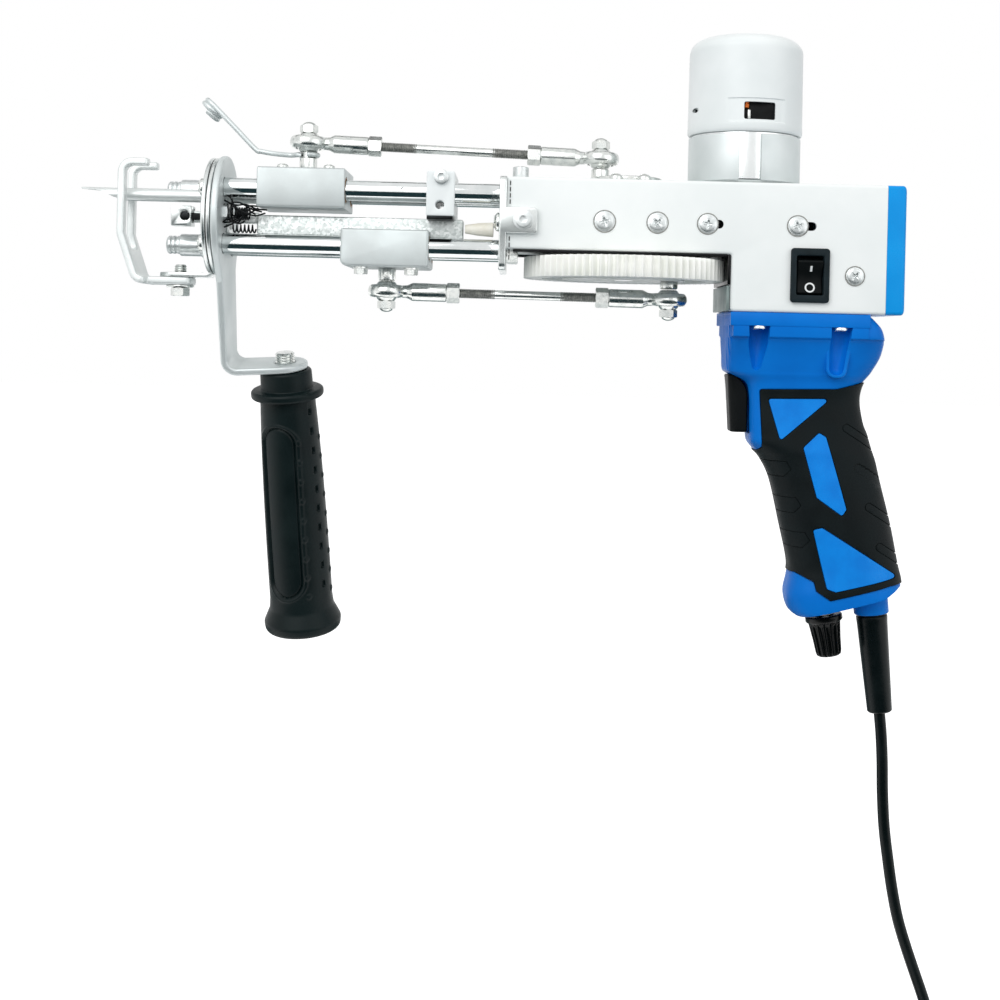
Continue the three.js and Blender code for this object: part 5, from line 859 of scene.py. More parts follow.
strip = put(sheet, bracketMatrix @ shift(1.5, 0, 0)
            @ Matrix(((0, 0, 1, 0), (1, 0, 0, 0), (0, -1, 0, 0), (0, 0, 0, 1))))
tools = [put(plate([windowView], 9, 0), shift(b["middleX"], 0, 0) @ endOn)]
tools += [put(dowel(f["bore"], -5, 5), shift(b["middleX"], y, z) @ forward) for y, z in shaftPlaces]
showPiece(carve(strip, *tools), "handle_strip", "bandZinc", "frame", "handle_bracket", sharp=30)
smallScrew = put(screwHead(3, 1.0, "cross", 0.3), shift(*b["smallScrew"]) @ forward)
showPiece(smallScrew, "flange_small_screw", "plated", "frame")
print("flange")

# Front handle of rubber, hung under the bracket. Rows are radius and height in its own frame: the flared
# foot, a body whose radius = from + swell * sin(share^0.8 * 90 degrees), and the neck with its collar.
handle = {
    "foot": [(0, -113.4), (15.6, -113.4), (16.1, -109.2), (13.4, -103.4), (13, -99)],
    "neck": [(11.3, -17), (11.25, -13.1), (14.75, -13.1), (14.75, -9.6), (10.65, -9.6), (10.4, -1.6),
             (0, -1.6)],
    "from": 11.3, "swell": 1.7, "bodyTop": -17, "bodyLength": 82, "bodyRows": 210, "turn": -20,
    "columns": 240, "oval": (7.6, 73), "middle": -60.1, "sunk": 0.7, "groove": 0.65, "edge": 0.6,
    "bead": 0.35, "studs": (75, 137), "studSize": 1.4, "studHeight": 0.4, "studFrom": -30.2, "rows": 9,
    "pits": 103, "pitSize": (1.0, 1.5), "pitDepth": 0.9, "pitFrom": -18.2, "step": 8.2,
}
h = handle
rise = math.radians(b["rise"])
handleMatrix = bracketMatrix @ shift(b["knee"] + b["reach"] * math.cos(rise), 0,
                                     b["reach"] * math.sin(rise) - b["drop"]) @ spin(-b["rise"], "Y")
footRows = profile(h["foot"], [0, 2.2, 3, 5, 0], 6)
neckRows = profile(h["neck"], [0, 0.5, 1.2, 1.2, 0.6, 1.4, 0], 5)
bodyRows = [(h["from"] + h["swell"] * math.sin(s ** 0.8 * math.pi / 2), h["bodyTop"] - h["bodyLength"] * s)
            for s in np.linspace(1, 0, h["bodyRows"])]


# Change of a handle radius at angle and height. Inside an oval on each side the panel is sunk and a groove
# follows its edge; between the ovals are two columns of round studs and one of small pits.
def handleRelief(radius, height):
    r = handle
    degrees = np.arange(r["columns"]) / r["columns"] * 360
    change = np.zeros(r["columns"])
    for side in (0, 180):
        turn = (degrees - r["turn"] - side - 90 + 180) % 360 - 180
        across = radius * np.sin(np.radians(np.clip(turn, -90, 90)))
        above = max(0.0, abs(height - r["middle"]) - (r["oval"][1] / 2 - r["oval"][0]))
        distance = np.where(np.abs(turn) < 90, np.hypot(across, above) - r["oval"][0], 99)
        change -= r["sunk"] * np.clip(0.5 - distance / r["edge"], 0, 1)
        change -= r["groove"] * np.clip(1 - np.abs(distance + 0.5) / 0.55, 0, 1)
        change += r["bead"] * np.clip(1 - np.abs(distance - 0.9) / 0.7, 0, 1)
    behind = (degrees - r["turn"] - 90 + 180) % 360 - 180
    row = lambda first, count: min(max(round((first - height) / r["step"]), 0), count)
    fromRow = lambda first, count: height - first + r["step"] * row(first, count)
    for angle in r["studs"]:
        arc = radius * np.radians(behind + angle)
        away = np.hypot(arc, fromRow(r["studFrom"], r["rows"] - 1))
        change += r["studHeight"] * np.clip((r["studSize"] - away) / 0.5, 0, 1)
    inside = np.minimum(r["pitSize"][0] - np.abs(radius * np.radians(behind + r["pits"])),
                        r["pitSize"][1] - abs(fromRow(r["pitFrom"], r["rows"])))
    change -= r["pitDepth"] * np.clip(inside / 0.35, 0, 1)
    return change


bodyRows = [(radius + handleRelief(radius, height), height) for radius, height in bodyRows[1:-1]]
handleMesh = turned([*footRows, *bodyRows, *neckRows], h["columns"])
showPiece(put(handleMesh, handleMatrix), "handle_rubber", "handleRubber", "frame", "handle", sharp=50)


# Thread profile: radius swings between crest and root once a pitch.
def threadRows(radius, start, end, pitch, cut=0.35):
    count = max(2, round(abs(end - start) / pitch) * 2)
    heights = np.linspace(start, end, count + 1)
    return [(radius - (cut if i % 2 else 0), h) for i, h in enumerate(heights)]


stud = turned([(0, -2), (4, -2), (4, 1.5), *threadRows(4, 1.6, 4.8, 1.0, 0.5), (3.3, 5.4), (0, 5.4)], 48)
showPiece(put(stud, handleMatrix), "handle_stud", "plated", "frame")
print("handle")


# Folds of a strip along a line of straight runs: a fold starts radius * tan(half its turn) before a corner.
def foldsAlong(line, radius):
    steps = np.diff(np.array(line, float), axis=0)
    lengths = np.hypot(steps[:, 0], steps[:, 1])
    angles = np.degrees(np.unwrap(np.arctan2(steps[:, 1], steps[:, 0])))
    folds, place, behind = [], 0.0, 0.0
    for length, turn in zip(lengths, [*np.diff(angles), 0]):
        setback = radius * math.tan(math.radians(abs(turn)) / 2)
        place += length - behind - setback
        if turn:
            folds.append((place, radius, turn))
            place += radius * math.radians(abs(turn))
        behind = setback
    return folds, place


# Presser foot: hooks, prongs, slant and base, folded from one flat strip whose slot opens at the hooks.
foot = {"line": [(-270.0, 123.9), (-280.5, 123.9), (-280.5, 95.5), (-274.3, 77.4), (-253.15, 77.4)],
        "bend": 4.2, "width": 10.5, "prong": 5.75, "base": 6.5, "thickness": 3, "edge": 0.85, "slot": 2.8,
        "slotBack": 16.05, "slotFront": 1.5, "nose": 17.25, "prongEnd": 9.6, "boltX": -258.4, "tabUnder": 74.6}
folds, footLength = foldsAlong(foot["line"], foot["bend"])
w, prong, base, slot = foot["width"], foot["prong"], foot["base"], foot["slot"]
slotEnd = folds[2][0] - foot["prongEnd"]
nose = footLength - foot["nose"]
footView = rounded([(w, 0), (w, nose), (base, nose), (base, footLength), (-base, footLength), (-base, nose),
                    (-w, nose), (-w, 0), (-prong, 0), (-prong, slotEnd), (prong, slotEnd), (prong, 0)],
                   [1.6, 2.5, 1, 2, 2, 1, 2.5, 1.6, 1.2, 2.6, 2.6, 1.2], 5)
boltSlot = rectangle(-slot, slot, footLength - foot["slotBack"], footLength - foot["slotFront"], slot * 0.97, 8)
footMesh = bend(plate([footView, boltSlot], foot["thickness"], foot["edge"], 4), folds)
footStart = shift(foot["line"][0][0], 0, foot["line"][0][1])
footFrame = footStart @ Matrix(((0, -1, 0, 0), (-1, 0, 0, 0), (0, 0, -1, 0), (0, 0, 0, 1)))
showPiece(put(footMesh, footFrame), "presser_foot_strip", "paleZinc", "foot", "presser_foot", sharp=30)
boltPlace = shift(foot["boltX"], 0, foot["tabUnder"])
boltHead = put(hexNut(6.6, 3.4), boltPlace @ shift(0, 0, -3.2))
washer = put(roundedRing([(2.6, 0), (5.5, 0), (5.5, 1), (2.6, 1)], [0, 0.25, 0.25, 0], 2),
             boltPlace @ shift(0, 0, 0.25))
shank = turned([(0, 0), (2.4, 0), *threadRows(2.5, 0.2, 8.6, 0.8, 0.3), (1.9, 9.4), (0, 9.4)], 40)
showPiece(merge(boltHead, washer, put(shank, boltPlace)), "foot_bolt_set", "plated", "frame", "foot_bolt",
          sharp=30)
print("foot")

# Screws of the housing: cross heads with a flange and a ring of painted shade round each on the panel, some
# of them on both sides, socket heads on top and at the ear, and round heads on top.
panelScrews = {
    "cross": [(-90.4, 103.7, 4.0), (-70.0, 103.7, 3.9), (-50.6, 103.7, 3.8), (-15.9, 103.7, 3.8),
              (6.6, 84.9, 3.5)],
    "bothSides": (0, 1, 4), "shade": 0.42, "ear": (-121.8, -25.8, 103.4), "socket": (-123.2, -11),
    "round": [(-86.0, -16), (-75.0, -16)],
}
side, roof = housing["side"], housing["top"]
for i, (x, z, radius) in enumerate(panelScrews["cross"]):
    head = merge(screwHead(2 * radius * 0.84, 1.3, "cross", 0.45), roundedDisc(radius, -0.2, 0.35))
    # Dark ring on the panel round the head: painted shade of the crevice there.
    edge = put(sleeve(radius, radius + panelScrews["shade"], 0, 0.3), shift(x, 0.1 - side, z) @ nearward)
    head = put(head, shift(x, -side, z) @ nearward @ spin(18 + 31 * i, "Z"))
    if i in panelScrews["bothSides"]:
        head, edge = merge(head.copy(), mirrored(head)), merge(edge.copy(), mirrored(edge))
    showPiece(head, f"panel_screw_{i}", "satinZinc", "frame")
    showPiece(edge, f"panel_screw_shade_ring_{i}", "rolledThreadAndShade", "frame")
head = merge(roundedDisc(4.0, -0.1, 0.5), put(screwHead(6.0, 2.2, "hex", 0.15, 0.48), shift(0, 0, 0.4)))
showPiece(put(head, shift(*panelScrews["ear"]) @ nearward), "ear_screw", "satinZinc", "frame")
socket = put(screwHead(6.4, 5.0, "hex", 0.5, 0.42), shift(*panelScrews["socket"], roof))
showPiece(socket, "roof_screw", "satinZinc", "frame")
for i, place in enumerate(panelScrews["round"]):
    rivet = put(screwHead(5.4, 2.7, "cross", 1.6, 0.4), shift(*place, roof))
    showPiece(rivet, f"roof_rivet_{i}", "plated", "frame")

# Sheet behind the gear, darkened to grey-green as painted shade; a black block of painted shade in the gap over
# it; dark strips of painted shade under the slim part; and dark dashes of painted shade in the short gaps
# between the housing and the plate. Each block is its span in x, y and z and its eased edge.
trims = {
    # Pale zinc darkened to grey-green: painted shade at the step behind the gear.
    "step_sheet": ("shadedPaleZinc", [(-42.6, -41.3, -21.5, 21.5, 70.4, 80.2, 0.25)]),
    # Black block: painted shade in the gap over the sheet.
    "step_gap_shade": ("glossBlackAndShade", [(-42.4, -41.3, -22.2, 22.2, 80.6, 92.0, 0.25)]),
    # Dark strips: painted shade under the slim part, over the gear.
    "slot_shade_strips": ("darkBoardAndShade", [(-125.5, -42.7, *y, 91.35, 92.15, 0.1) for y in ((-22.8, -17), (17, 22.8))]),
    # Dark dashes: painted shade in the gaps between the housing and the plate.
    "plate_gap_dashes": ("darkBoardAndShade", [(-127.2, -126.8, -23.1, -22.9, z, z + 1.7)
                                       for z in (88.1, 90.5, 92.9, 95.3, 109.6, 112, 114.4, 116.8)]),
}
for name, (finish, spans) in trims.items():
    showPiece(merge(*[block(*limits) for limits in spans]), name, finish, "frame")

# Cream cone on the front of the plate, with a round-headed screw over it.
frontBits = {"cone": (-133.5, -8, 100.4), "screw": (-131.1, -12.5, 103.2)}
cone = turned(profile([(0, 0), (2.9, 0), (2.5, 6), (1.7, 11.2), (0, 11.2)], [0, 0.3, 0, 0.3, 0]), 48)
showPiece(put(cone, shift(*frontBits["cone"]) @ forward), "plate_cone", "creamPlastic", "frame")
plateScrew = put(screwHead(7.4, 2.2, "cross", 1.5), shift(*frontBits["screw"]) @ forward)
showPiece(plateScrew, "plate_screw", "plated", "frame")
print("screws")

# Carriages: blocks bored for both shafts, with bronze bushes. The needle's block has a seat for the needle,
# the blade's a notch for the push bar.
carriages = {
    "needle": {"front": -226.3, "back": -191.9, "low": 106.9, "high": 122.6, "level": 114.4},
    "blade": {"front": -193.1, "back": -158.5, "low": 84.5, "high": 99.2, "level": 92.4},
    "half": 15.5, "bore": 5.3, "needleSeat": 2.75, "notch": (-200, -150, -4.4, 4.4, 96.5, 104),
}
needle = {"level": 111.6, "radius": 2.6, "bore": 1.85, "tip": -298.9, "length": 82.6}


# Block drilled for both shafts of its level.
def bored(mesh, c):
    middle = (c["front"] + c["back"]) / 2
    return carve(mesh, *[put(dowel(carriages["bore"], -40, 40, 64), shift(middle, y, c["level"]) @ forward)
                         for y in shaftSides.values()])


c, half = carriages["needle"], carriages["half"]
needleView = rectangle(-half, half, c["low"], c["high"], 0.9, 3)
needleBlock = put(plate([needleView], c["back"] - c["front"], 0.5, 3),
                  shift((c["front"] + c["back"]) / 2, 0, 0) @ endOn)
seat = put(dowel(carriages["needleSeat"], -1, 11), shift(c["front"], 0, needle["level"]) @ spin(90, "Y"))
showPiece(carve(bored(needleBlock, c), seat), "needle_block", "satinAluminium", "needle_unit",
          "needle_carriage", sharp=30)
c = carriages["blade"]
bladeView = rectangle(c["front"], c["back"], c["low"], c["high"], [2.8, 1.2, 0.8, 0.8], 8)
bladeBlock = put(plate([bladeView], 2 * half, 0.9, 4), sideOn)
bladeBlock = bored(carve(bladeBlock, block(*carriages["notch"])), c)
showPiece(bladeBlock, "blade_block", "satinAluminium", "blade_unit", "blade_carriage", sharp=30)
bushCorners = profile([(4.3, 0), (5.2, 0), (5.2, 1), (4.3, 1), (4.3, 0)], [0.3, 0.3, 0.3, 0.3, 0], 2)[:-1]
for name in ("needle", "blade"):
    c = carriages[name]
    bushRows = [(r, share * (c["back"] - c["front"])) for r, share in bushCorners]
    for side, y in shaftSides.items():
        bush = put(turned(bushRows, 64, True), shift(c["front"], y, c["level"]) @ spin(90, "Y"))
        showPiece(bush, f"{name}_bush_{side}_sleeve", "bronze", name + "_unit", f"{name}_bush_{side}")

# Hollow needle with a long scoop that ends in a thin tongue, ground to a point. The scoop's line is in the
# side view, and what is ground off beside the point is seen from above.
n = needle
top, below = n["level"] + n["radius"], n["level"] - n["radius"]
needleTube = put(sleeve(n["bore"], n["radius"], 0, n["length"]), shift(n["tip"], 0, n["level"]) @ spin(90, "Y"))
scoopLine = smoothRun([(-299.6, top - 0.68), (-298.9, top - 0.72), (-295, top - 0.95), (-291.2, top - 1.35),
                       (-288.5, n["level"] + 0.2), (-285.5, n["level"] - 1.2), (-282, below + 0.5),
                       (-279.2, below - 0.3)], 5)
scoop = put(plate([np.array([*scoopLine, (-279.2, below - 3), (-299.6, below - 3)])], 8, 0), sideOn)
pointView = np.array([(-302, -4), (-291.2, -4), (-291.2, -2.7), (-294, -2.2), (-297, -1.2), (-298.8, -0.25),
                      (-298.8, 0.25), (-297, 1.2), (-294, 2.2), (-291.2, 2.7), (-291.2, 4), (-302, 4)])
groundOff = put(plate([pointView], 9, 0), shift(0, 0, n["level"]))
showPiece(carve(needleTube, scoop, groundOff), "needle_tube", "paleZinc", "needle_unit", "needle", sharp=30)

# Yarn guide: wire with an eye round the pin, a flat run, a rise and an eye of two turns in a helix.
guide = {"wire": 1.0, "pinX": -208.35, "z": 129.05, "around": 3.7, "flat": 20.4, "rise": 20.9, "eye": 4.1,
         "turns": 2, "pitch": 1.75}
g = guide
angle = -math.pi / 2 + np.linspace(0, 0.8, 30) * tau
start = np.stack([g["around"] * np.cos(angle), g["around"] * np.sin(angle), 0 * angle], -1)
climb = g["rise"] * math.sqrt(2) - g["eye"]
slant = np.array([-1, 0, 1]) / math.sqrt(2)
normal = np.array([1, 0, 1]) / math.sqrt(2)
heel = np.array([-g["flat"], 0, g["wire"]])
run = [start[-1], (-g["around"] * 2, g["around"] / 2, 0), (-14, 0.3, 0.3), heel + (1.5, 0, 0),
       heel + slant * 1.2, heel + slant * climb / 2, heel + slant * (climb - g["eye"])]
turn = np.linspace(0, g["turns"], 72)[:, None] * tau
centre = heel + slant * climb + np.array([0, g["eye"], 0])
eye = (centre - np.array([0, g["eye"], 0]) * np.cos(turn) + slant * g["eye"] * np.sin(turn)
       - normal * g["pitch"] * turn / tau)
guidePath = np.vstack([start[:-1], smoothRun(run, 10)[:-1], eye]) + (g["pinX"], 0, g["z"])
showPiece(swept(guidePath, g["wire"], 18), "yarn_guide_wire", "bandZinc", "needle_unit", "yarn_guide")
# Small screws of the carriages: sockets on top of the needle's, hexagon heads under the blade's.
blockScrews = {"needle": (-216.9, -198.6), "blade": (-185.2, -165.4), "y": -11.0}
y = blockScrews["y"]
for i, x in enumerate(blockScrews["needle"]):
    screw = put(screwHead(4.6, 1.7, "hex", 0.9, 0.4), shift(x, y, carriages["needle"]["high"] - 0.1))
    showPiece(screw, f"needle_block_screw_{i}", "plated", "needle_unit")
for i, x in enumerate(blockScrews["blade"]):
    screw = merge(dowel(2.9, 0, 0.7), put(hexNut(4.7, 2.4), shift(0, 0, 0.6)))
    showPiece(put(screw, shift(x, y, carriages["blade"]["low"]) @ flip), f"blade_block_screw_{i}", "plated",
              "blade_unit")

# Nut and a tangle of thin black wire behind the flange: two coils along x, each from x0 to x1 with turns,
# radius and the middle's y and z, and loose ends that reach back to the push bar.
tangle = {"coils": [(-240, -235.5, 3.2, 3.1, -9.5, 104.8), (-234.8, -229.5, 5.4, 2.2, -10, 104.2)],
          "coilWire": 0.38, "legWire": 0.34, "nut": (-241, -9.5, 104.6)}


def coilRun(x0, x1, turns, radius, y, z):
    share = np.linspace(0, 1, round(turns * 28))
    angle = share * turns * tau
    return np.stack([x0 + (x1 - x0) * share, y + radius * np.cos(angle), z + radius * np.sin(angle)], -1)


legs = [[(-239, -9, 108), (-234, -11, 108.6), (-229, -10, 106.2), (-225, -9, 105.2)],
        [(-240, -10, 109.5), (-235, -12, 107.4), (-231, -11, 107.8), (-227, -11, 106.2), (-223, -9, 106.0)],
        [(-238, -12, 101.5), (-233, -11, 103.8), (-230, -12, 107.0), (-226, -11, 107.2)],
        [(-240, -10, 100.5), (-236, -12, 101.0), (-233, -11, 103.4), (-231, -12, 105.8), (-227, -12, 104.0)],
        [(-236, -12, 107), (-231, -12.5, 104.4), (-227, -12, 103.4), (-223.5, -10, 104.6)],
        [(-237, -9, 104), (-233, -12, 102.2), (-229, -11, 104.6), (-226, -12, 106.4)],
        [(-240, -11, 103), (-236, -12.5, 100.9), (-233, -12, 100.2), (-231, -12.5, 101.2)],
        [(-239, -12.5, 98.6), (-236, -12, 100), (-233, -12.5, 101.8), (-230.5, -11, 102.6)],
        [(-240, -12.5, 100.4), (-237, -12.5, 102.2), (-234, -12, 100.4), (-231.5, -12.5, 103.4)],
        [(-240, -11, 112.0), (-237, -12, 110.4), (-235, -12, 106.0), (-233, -11, 101.6)]]
wires = merge(*[swept(coilRun(*coil), tangle["coilWire"], 10) for coil in tangle["coils"]],
              *[swept(smoothRun(leg, 8), tangle["legWire"], 10) for leg in legs])
tangleNut = put(hexNut(7, 3.2, 2), shift(*tangle["nut"]) @ spin(90, "Y"))
showPiece(tangleNut, "scissor_nut", "satinZinc", "frame")
showPiece(wires, "scissor_wires", "blackOxideAndShade", "frame")
print("carriages")

# Ball pins and crank studs: stub, neck, ball in its seat, and a domed hexagon nut. The ball is flat at both
# ends, this far from its middle.
pins = {"ball": 5, "flat": 3.9, "needle": (-208.35, 0, 122.65), "blade": (-175.8, 0, 84.5),
        "needleHeight": 11.3, "bladeHeight": 9.1, "nut": (6.3, 3.1), "dome": (2.95, 1.9, 2.6)}
ball, flatEnd = pins["ball"], pins["flat"]
ballTurn = math.asin(flatEnd / ball)
ballRows = [(ball * math.cos(a), ball * math.sin(a)) for a in np.linspace(-ballTurn, ballTurn, 15)]


# Nut at a height with a dome on it: radius = wide * cos a, height = base + high * sin a.
def domeNut(height):
    wide, high, base = pins["dome"]
    nut = put(hexNut(*pins["nut"]), shift(0, 0, height))
    dome = [(wide * math.cos(a), height + base + high * math.sin(a)) for a in np.linspace(0, math.pi / 2, 9)]
    return merge(nut, turned([(0, height + 2.4), *dome], 48))


# Pin whose ball has its middle at a height, with the nut above.
def ballPin(height, neckFrom):
    stub = profile([(0, 0.1), (3.5, 0.1), (3.5, neckFrom), (2.5, neckFrom), (2.5, height - 4.0)],
                   [0, 0.2, 0.4, 0.2, 0])
    ball = [(r, height + h) for r, h in ballRows]
    return merge(turned([*stub, *ball, (0, height + flatEnd)], 56), domeNut(height + flatEnd))


needlePin = put(ballPin(pins["needleHeight"], 5.2), shift(*pins["needle"]))
showPiece(needlePin, "needle_pin_stud", "plated", "needle_unit", "needle_pin")
bladePin = put(ballPin(pins["bladeHeight"], 4.9), shift(*pins["blade"]) @ flip)
showPiece(bladePin, "blade_pin_stud", "plated", "blade_unit", "blade_pin")

# Connecting rods: ball heads, barrels, locknuts and threads at both ends of a thin bar. Lengths along the rod
# start at a ball's middle.
rods = {
    "head": [(5.36, -2.25), (5.36, 2.25), (5.55, 2.5)], "crown": (5.8, 1.65, 2.55), "liner": (5.08, 5.33, 2.2),
    "barrel": [(0, 6.1), (2.5, 6.1), (2.6, 8.2), (3.65, 10.4), (3.65, 24), (0, 24)], "nut": (7, 5.3),
    "thread": (1.95, 29.2, 43, 0.7, 0.28), "bar": 1.75, "barFrom": 42,
}


# Rod from its front ball to its rear one, each end made once and copied to the other.
def buildRod(name, link, front, back, nutsUp):
    run = Vector(back) - Vector(front)
    place = shift(*front) @ Matrix.Rotation(-math.asin(run.z / run.length), 4, "Y")
    turnedRound = shift(run.length, 0, 0) @ spin(180, "Z")
    middle, wide, high = rods["crown"]
    crown = [(middle + wide * math.cos(a), high * math.sin(a)) for a in np.linspace(1.5, -1.5, 17)]
    head = turned([*rods["head"], *crown, (5.55, -2.5)], 72, True)
    barrel = turned(profile(rods["barrel"], [0, 0.2, 1.5, 0.8, 0.5, 0], 4), 56)
    barrel = merge(barrel, put(hexNut(*rods["nut"]), shift(0, 0, rods["barrel"][-1][1])))
    end = merge(head, put(barrel, spin(90, "Y")))
    thread = turned([(0, 29.1), (1.9, 29.1), *threadRows(*rods["thread"]), (1.6, 43.4), (0, 43.4)], 40)
    thread = put(thread, spin(90, "Y"))
    threads = merge(thread, put(thread.copy(), turnedRound))
    showPiece(put(threads, place), name + "_threads", "rolledThreadAndShade", link)
    bar = put(dowel(rods["bar"], rods["barFrom"], run.length - rods["barFrom"], 40), spin(90, "Y"))
    rod = merge(end, bar, put(end.copy(), turnedRound))
    showPiece(put(rod, place), name + "_bar", "plated", link, name, sharp=32)
    inner, outer, half = rods["liner"]
    liner = sleeve(inner, outer, -half, half, 56)
    liners = merge(liner, put(liner.copy(), shift(run.length, 0, 0)))
    showPiece(put(liners, place), name + "_seats", "glossBlackAndShade", link)
    ball = merge(turned([(0, -flatEnd), *ballRows, (0, flatEnd)], 56), domeNut(flatEnd))
    upright = shift(*back) @ (Matrix.Identity(4) if nutsUp else flip)
    showPiece(put(ball, upright), name + "_bolt_ball", "plated", link, name + "_bolt")


# Middle of the ball that a packed crank bolt ends in.
def ballMiddle(node, nutsUp):
    low, high = span(node)
    x, y, _ = (low + high) / 2
    return x, y, low[2] + flatEnd if nutsUp else high[2] - flatEnd


for name, sign in (("needle", 1), ("blade", -1)):
    x, y, z = pins[name]
    front = x, y, z + sign * pins[name + "Height"]
    rear = ballMiddle(name + "_rod_bolt", sign > 0)
    buildRod(name + "_rod", name + "_link", front, rear, sign > 0)
print("rods")

# Push bar of galvanised steel, with the scissors' holder and blade, and the spring that parts them.
pushBar = {"view": (-227.7, -145.6, 96.7, 104.4), "thickness": 8, "edge": 0.5}
barMesh = plate([rectangle(*pushBar["view"], 0.9, 3)], pushBar["thickness"], pushBar["edge"], 3)
showPiece(put(barMesh, sideOn), "push_bar_strip", "spangled", "blade_unit", "push_bar", sharp=30)
dressNode("scissor_holder", "zincSteel", 0.3)
dressNode("scissor_blade", "blackOxideAndShade", 0.12)
spring = {"y": -2.2, "radius": 1.45, "wire": 0.34, "turns": 6, "inset": 0.35}
s = spring
low, high = span("scissor_spring")
turn = np.linspace(0, s["turns"], 145)
springPath = np.stack([low[0] + s["inset"] + (high[0] - low[0] - 2 * s["inset"]) * turn / s["turns"],
                       s["y"] + s["radius"] * np.cos(turn * tau),
                       (low[2] + high[2]) / 2 + s["radius"] * np.sin(turn * tau)], -1)
showPiece(swept(springPath, s["wire"], 12), "scissor_spring_coil", "blackOxideAndShade", "blade_unit", "scissor_spring")

# Brace across the upper shafts, painted white, with a through hole, a socket screw, and a black strip of
# painted shade below it.
brace = {"view": (-159.9, -148.8, 104.9, 122.4), "half": 15.5, "hole": (1.7, (-154.6, 109.2)), "bore": 4.3,
         "screw": (-154.2, -15.5, 120.1), "pad": (-159.6, -149.4, -15.2, 15.2, 103.6, 104.9, 0.1)}
braceView = [rectangle(*brace["view"], 0.7, 4), circle(*brace["hole"], 40)]
braceMiddle = (brace["view"][0] + brace["view"][1]) / 2
braceBores = [put(dowel(brace["bore"], -8, 8, 64), shift(braceMiddle, y, shaftLevels["upper"]) @ forward)
              for y in shaftSides.values()]
braceMesh = carve(put(plate(braceView, 2 * brace["half"], 0.5, 3), sideOn), *braceBores)
showPiece(braceMesh, "brace_body", "whiteLacquer", "frame", "brace_block", sharp=30)
braceScrew = put(screwHead(5.8, 1.7, "hex", 0.4, 0.42), shift(*brace["screw"]) @ nearward)
showPiece(braceScrew, "brace_screw", "satinZinc", "frame")
# Black strip under the brace: painted shade between the brace and the push bar.
showPiece(block(*brace["pad"]), "brace_pad", "blackOxideAndShade", "frame")
print("brace")


# Drive gear and pinion of module 1, with the crankshaft between its bearings, the crank disc on top and the
# stud below. Offsets of the studs are from the crank's axis.
gears = {
    "teeth": (78, 16), "root": 1.25, "tip": 0.95, "backlash": 0.3, "pressure": 20, "flank": 1.35, "round": 0.15,
    "z": 86.1, "width": 8.4, "edge": 0.3, "shaft": (4, 81.9, 120.5), "stud": 18.2, "discStud": -10.3,
    "bearing": (4.3, 11, 7), "bores": (4.3, 2.3, 2.7), "recess": (24.5, 32.7, -1.5, 1.5, 96), "hubAt": 3.6,
}


# Tooth outline: straight flanks of the pressure angle, steeper above the pitch circle, thinned for backlash,
# with a rounded tip. At a radius the half width is half the pitch's, less the rise times the slope.
def toothOutline(teeth):
    g = gears
    pitch = teeth / 2
    half, slope = (math.pi / 2 - g["backlash"]) / 2, math.tan(math.radians(g["pressure"]))
    flank, tip = slope * g["flank"], g["tip"]
    rows = [(pitch - g["root"], half + g["root"] * slope), (pitch, half),
            (pitch + tip - g["round"], half - (tip - g["round"]) * flank),
            (pitch + tip, half - tip * flank - g["round"])]
    out = []
    for i in range(teeth):
        middle = i / teeth * tau
        out += [(r, middle - w / r) for r, w in rows] + [(r, middle + w / r) for r, w in rows[::-1]]
    return np.array([(r * math.cos(a), r * math.sin(a)) for r, a in out])


g = gears
gearTeeth, pinionTeeth = g["teeth"]
gearBore, studBore, pinionBore = g["bores"]
gear = plate([toothOutline(gearTeeth), circle(gearBore, count=48), circle(studBore, (g["stud"], 0), 32)],
             g["width"], g["edge"], 2)
recesses = [put(sleeve(*g["recess"]), shift(0, 0, z)) for z in (g["width"] / 2, -g["width"] / 2)]
gear = put(carve(gear, *recesses), shift(crankX, 0, g["z"]))
showPiece(gear, "drive_gear_wheel", "nylon", "crank", "drive_gear", sharp=28)
pinion = plate([toothOutline(pinionTeeth), circle(pinionBore, count=32)], g["width"], g["edge"], 2)
hub = turned([(2.7, 0), (4.75, 0), (4.75, 4.1), (4.3, 4.4), (2.7, 4.4)], 48, True)
pinion = merge(pinion, put(hub, shift(0, 0, g["hubAt"])))
pinion = put(pinion, shift(motorX, 0, g["z"]) @ spin(180 + 180 / pinionTeeth, "Z"))
showPiece(pinion, "pinion_wheel", "nylon", "motor_drive", "pinion", sharp=28)

crankPlace = shift(crankX, 0, 0)
radius, low, high = g["shaft"]
crankshaft = turned(profile([(0, low), (radius, low), (radius, high), (0, high)], [0, 0.5, 0.5, 0]), 56)
showPiece(put(crankshaft, crankPlace), "crankshaft_bar", "groundSteel", "crank", "crankshaft")
disc = turned(profile([(0, 120.6), (14.6, 120.6), (14.6, 122.6), (0, 122.6)], [0, 0.5, 0.5, 0]), 96)
discStud = roundedDisc(3.6, 122.4, 126.1, 0.4, 56)
crankDisc = merge(put(disc, crankPlace), put(discStud, crankPlace @ shift(g["discStud"], 0, 0)))
showPiece(crankDisc, "needle_crank_disc", "plated", "crank", "needle_crank")
lowStud = turned(profile([(0, 78.8), (3.6, 78.8), (3.6, 81.8), (2, 81.8), (2, 90.2), (0, 90.2)],
                         [0, 0.5, 0.3, 0, 0.3, 0]), 56)
lowStud = put(lowStud, crankPlace @ shift(g["stud"], 0, 0))
showPiece(lowStud, "blade_crank_pin", "plated", "crank", "blade_crank_stud")
dressNode("bearing_block", "satinAluminium", 0.4)
bore, outside, deep = g["bearing"]
for node in ("crank_bearing_lower", "crank_bearing_upper"):
    race = roundedRing([(bore, 0), (outside, 0), (outside, deep), (bore, deep)], [0.4, 0.5, 0.5, 0.4])
    race = put(race, shift(crankX, 0, span(node)[0][2]))
    showPiece(race, node + "_race", "groundSteel", "frame", node)
print("gear")

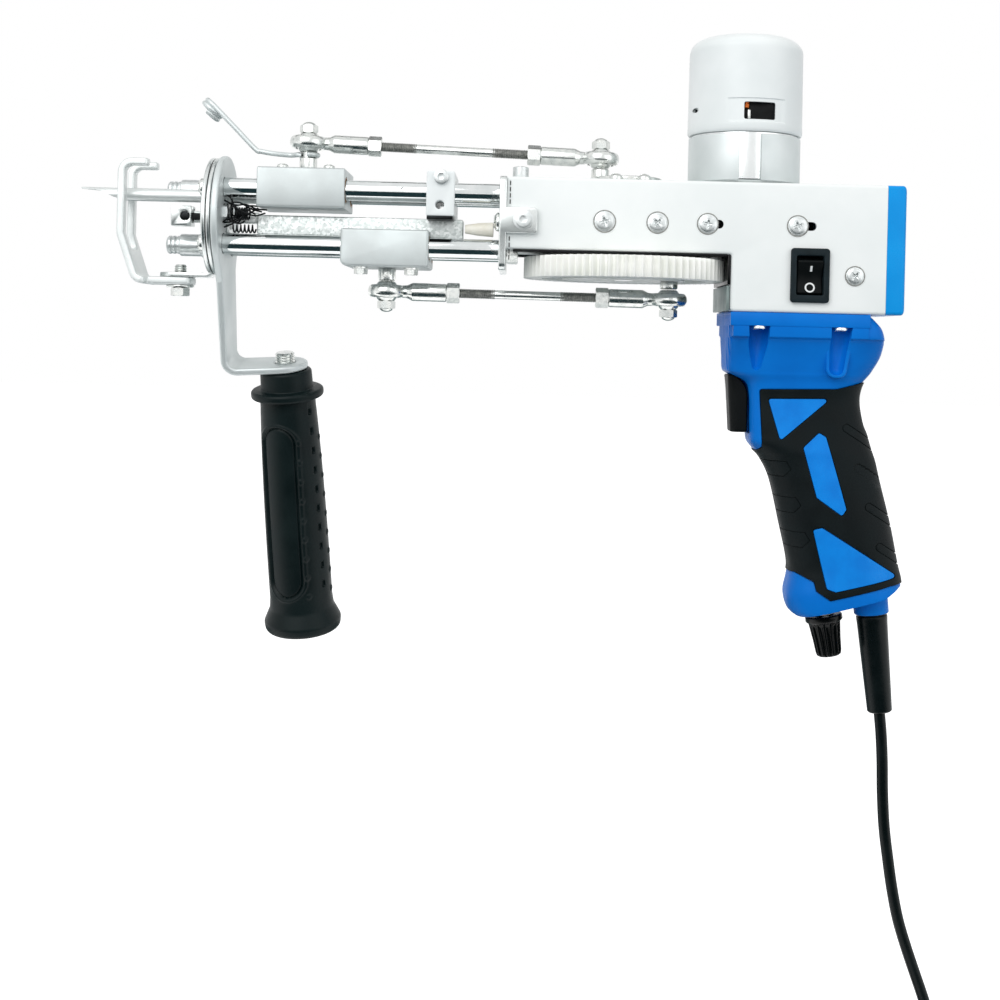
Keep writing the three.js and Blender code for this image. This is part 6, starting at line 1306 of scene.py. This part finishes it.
# Motor: drawn can, flux ring with a gap in front, white cap with a framed window onto the winding. Heights
# are from the can's underside. The cap's outer radius steps in by "frame" over the window's angles.
motor = {
    "z": 120.4, "can": (21.2, 19.7, 1.5), "ring": (21.3, 22.2, 0.8, 18.9),
    "ringGap": (-4.9, 3.9, -24, -18, -2, 22), "top": 58.7, "wall": 1.8,
    "frame": 0.45, "frameFrom": -23, "frameTo": 34, "window": (-3.3, 9.0, 24.3, 31.1, 0.8),
    "pinHole": (-20.7, -8.6, 29.0), "board": (-3.6, 8.8, -19.3, -18.2, 23.4, 32, 0.2),
    "lug": (-1.6, -0.6, -20.2, -19.2, 24.6, 28.2, 0.2), "choke": (-2.2, -19.8, 28.6),
    "rotor": [(0, -38.4), (2.5, -38.4), (2.5, 4.5), (16, 4.5), (16, 26.5), (12, 29), (7, 29.2), (7, 38),
              (2.5, 38), (2.5, 39.5), (0, 39.5)],
}
m = motor
motorPlace = shift(motorX, 0, m["z"])
radius, high, wall = m["can"]
can = roundedRing([(3.1, 0), (radius, 0), (radius, high), (radius - wall, high), (radius - wall, wall),
                   (3.1, wall)], [0, 1.6, 0.2, 0.2, 1, 0], 6, 128)
showPiece(put(can, motorPlace), "motor_can_shell", "drawnSteel", "frame", "motor_can")
inner, outer, low, high = m["ring"]
band = roundedRing([(inner, low), (outer, low), (outer, high), (inner, high)], [0, 0.25, 0.25, 0], 3, 128)
band = carve(band, block(*m["ringGap"]))
showPiece(put(band, motorPlace), "flux_ring_band", "bandZinc", "frame", "flux_ring", sharp=30)
top, roof = m["top"], m["top"] - m["wall"]
degrees = (np.arange(144) / 144 * 360 + 90) % 360
framed = m["frame"] * ((degrees > 360 + m["frameFrom"]) | (degrees < m["frameTo"]))


# Quarter of an ellipse from the edge to the crown: radius = edge - wide * (1 - cos a), height = top - high *
# (1 - sin a).
def domeRows(wide, high, edge, top, turns):
    return [(edge - wide * (1 - math.cos(a)), top - high * (1 - math.sin(a))) for a in turns]


capRows = [(19.7, 19.8), (22.2, 19.8), (22.45, 20.1), (22.8, 20.8), (22.7, 23.2), (22.7 - framed, 23.5),
           (22.6 - framed, 32.3), (22.6, 32.6), (22.5, 50),
           *domeRows(8, 6.2, 22.45, top, np.linspace(0, math.pi / 2, 16)), (0, top), (0, roof),
           *domeRows(6, 4.4, 20.9, roof, np.linspace(math.pi / 2, 0, 10)), (20.9, 21.6), (19.7, 21.6)]
window = put(plate([rectangle(*m["window"])], 14, 0), shift(0, -20, 0) @ sideOn)
pinHole = put(dowel(1.0, -4, 4, 24), shift(*m["pinHole"]) @ nearward)
motorCap = carve(turned(capRows, 144, True), window, pinHole)
showPiece(put(motorCap, motorPlace), "motor_cap_shell", "whiteLacquer", "frame", "motor_cap", sharp=34)
rotor = turned(profile(m["rotor"], [0, 0.3, 0, 1.5, 3, 2, 0, 0.5, 0, 0.3, 0], 4), 72)
showPiece(put(rotor, motorPlace), "motor_rotor_core", "copperWire", "motor_drive", "motor_rotor")
showPiece(put(block(*m["board"]), motorPlace), "motor_board", "darkBoardAndShade", "frame")
showPiece(put(block(*m["lug"]), motorPlace), "motor_lug", "plated", "frame")
choke = turned(profile([(0, 0), (1.2, 0), (1.2, 2.6), (0, 2.6)], [0, 0.4, 0.4, 0], 4), 32)
showPiece(put(choke, motorPlace @ shift(*m["choke"])), "motor_choke", "copperWire", "frame")
print("motor")

# Rocker switch: bezel round a well, body behind the panel, and the rocker with its printed marks. The rocker's
# face is two slopes that meet in a shallow valley, and the rocker is tilted about an axis behind the bezel.
switch = {
    "place": (-10.9, -23.1, 84.7), "bezel": (7.5, 10.5, 1.3), "opening": (5.2, 7.55, 0.6), "bezelDepth": 1.8,
    "box": (5.8, 8.8, 0.6), "boxOpening": (5.15, 7.5, 0.4), "boxDepth": 8.6, "boxY": 3.75,
    "floor": (-5.7, 5.7, 8.0, 16.0, -8.7, 8.7, 0.4), "tilt": 9, "axisY": 3.2, "half": 6.6, "wide": 9.6,
    "valley": 0.45, "markOn": (0.42, 1.9), "markOff": (1.95, 1.35), "markDepth": 0.12,
}
w = switch
upright = lambda half, high, corner: rectangle(-half, half, -high, high, corner)
bezel = plate([upright(*w["bezel"]), upright(*w["opening"])], w["bezelDepth"], 0.5, 3)
bezel = put(bezel, shift(0, -w["bezelDepth"] / 2, 0) @ sideOn)
well = plate([upright(*w["box"]), upright(*w["boxOpening"])], w["boxDepth"], 0.1)
well = put(well, shift(0, w["boxY"], 0) @ sideOn)
switchPlace = shift(*w["place"])
switchCase = put(merge(bezel, well, block(*w["floor"])), switchPlace)
showPiece(switchCase, "switch_case", "slateBlack", "frame", "switch_body", sharp=30)
half, valley = w["half"], w["valley"]
crest = -0.9 - half * math.tan(math.radians(w["tilt"]))
rockerView = rounded([(1.4, -half), (7.2, -1.6), (7.2, 1.6), (1.4, half), (crest, half), (valley, 0),
                      (crest, -half)], [0.4, 0.6, 0.6, 0.4, 0.7, 14, 0.7], 8)
tilt = switchPlace @ shift(0, w["axisY"], 0) @ spin(w["tilt"], "X") @ shift(0, -w["axisY"], 0)
rockerMesh = put(plate([rockerView], w["wide"], 0.35, 3), tilt @ endOn)
showPiece(rockerMesh, "rocker_button", "satinBlack", "switch_rocker", "rocker", sharp=30)
slope = math.degrees(math.atan2(valley - crest, half))
markOn = plate([upright(*w["markOn"], 0.05)], w["markDepth"], 0.02)
markOff = plate([circle(radius, count=48) for radius in w["markOff"]], w["markDepth"], 0.02)
face = lambda z: valley + (crest - valley) * abs(z) / half - 0.02
marks = merge(put(markOn, shift(0.4, face(2.6), 2.6) @ spin(slope, "X") @ sideOn),
              put(markOff, shift(0.1, face(4.0), -4.0) @ spin(-slope, "X") @ sideOn))
showPiece(put(marks, tilt), "rocker_marks", "whitePrint", "switch_rocker")
print("switch")

# Grip: sections from the top down, each with its drop, front reach, back reach, half width and how square its
# front and its back are. Drops are shares of the height, reaches shares of the length.
# The rubber panel, the windows in it and the slant below are outlines in the side view, as reach and drop.
# Pills and half hexagons are grooves that start at these places in millimetres.
grip = {
    "front": -40.8, "top": 70.1, "length": 73.2, "height": 120.6, "half": 22.5, "seam": 0.15, "rubber": 0.6,
    "depth": 0.8, "gap": 0.3, "groove": 0.35, "proud": 0.5, "windowDepth": 0.9, "windowRound": 0.55,
    "sections": [
        (0, 0, 0.749, 1, 8, 8), (0.02, 0.001, 0.785, 1, 8, 8), (0.045, 0.002, 0.822, 0.995, 7.5, 7.5),
        (0.076, 0.003, 0.84, 0.985, 7, 7), (0.084, 0.003, 0.843, 0.935, 6, 6),
        (0.1, 0.003, 0.845, 0.88, 6, 5.5), (0.14, 0.004, 0.834, 0.79, 5, 4.6),
        (0.185, 0.006, 0.797, 0.715, 4.5, 4), (0.2, 0.03, 0.78, 0.695, 4.5, 3.8),
        (0.227, 0.112, 0.752, 0.645, 4.5, 3.2), (0.278, 0.132, 0.738, 0.61, 4.5, 2.8),
        (0.35, 0.136, 0.758, 0.63, 4.5, 2.7), (0.391, 0.139, 0.785, 0.65, 4.2, 2.6),
        (0.422, 0.147, 0.8, 0.67, 4, 2.6), (0.45, 0.182, 0.815, 0.69, 3.2, 2.6),
        (0.48, 0.226, 0.832, 0.7, 2.8, 2.6), (0.548, 0.28, 0.86, 0.73, 2.5, 2.5),
        (0.685, 0.336, 0.92, 0.76, 2.5, 2.5), (0.812, 0.384, 0.965, 0.76, 2.5, 2.5),
        (0.863, 0.38, 0.985, 0.76, 2.7, 2.7), (0.92, 0.366, 0.988, 0.76, 3, 3),
        (0.974, 0.39, 0.955, 0.71, 3, 3), (1, 0.447, 0.9, 0.62, 3, 3),
    ],
    "panel": [(0.184, 0.249), (0.595, 0.243), (0.672, 0.231), (0.74, 0.221), (1.17, 0.202), (1.17, 0.869),
              (0.96, 0.871), (0.9, 0.875), (0.576, 0.925), (0.503, 0.896), (0.493, 0.868), (0.4, 0.842),
              (0.34, 0.85), (-0.05, 0.854), (-0.05, 0.48), (0.15, 0.475), (0.204, 0.436)],
    "windows": [[(0.228, 0.279), (0.555, 0.275), (0.294, 0.412)],
                [(0.417, 0.434), (0.5, 0.385), (0.537, 0.399), (0.648, 0.629), (0.627, 0.65), (0.492, 0.593)],
                [(0.478, 0.699), (0.523, 0.691), (0.944, 0.846), (0.603, 0.896), (0.557, 0.887)]],
    "below": [(0.1, 1.02), (0.447, 0.989), (0.69, 0.95), (0.87, 0.92), (0.96, 0.885), (1.2, 0.84), (1.2, 1.2),
              (0.1, 1.2)],
    "pills": [(6.8, 25.7), (11.6, 10.2), (15.8, -4.8), (20.4, -20.4)], "pillHalves": (1.75, 1.4),
    "pillTurn": [[0.86, -0.51], [0.51, 0.86]],
    "hexes": [(-18.2, 9.2), (-14.1, -4.9), (-10.4, -18.4)], "hexHalves": (3.2, 2.85),
    "pocket": (-46, -23.6, -7.3, 7.3, 22.4, 46.0), "ribs": (-19.5, -16, -12.5, -9, -5.5, -2),
    "bands": [(-40.8, 13.2, -22.75, -0.15, 64.9, 70.1, 0.3), (-39.7, 12.8, -22.45, -0.15, 60.7, 66, 0.3)],
    "screws": {"front": -29.5, "rear": 2.2}, "screwY": 19.6, "screwZ": 65.0,
}


# Place in the side view of a reach and a drop.
def gripPoint(reach, drop):
    g = grip
    return g["front"] + g["length"] * reach, g["top"] - g["height"] * drop


# Near half of the grip's skin moved out by a distance: at angle a of a section x = middle + half * r cos a
# and y = width * r sin a, with r = (|cos a|^n + |sin a|^n)^(-1/n) and n the squareness.
def gripSkin(out, columns=96, steps=7):
    g = grip
    drop, front, back, wide, powerFront, powerBack = smoothRun(g["sections"], steps).T[:, :, None]
    angle = np.linspace(math.pi, tau, columns + 1)[None]
    power = np.where(np.cos(angle) < 0, powerFront, powerBack)
    reach = (np.abs(np.cos(angle)) ** power + np.abs(np.sin(angle)) ** power) ** (-1 / power)
    middle, half = g["length"] * (front + back) / 2, g["length"] * (back - front) / 2
    x = g["front"] + middle + (half + out) * reach * np.cos(angle)
    y = np.minimum((g["half"] * wide + out) * reach * np.sin(angle), -g["seam"])
    return lofted(np.stack([x, y, g["top"] - g["height"] * drop + 0 * x], -1))


# Outline moved outwards by a distance: each corner goes along the bisector of its edges.
def grown(outline, distance):
    points = np.array(outline, float)
    ahead = np.roll(points, -1, 0) - points
    after = points + ahead
    area = np.sum(points[:, 0] * after[:, 1] - after[:, 0] * points[:, 1])
    normal = np.stack([ahead[:, 1], -ahead[:, 0]], -1) / np.linalg.norm(ahead, axis=1)[:, None] * np.sign(area)
    before = np.roll(normal, 1, 0)
    return points + distance * (normal + before) / (1 + np.sum(normal * before, axis=1))[:, None]


# Prism through the near half from outlines in the side view.
def sidePrism(*outlines, y=(-40, -0.1)):
    return put(plate(outlines, y[1] - y[0], 0), shift(0, sum(y) / 2, 0) @ sideOn)


# Layer of the skin between two distances, kept inside outlines.
def skinLayer(outer, inner, *outlines):
    return carve(carve(gripSkin(outer), gripSkin(inner)), sidePrism(*outlines), operation="INTERSECT")


g = grip
panelView = [gripPoint(*p) for p in g["panel"]]
windowViews = [[gripPoint(*p) for p in shape] for shape in g["windows"]]
trench = skinLayer(1.4, -1.1, rounded(grown(panelView, g["gap"]), 1, 3))
windowPlates = skinLayer(g["proud"], -g["windowDepth"], *[rounded(view, 0.8, 3) for view in windowViews])
windowPlates = ease(windowPlates, g["windowRound"], 3, 40)

# Slanted pills that run out over the back edge, and half hexagons on the front, each a fine groove.
pill = lambda half: rounded([(-half, -half), (26, -half), (26, half), (-half, half)],
                            [half * 0.98, 0, 0, half * 0.98], 8)
hexView = lambda half: np.array([(-16, half), (half * 0.5, half), (half + 0.5, 0), (half * 0.35, -half),
                                 (-16, -half)])
pillOutlines = [pill(half) @ np.array(g["pillTurn"]) + start
                for start in g["pills"] for half in g["pillHalves"]]
hexOutlines = [hexView(half) + start for start in g["hexes"] for half in g["hexHalves"]]
grooves = skinLayer(1.4, g["rubber"] - g["groove"], *pillOutlines, *hexOutlines)

# Rubber panel: the skin's layer inside the outline, without its windows, the grooves and the trigger's pocket.
pocket = block(*g["pocket"])
openings = sidePrism(*[rounded(grown(view, g["gap"]), 1, 3) for view in windowViews])
rubberPanel = skinLayer(g["rubber"], -g["depth"], rounded(panelView, 0.8, 3))
rubberPanel = ease(carve(rubberPanel, openings, grooves, pocket.copy()), 0.3, 2, 40)

# Blue half: skin with the trench, two bands under the housing, two screw channels, one of them in a raised
# boss, ribs in front, the trigger's pocket and the bores below.
knobPlace = shift(1.9, 0, -48.93) @ spin(-9.6, "Y")
reliefPlace = shift(21.2, 0, -48.4) @ spin(-6.2, "Y")


# Body between the side plane and a depth, seen from the side as an outline with rounded corners.
def sideForm(corners, radii, steps, deep, middleY, bevel, bevelSteps):
    form = plate([rounded(corners, radii, steps)], deep, bevel, bevelSteps)
    return put(form, shift(0, middleY, 0) @ sideOn)


channels = [sideForm([(-33.6, 65), (-33.2, 57.5), (-29.6, 40.6), (-25.8, 57.5), (-25.4, 65)],
                     [0, 16, 2.5, 16, 0], 8, 30, -28, 3.6, 5),
            sideForm([(-1.7, 65), (-1.7, 46.4), (3.6, 46.4), (6.5, 65)], [0, 3, 2.4, 0], 10, 30, -30, 3.4, 5)]
boss = sideForm([(-2.8, 62), (-2.8, 45.2), (4.9, 45.2), (7.8, 62)], [0, 4.2, 3.2, 0], 10, 12, -12.9, 0.9, 4)
below = sidePrism([gripPoint(*p) for p in g["below"]])
ribs = [block(-42, -39.2, y - 0.6, y + 0.6, 47.5, 69) for y in g["ribs"]]
bores = [put(dowel(3.1, -14, 30), knobPlace), put(dowel(5.2, -3, 30), reliefPlace)]
blueHalf = carve(gripSkin(0), boss, *[block(*band) for band in g["bands"]], operation="UNION")
blueHalf = ease(carve(blueHalf, trench, below, *channels, pocket, *bores, *ribs), 0.35, 2, 40)
for side, place in (("near", lambda mesh: mesh.copy()), ("far", mirrored)):
    showPiece(place(blueHalf), "grip_shell_" + side, "satinBlue", "frame", "grip_" + side, sharp=32)
    showPiece(place(windowPlates), "grip_windows_" + side, "windowBlue", "frame", sharp=32)
    showPiece(place(rubberPanel), "grip_panel_" + side, "rubber", "frame", "grip_rubber_" + side, sharp=32)
gland = roundedRing([(5.5, -0.3), (6.9, -0.3), (6.9, 8), (5.5, 8)], [0.3, 0.7, 0.2, 0.2], 3, 72)
showPiece(put(gland, reliefPlace), "grip_gland", "satinBlue", "frame")
for name, x in g["screws"].items():
    for side, y in (("near", -g["screwY"]), ("far", g["screwY"])):
        screw = put(screwHead(6.4, 1.5, "cross", 0.5), shift(x, y, g["screwZ"]) @ flip)
        showPiece(screw, f"grip_screw_{name}_{side}", "plated", "frame")
print("grip")

# Trigger: rings of a D that is round in front; its front leans and its top back corner is a wide arc.
trigger = {"low": 22.8, "high": 45.6, "lean": 1.6, "front": -39.3, "back": -31.8, "arc": 8.6, "half": 6.8,
           "ease": 0.5, "easeHeight": 0.6, "corners": [5.2, 0.7, 0.7, 5.2], "least": 2.5,
           "heights": [22.8, 23.0, 23.4, *np.linspace(24, 45.0, 36), 45.35, 45.6]}
t = trigger
rings = []
for height in t["heights"]:
    edges = [max(0.0, 1 - away / t["easeHeight"]) for away in (height - t["low"], t["high"] - height)]
    inset = t["ease"] * (edges[0] ** 2 + edges[1] ** 2)
    front = t["front"] + t["lean"] * (t["high"] - height) / (t["high"] - t["low"]) + inset
    rise = max(0.0, height - (t["high"] - t["arc"]))
    back = t["back"] - t["arc"] + math.sqrt(max(0.0, t["arc"] ** 2 - rise ** 2)) - inset + 0.5
    half = t["half"] - inset
    view = rectangle(front, max(back, front + t["least"]), -half, half, t["corners"], 10)
    rings.append(np.insert(view, 2, height, axis=1))
showPiece(lofted(rings), "trigger_key", "satinBlack", "trigger_button", "trigger", sharp=40)
dressNode("trigger_switch", "glossBlackAndShade", 0.4)
dressNode("speed_control", "darkBoardAndShade", 0.3)

# Speed knob: a ring under the grip and a tapered body with flutes; radius swings with the angle. Rows are
# radius, height and share of the flutes' depth.
knob = {"flutes": 14, "depth": 0.42, "sides": 168,
        "rows": [(0, 9, 0), (3, 9, 0), (3, -0.6, 0), (6.9, -0.6, 0), (7.4, -1.1, 0), (7.4, -2.7, 0),
                 (7.0, -3.2, 0), (6.5, -3.5, 0), (6.1, -4.2, 0.6), (5.8, -5.2, 1), (5.2, -10, 1),
                 (4.75, -15.4, 1), (4.5, -16.6, 0.8), (4.1, -17.1, 0), (3.6, -17.2, 0), (0, -17.2, 0)]}
wave = np.clip(np.cos(np.arange(knob["sides"]) / knob["sides"] * tau * knob["flutes"]) * 1.6, -1, 1)
knobMesh = turned([(radius + share * knob["depth"] * wave, height) for radius, height, share in knob["rows"]],
                  knob["sides"])
showPiece(put(knobMesh, knobPlace), "speed_knob_body", "glossBlackAndShade", "knob", "speed_knob", sharp=40)
showPiece(put(hexNut(9, 1.6, 3.15), knobPlace @ shift(0, 0, -0.45)), "speed_knob_nut", "plated", "frame")

# Strain relief: a tapered sleeve whose collar sits in the gland.
reliefRows = profile([(2.3, 6), (5.1, 6), (5.1, -1), (6.2, -1), (6.2, -2), (6.05, -4), (4.9, -39.2),
                      (4.3, -39.7), (2.3, -39.7)], [0, 0.4, 0, 0.3, 0.3, 0.6, 0.5, 0.3, 0.2], 4)
strainSleeve = put(turned(reliefRows, 72, True), reliefPlace)
showPiece(strainSleeve, "strain_sleeve", "cordPvc", "frame", "strain_relief", sharp=36)
print("controls")

size = {"cad": [[float(v) for v in corner] for corner in cadBox],
        "looks": [[float(v) for v in corner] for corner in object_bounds()]}
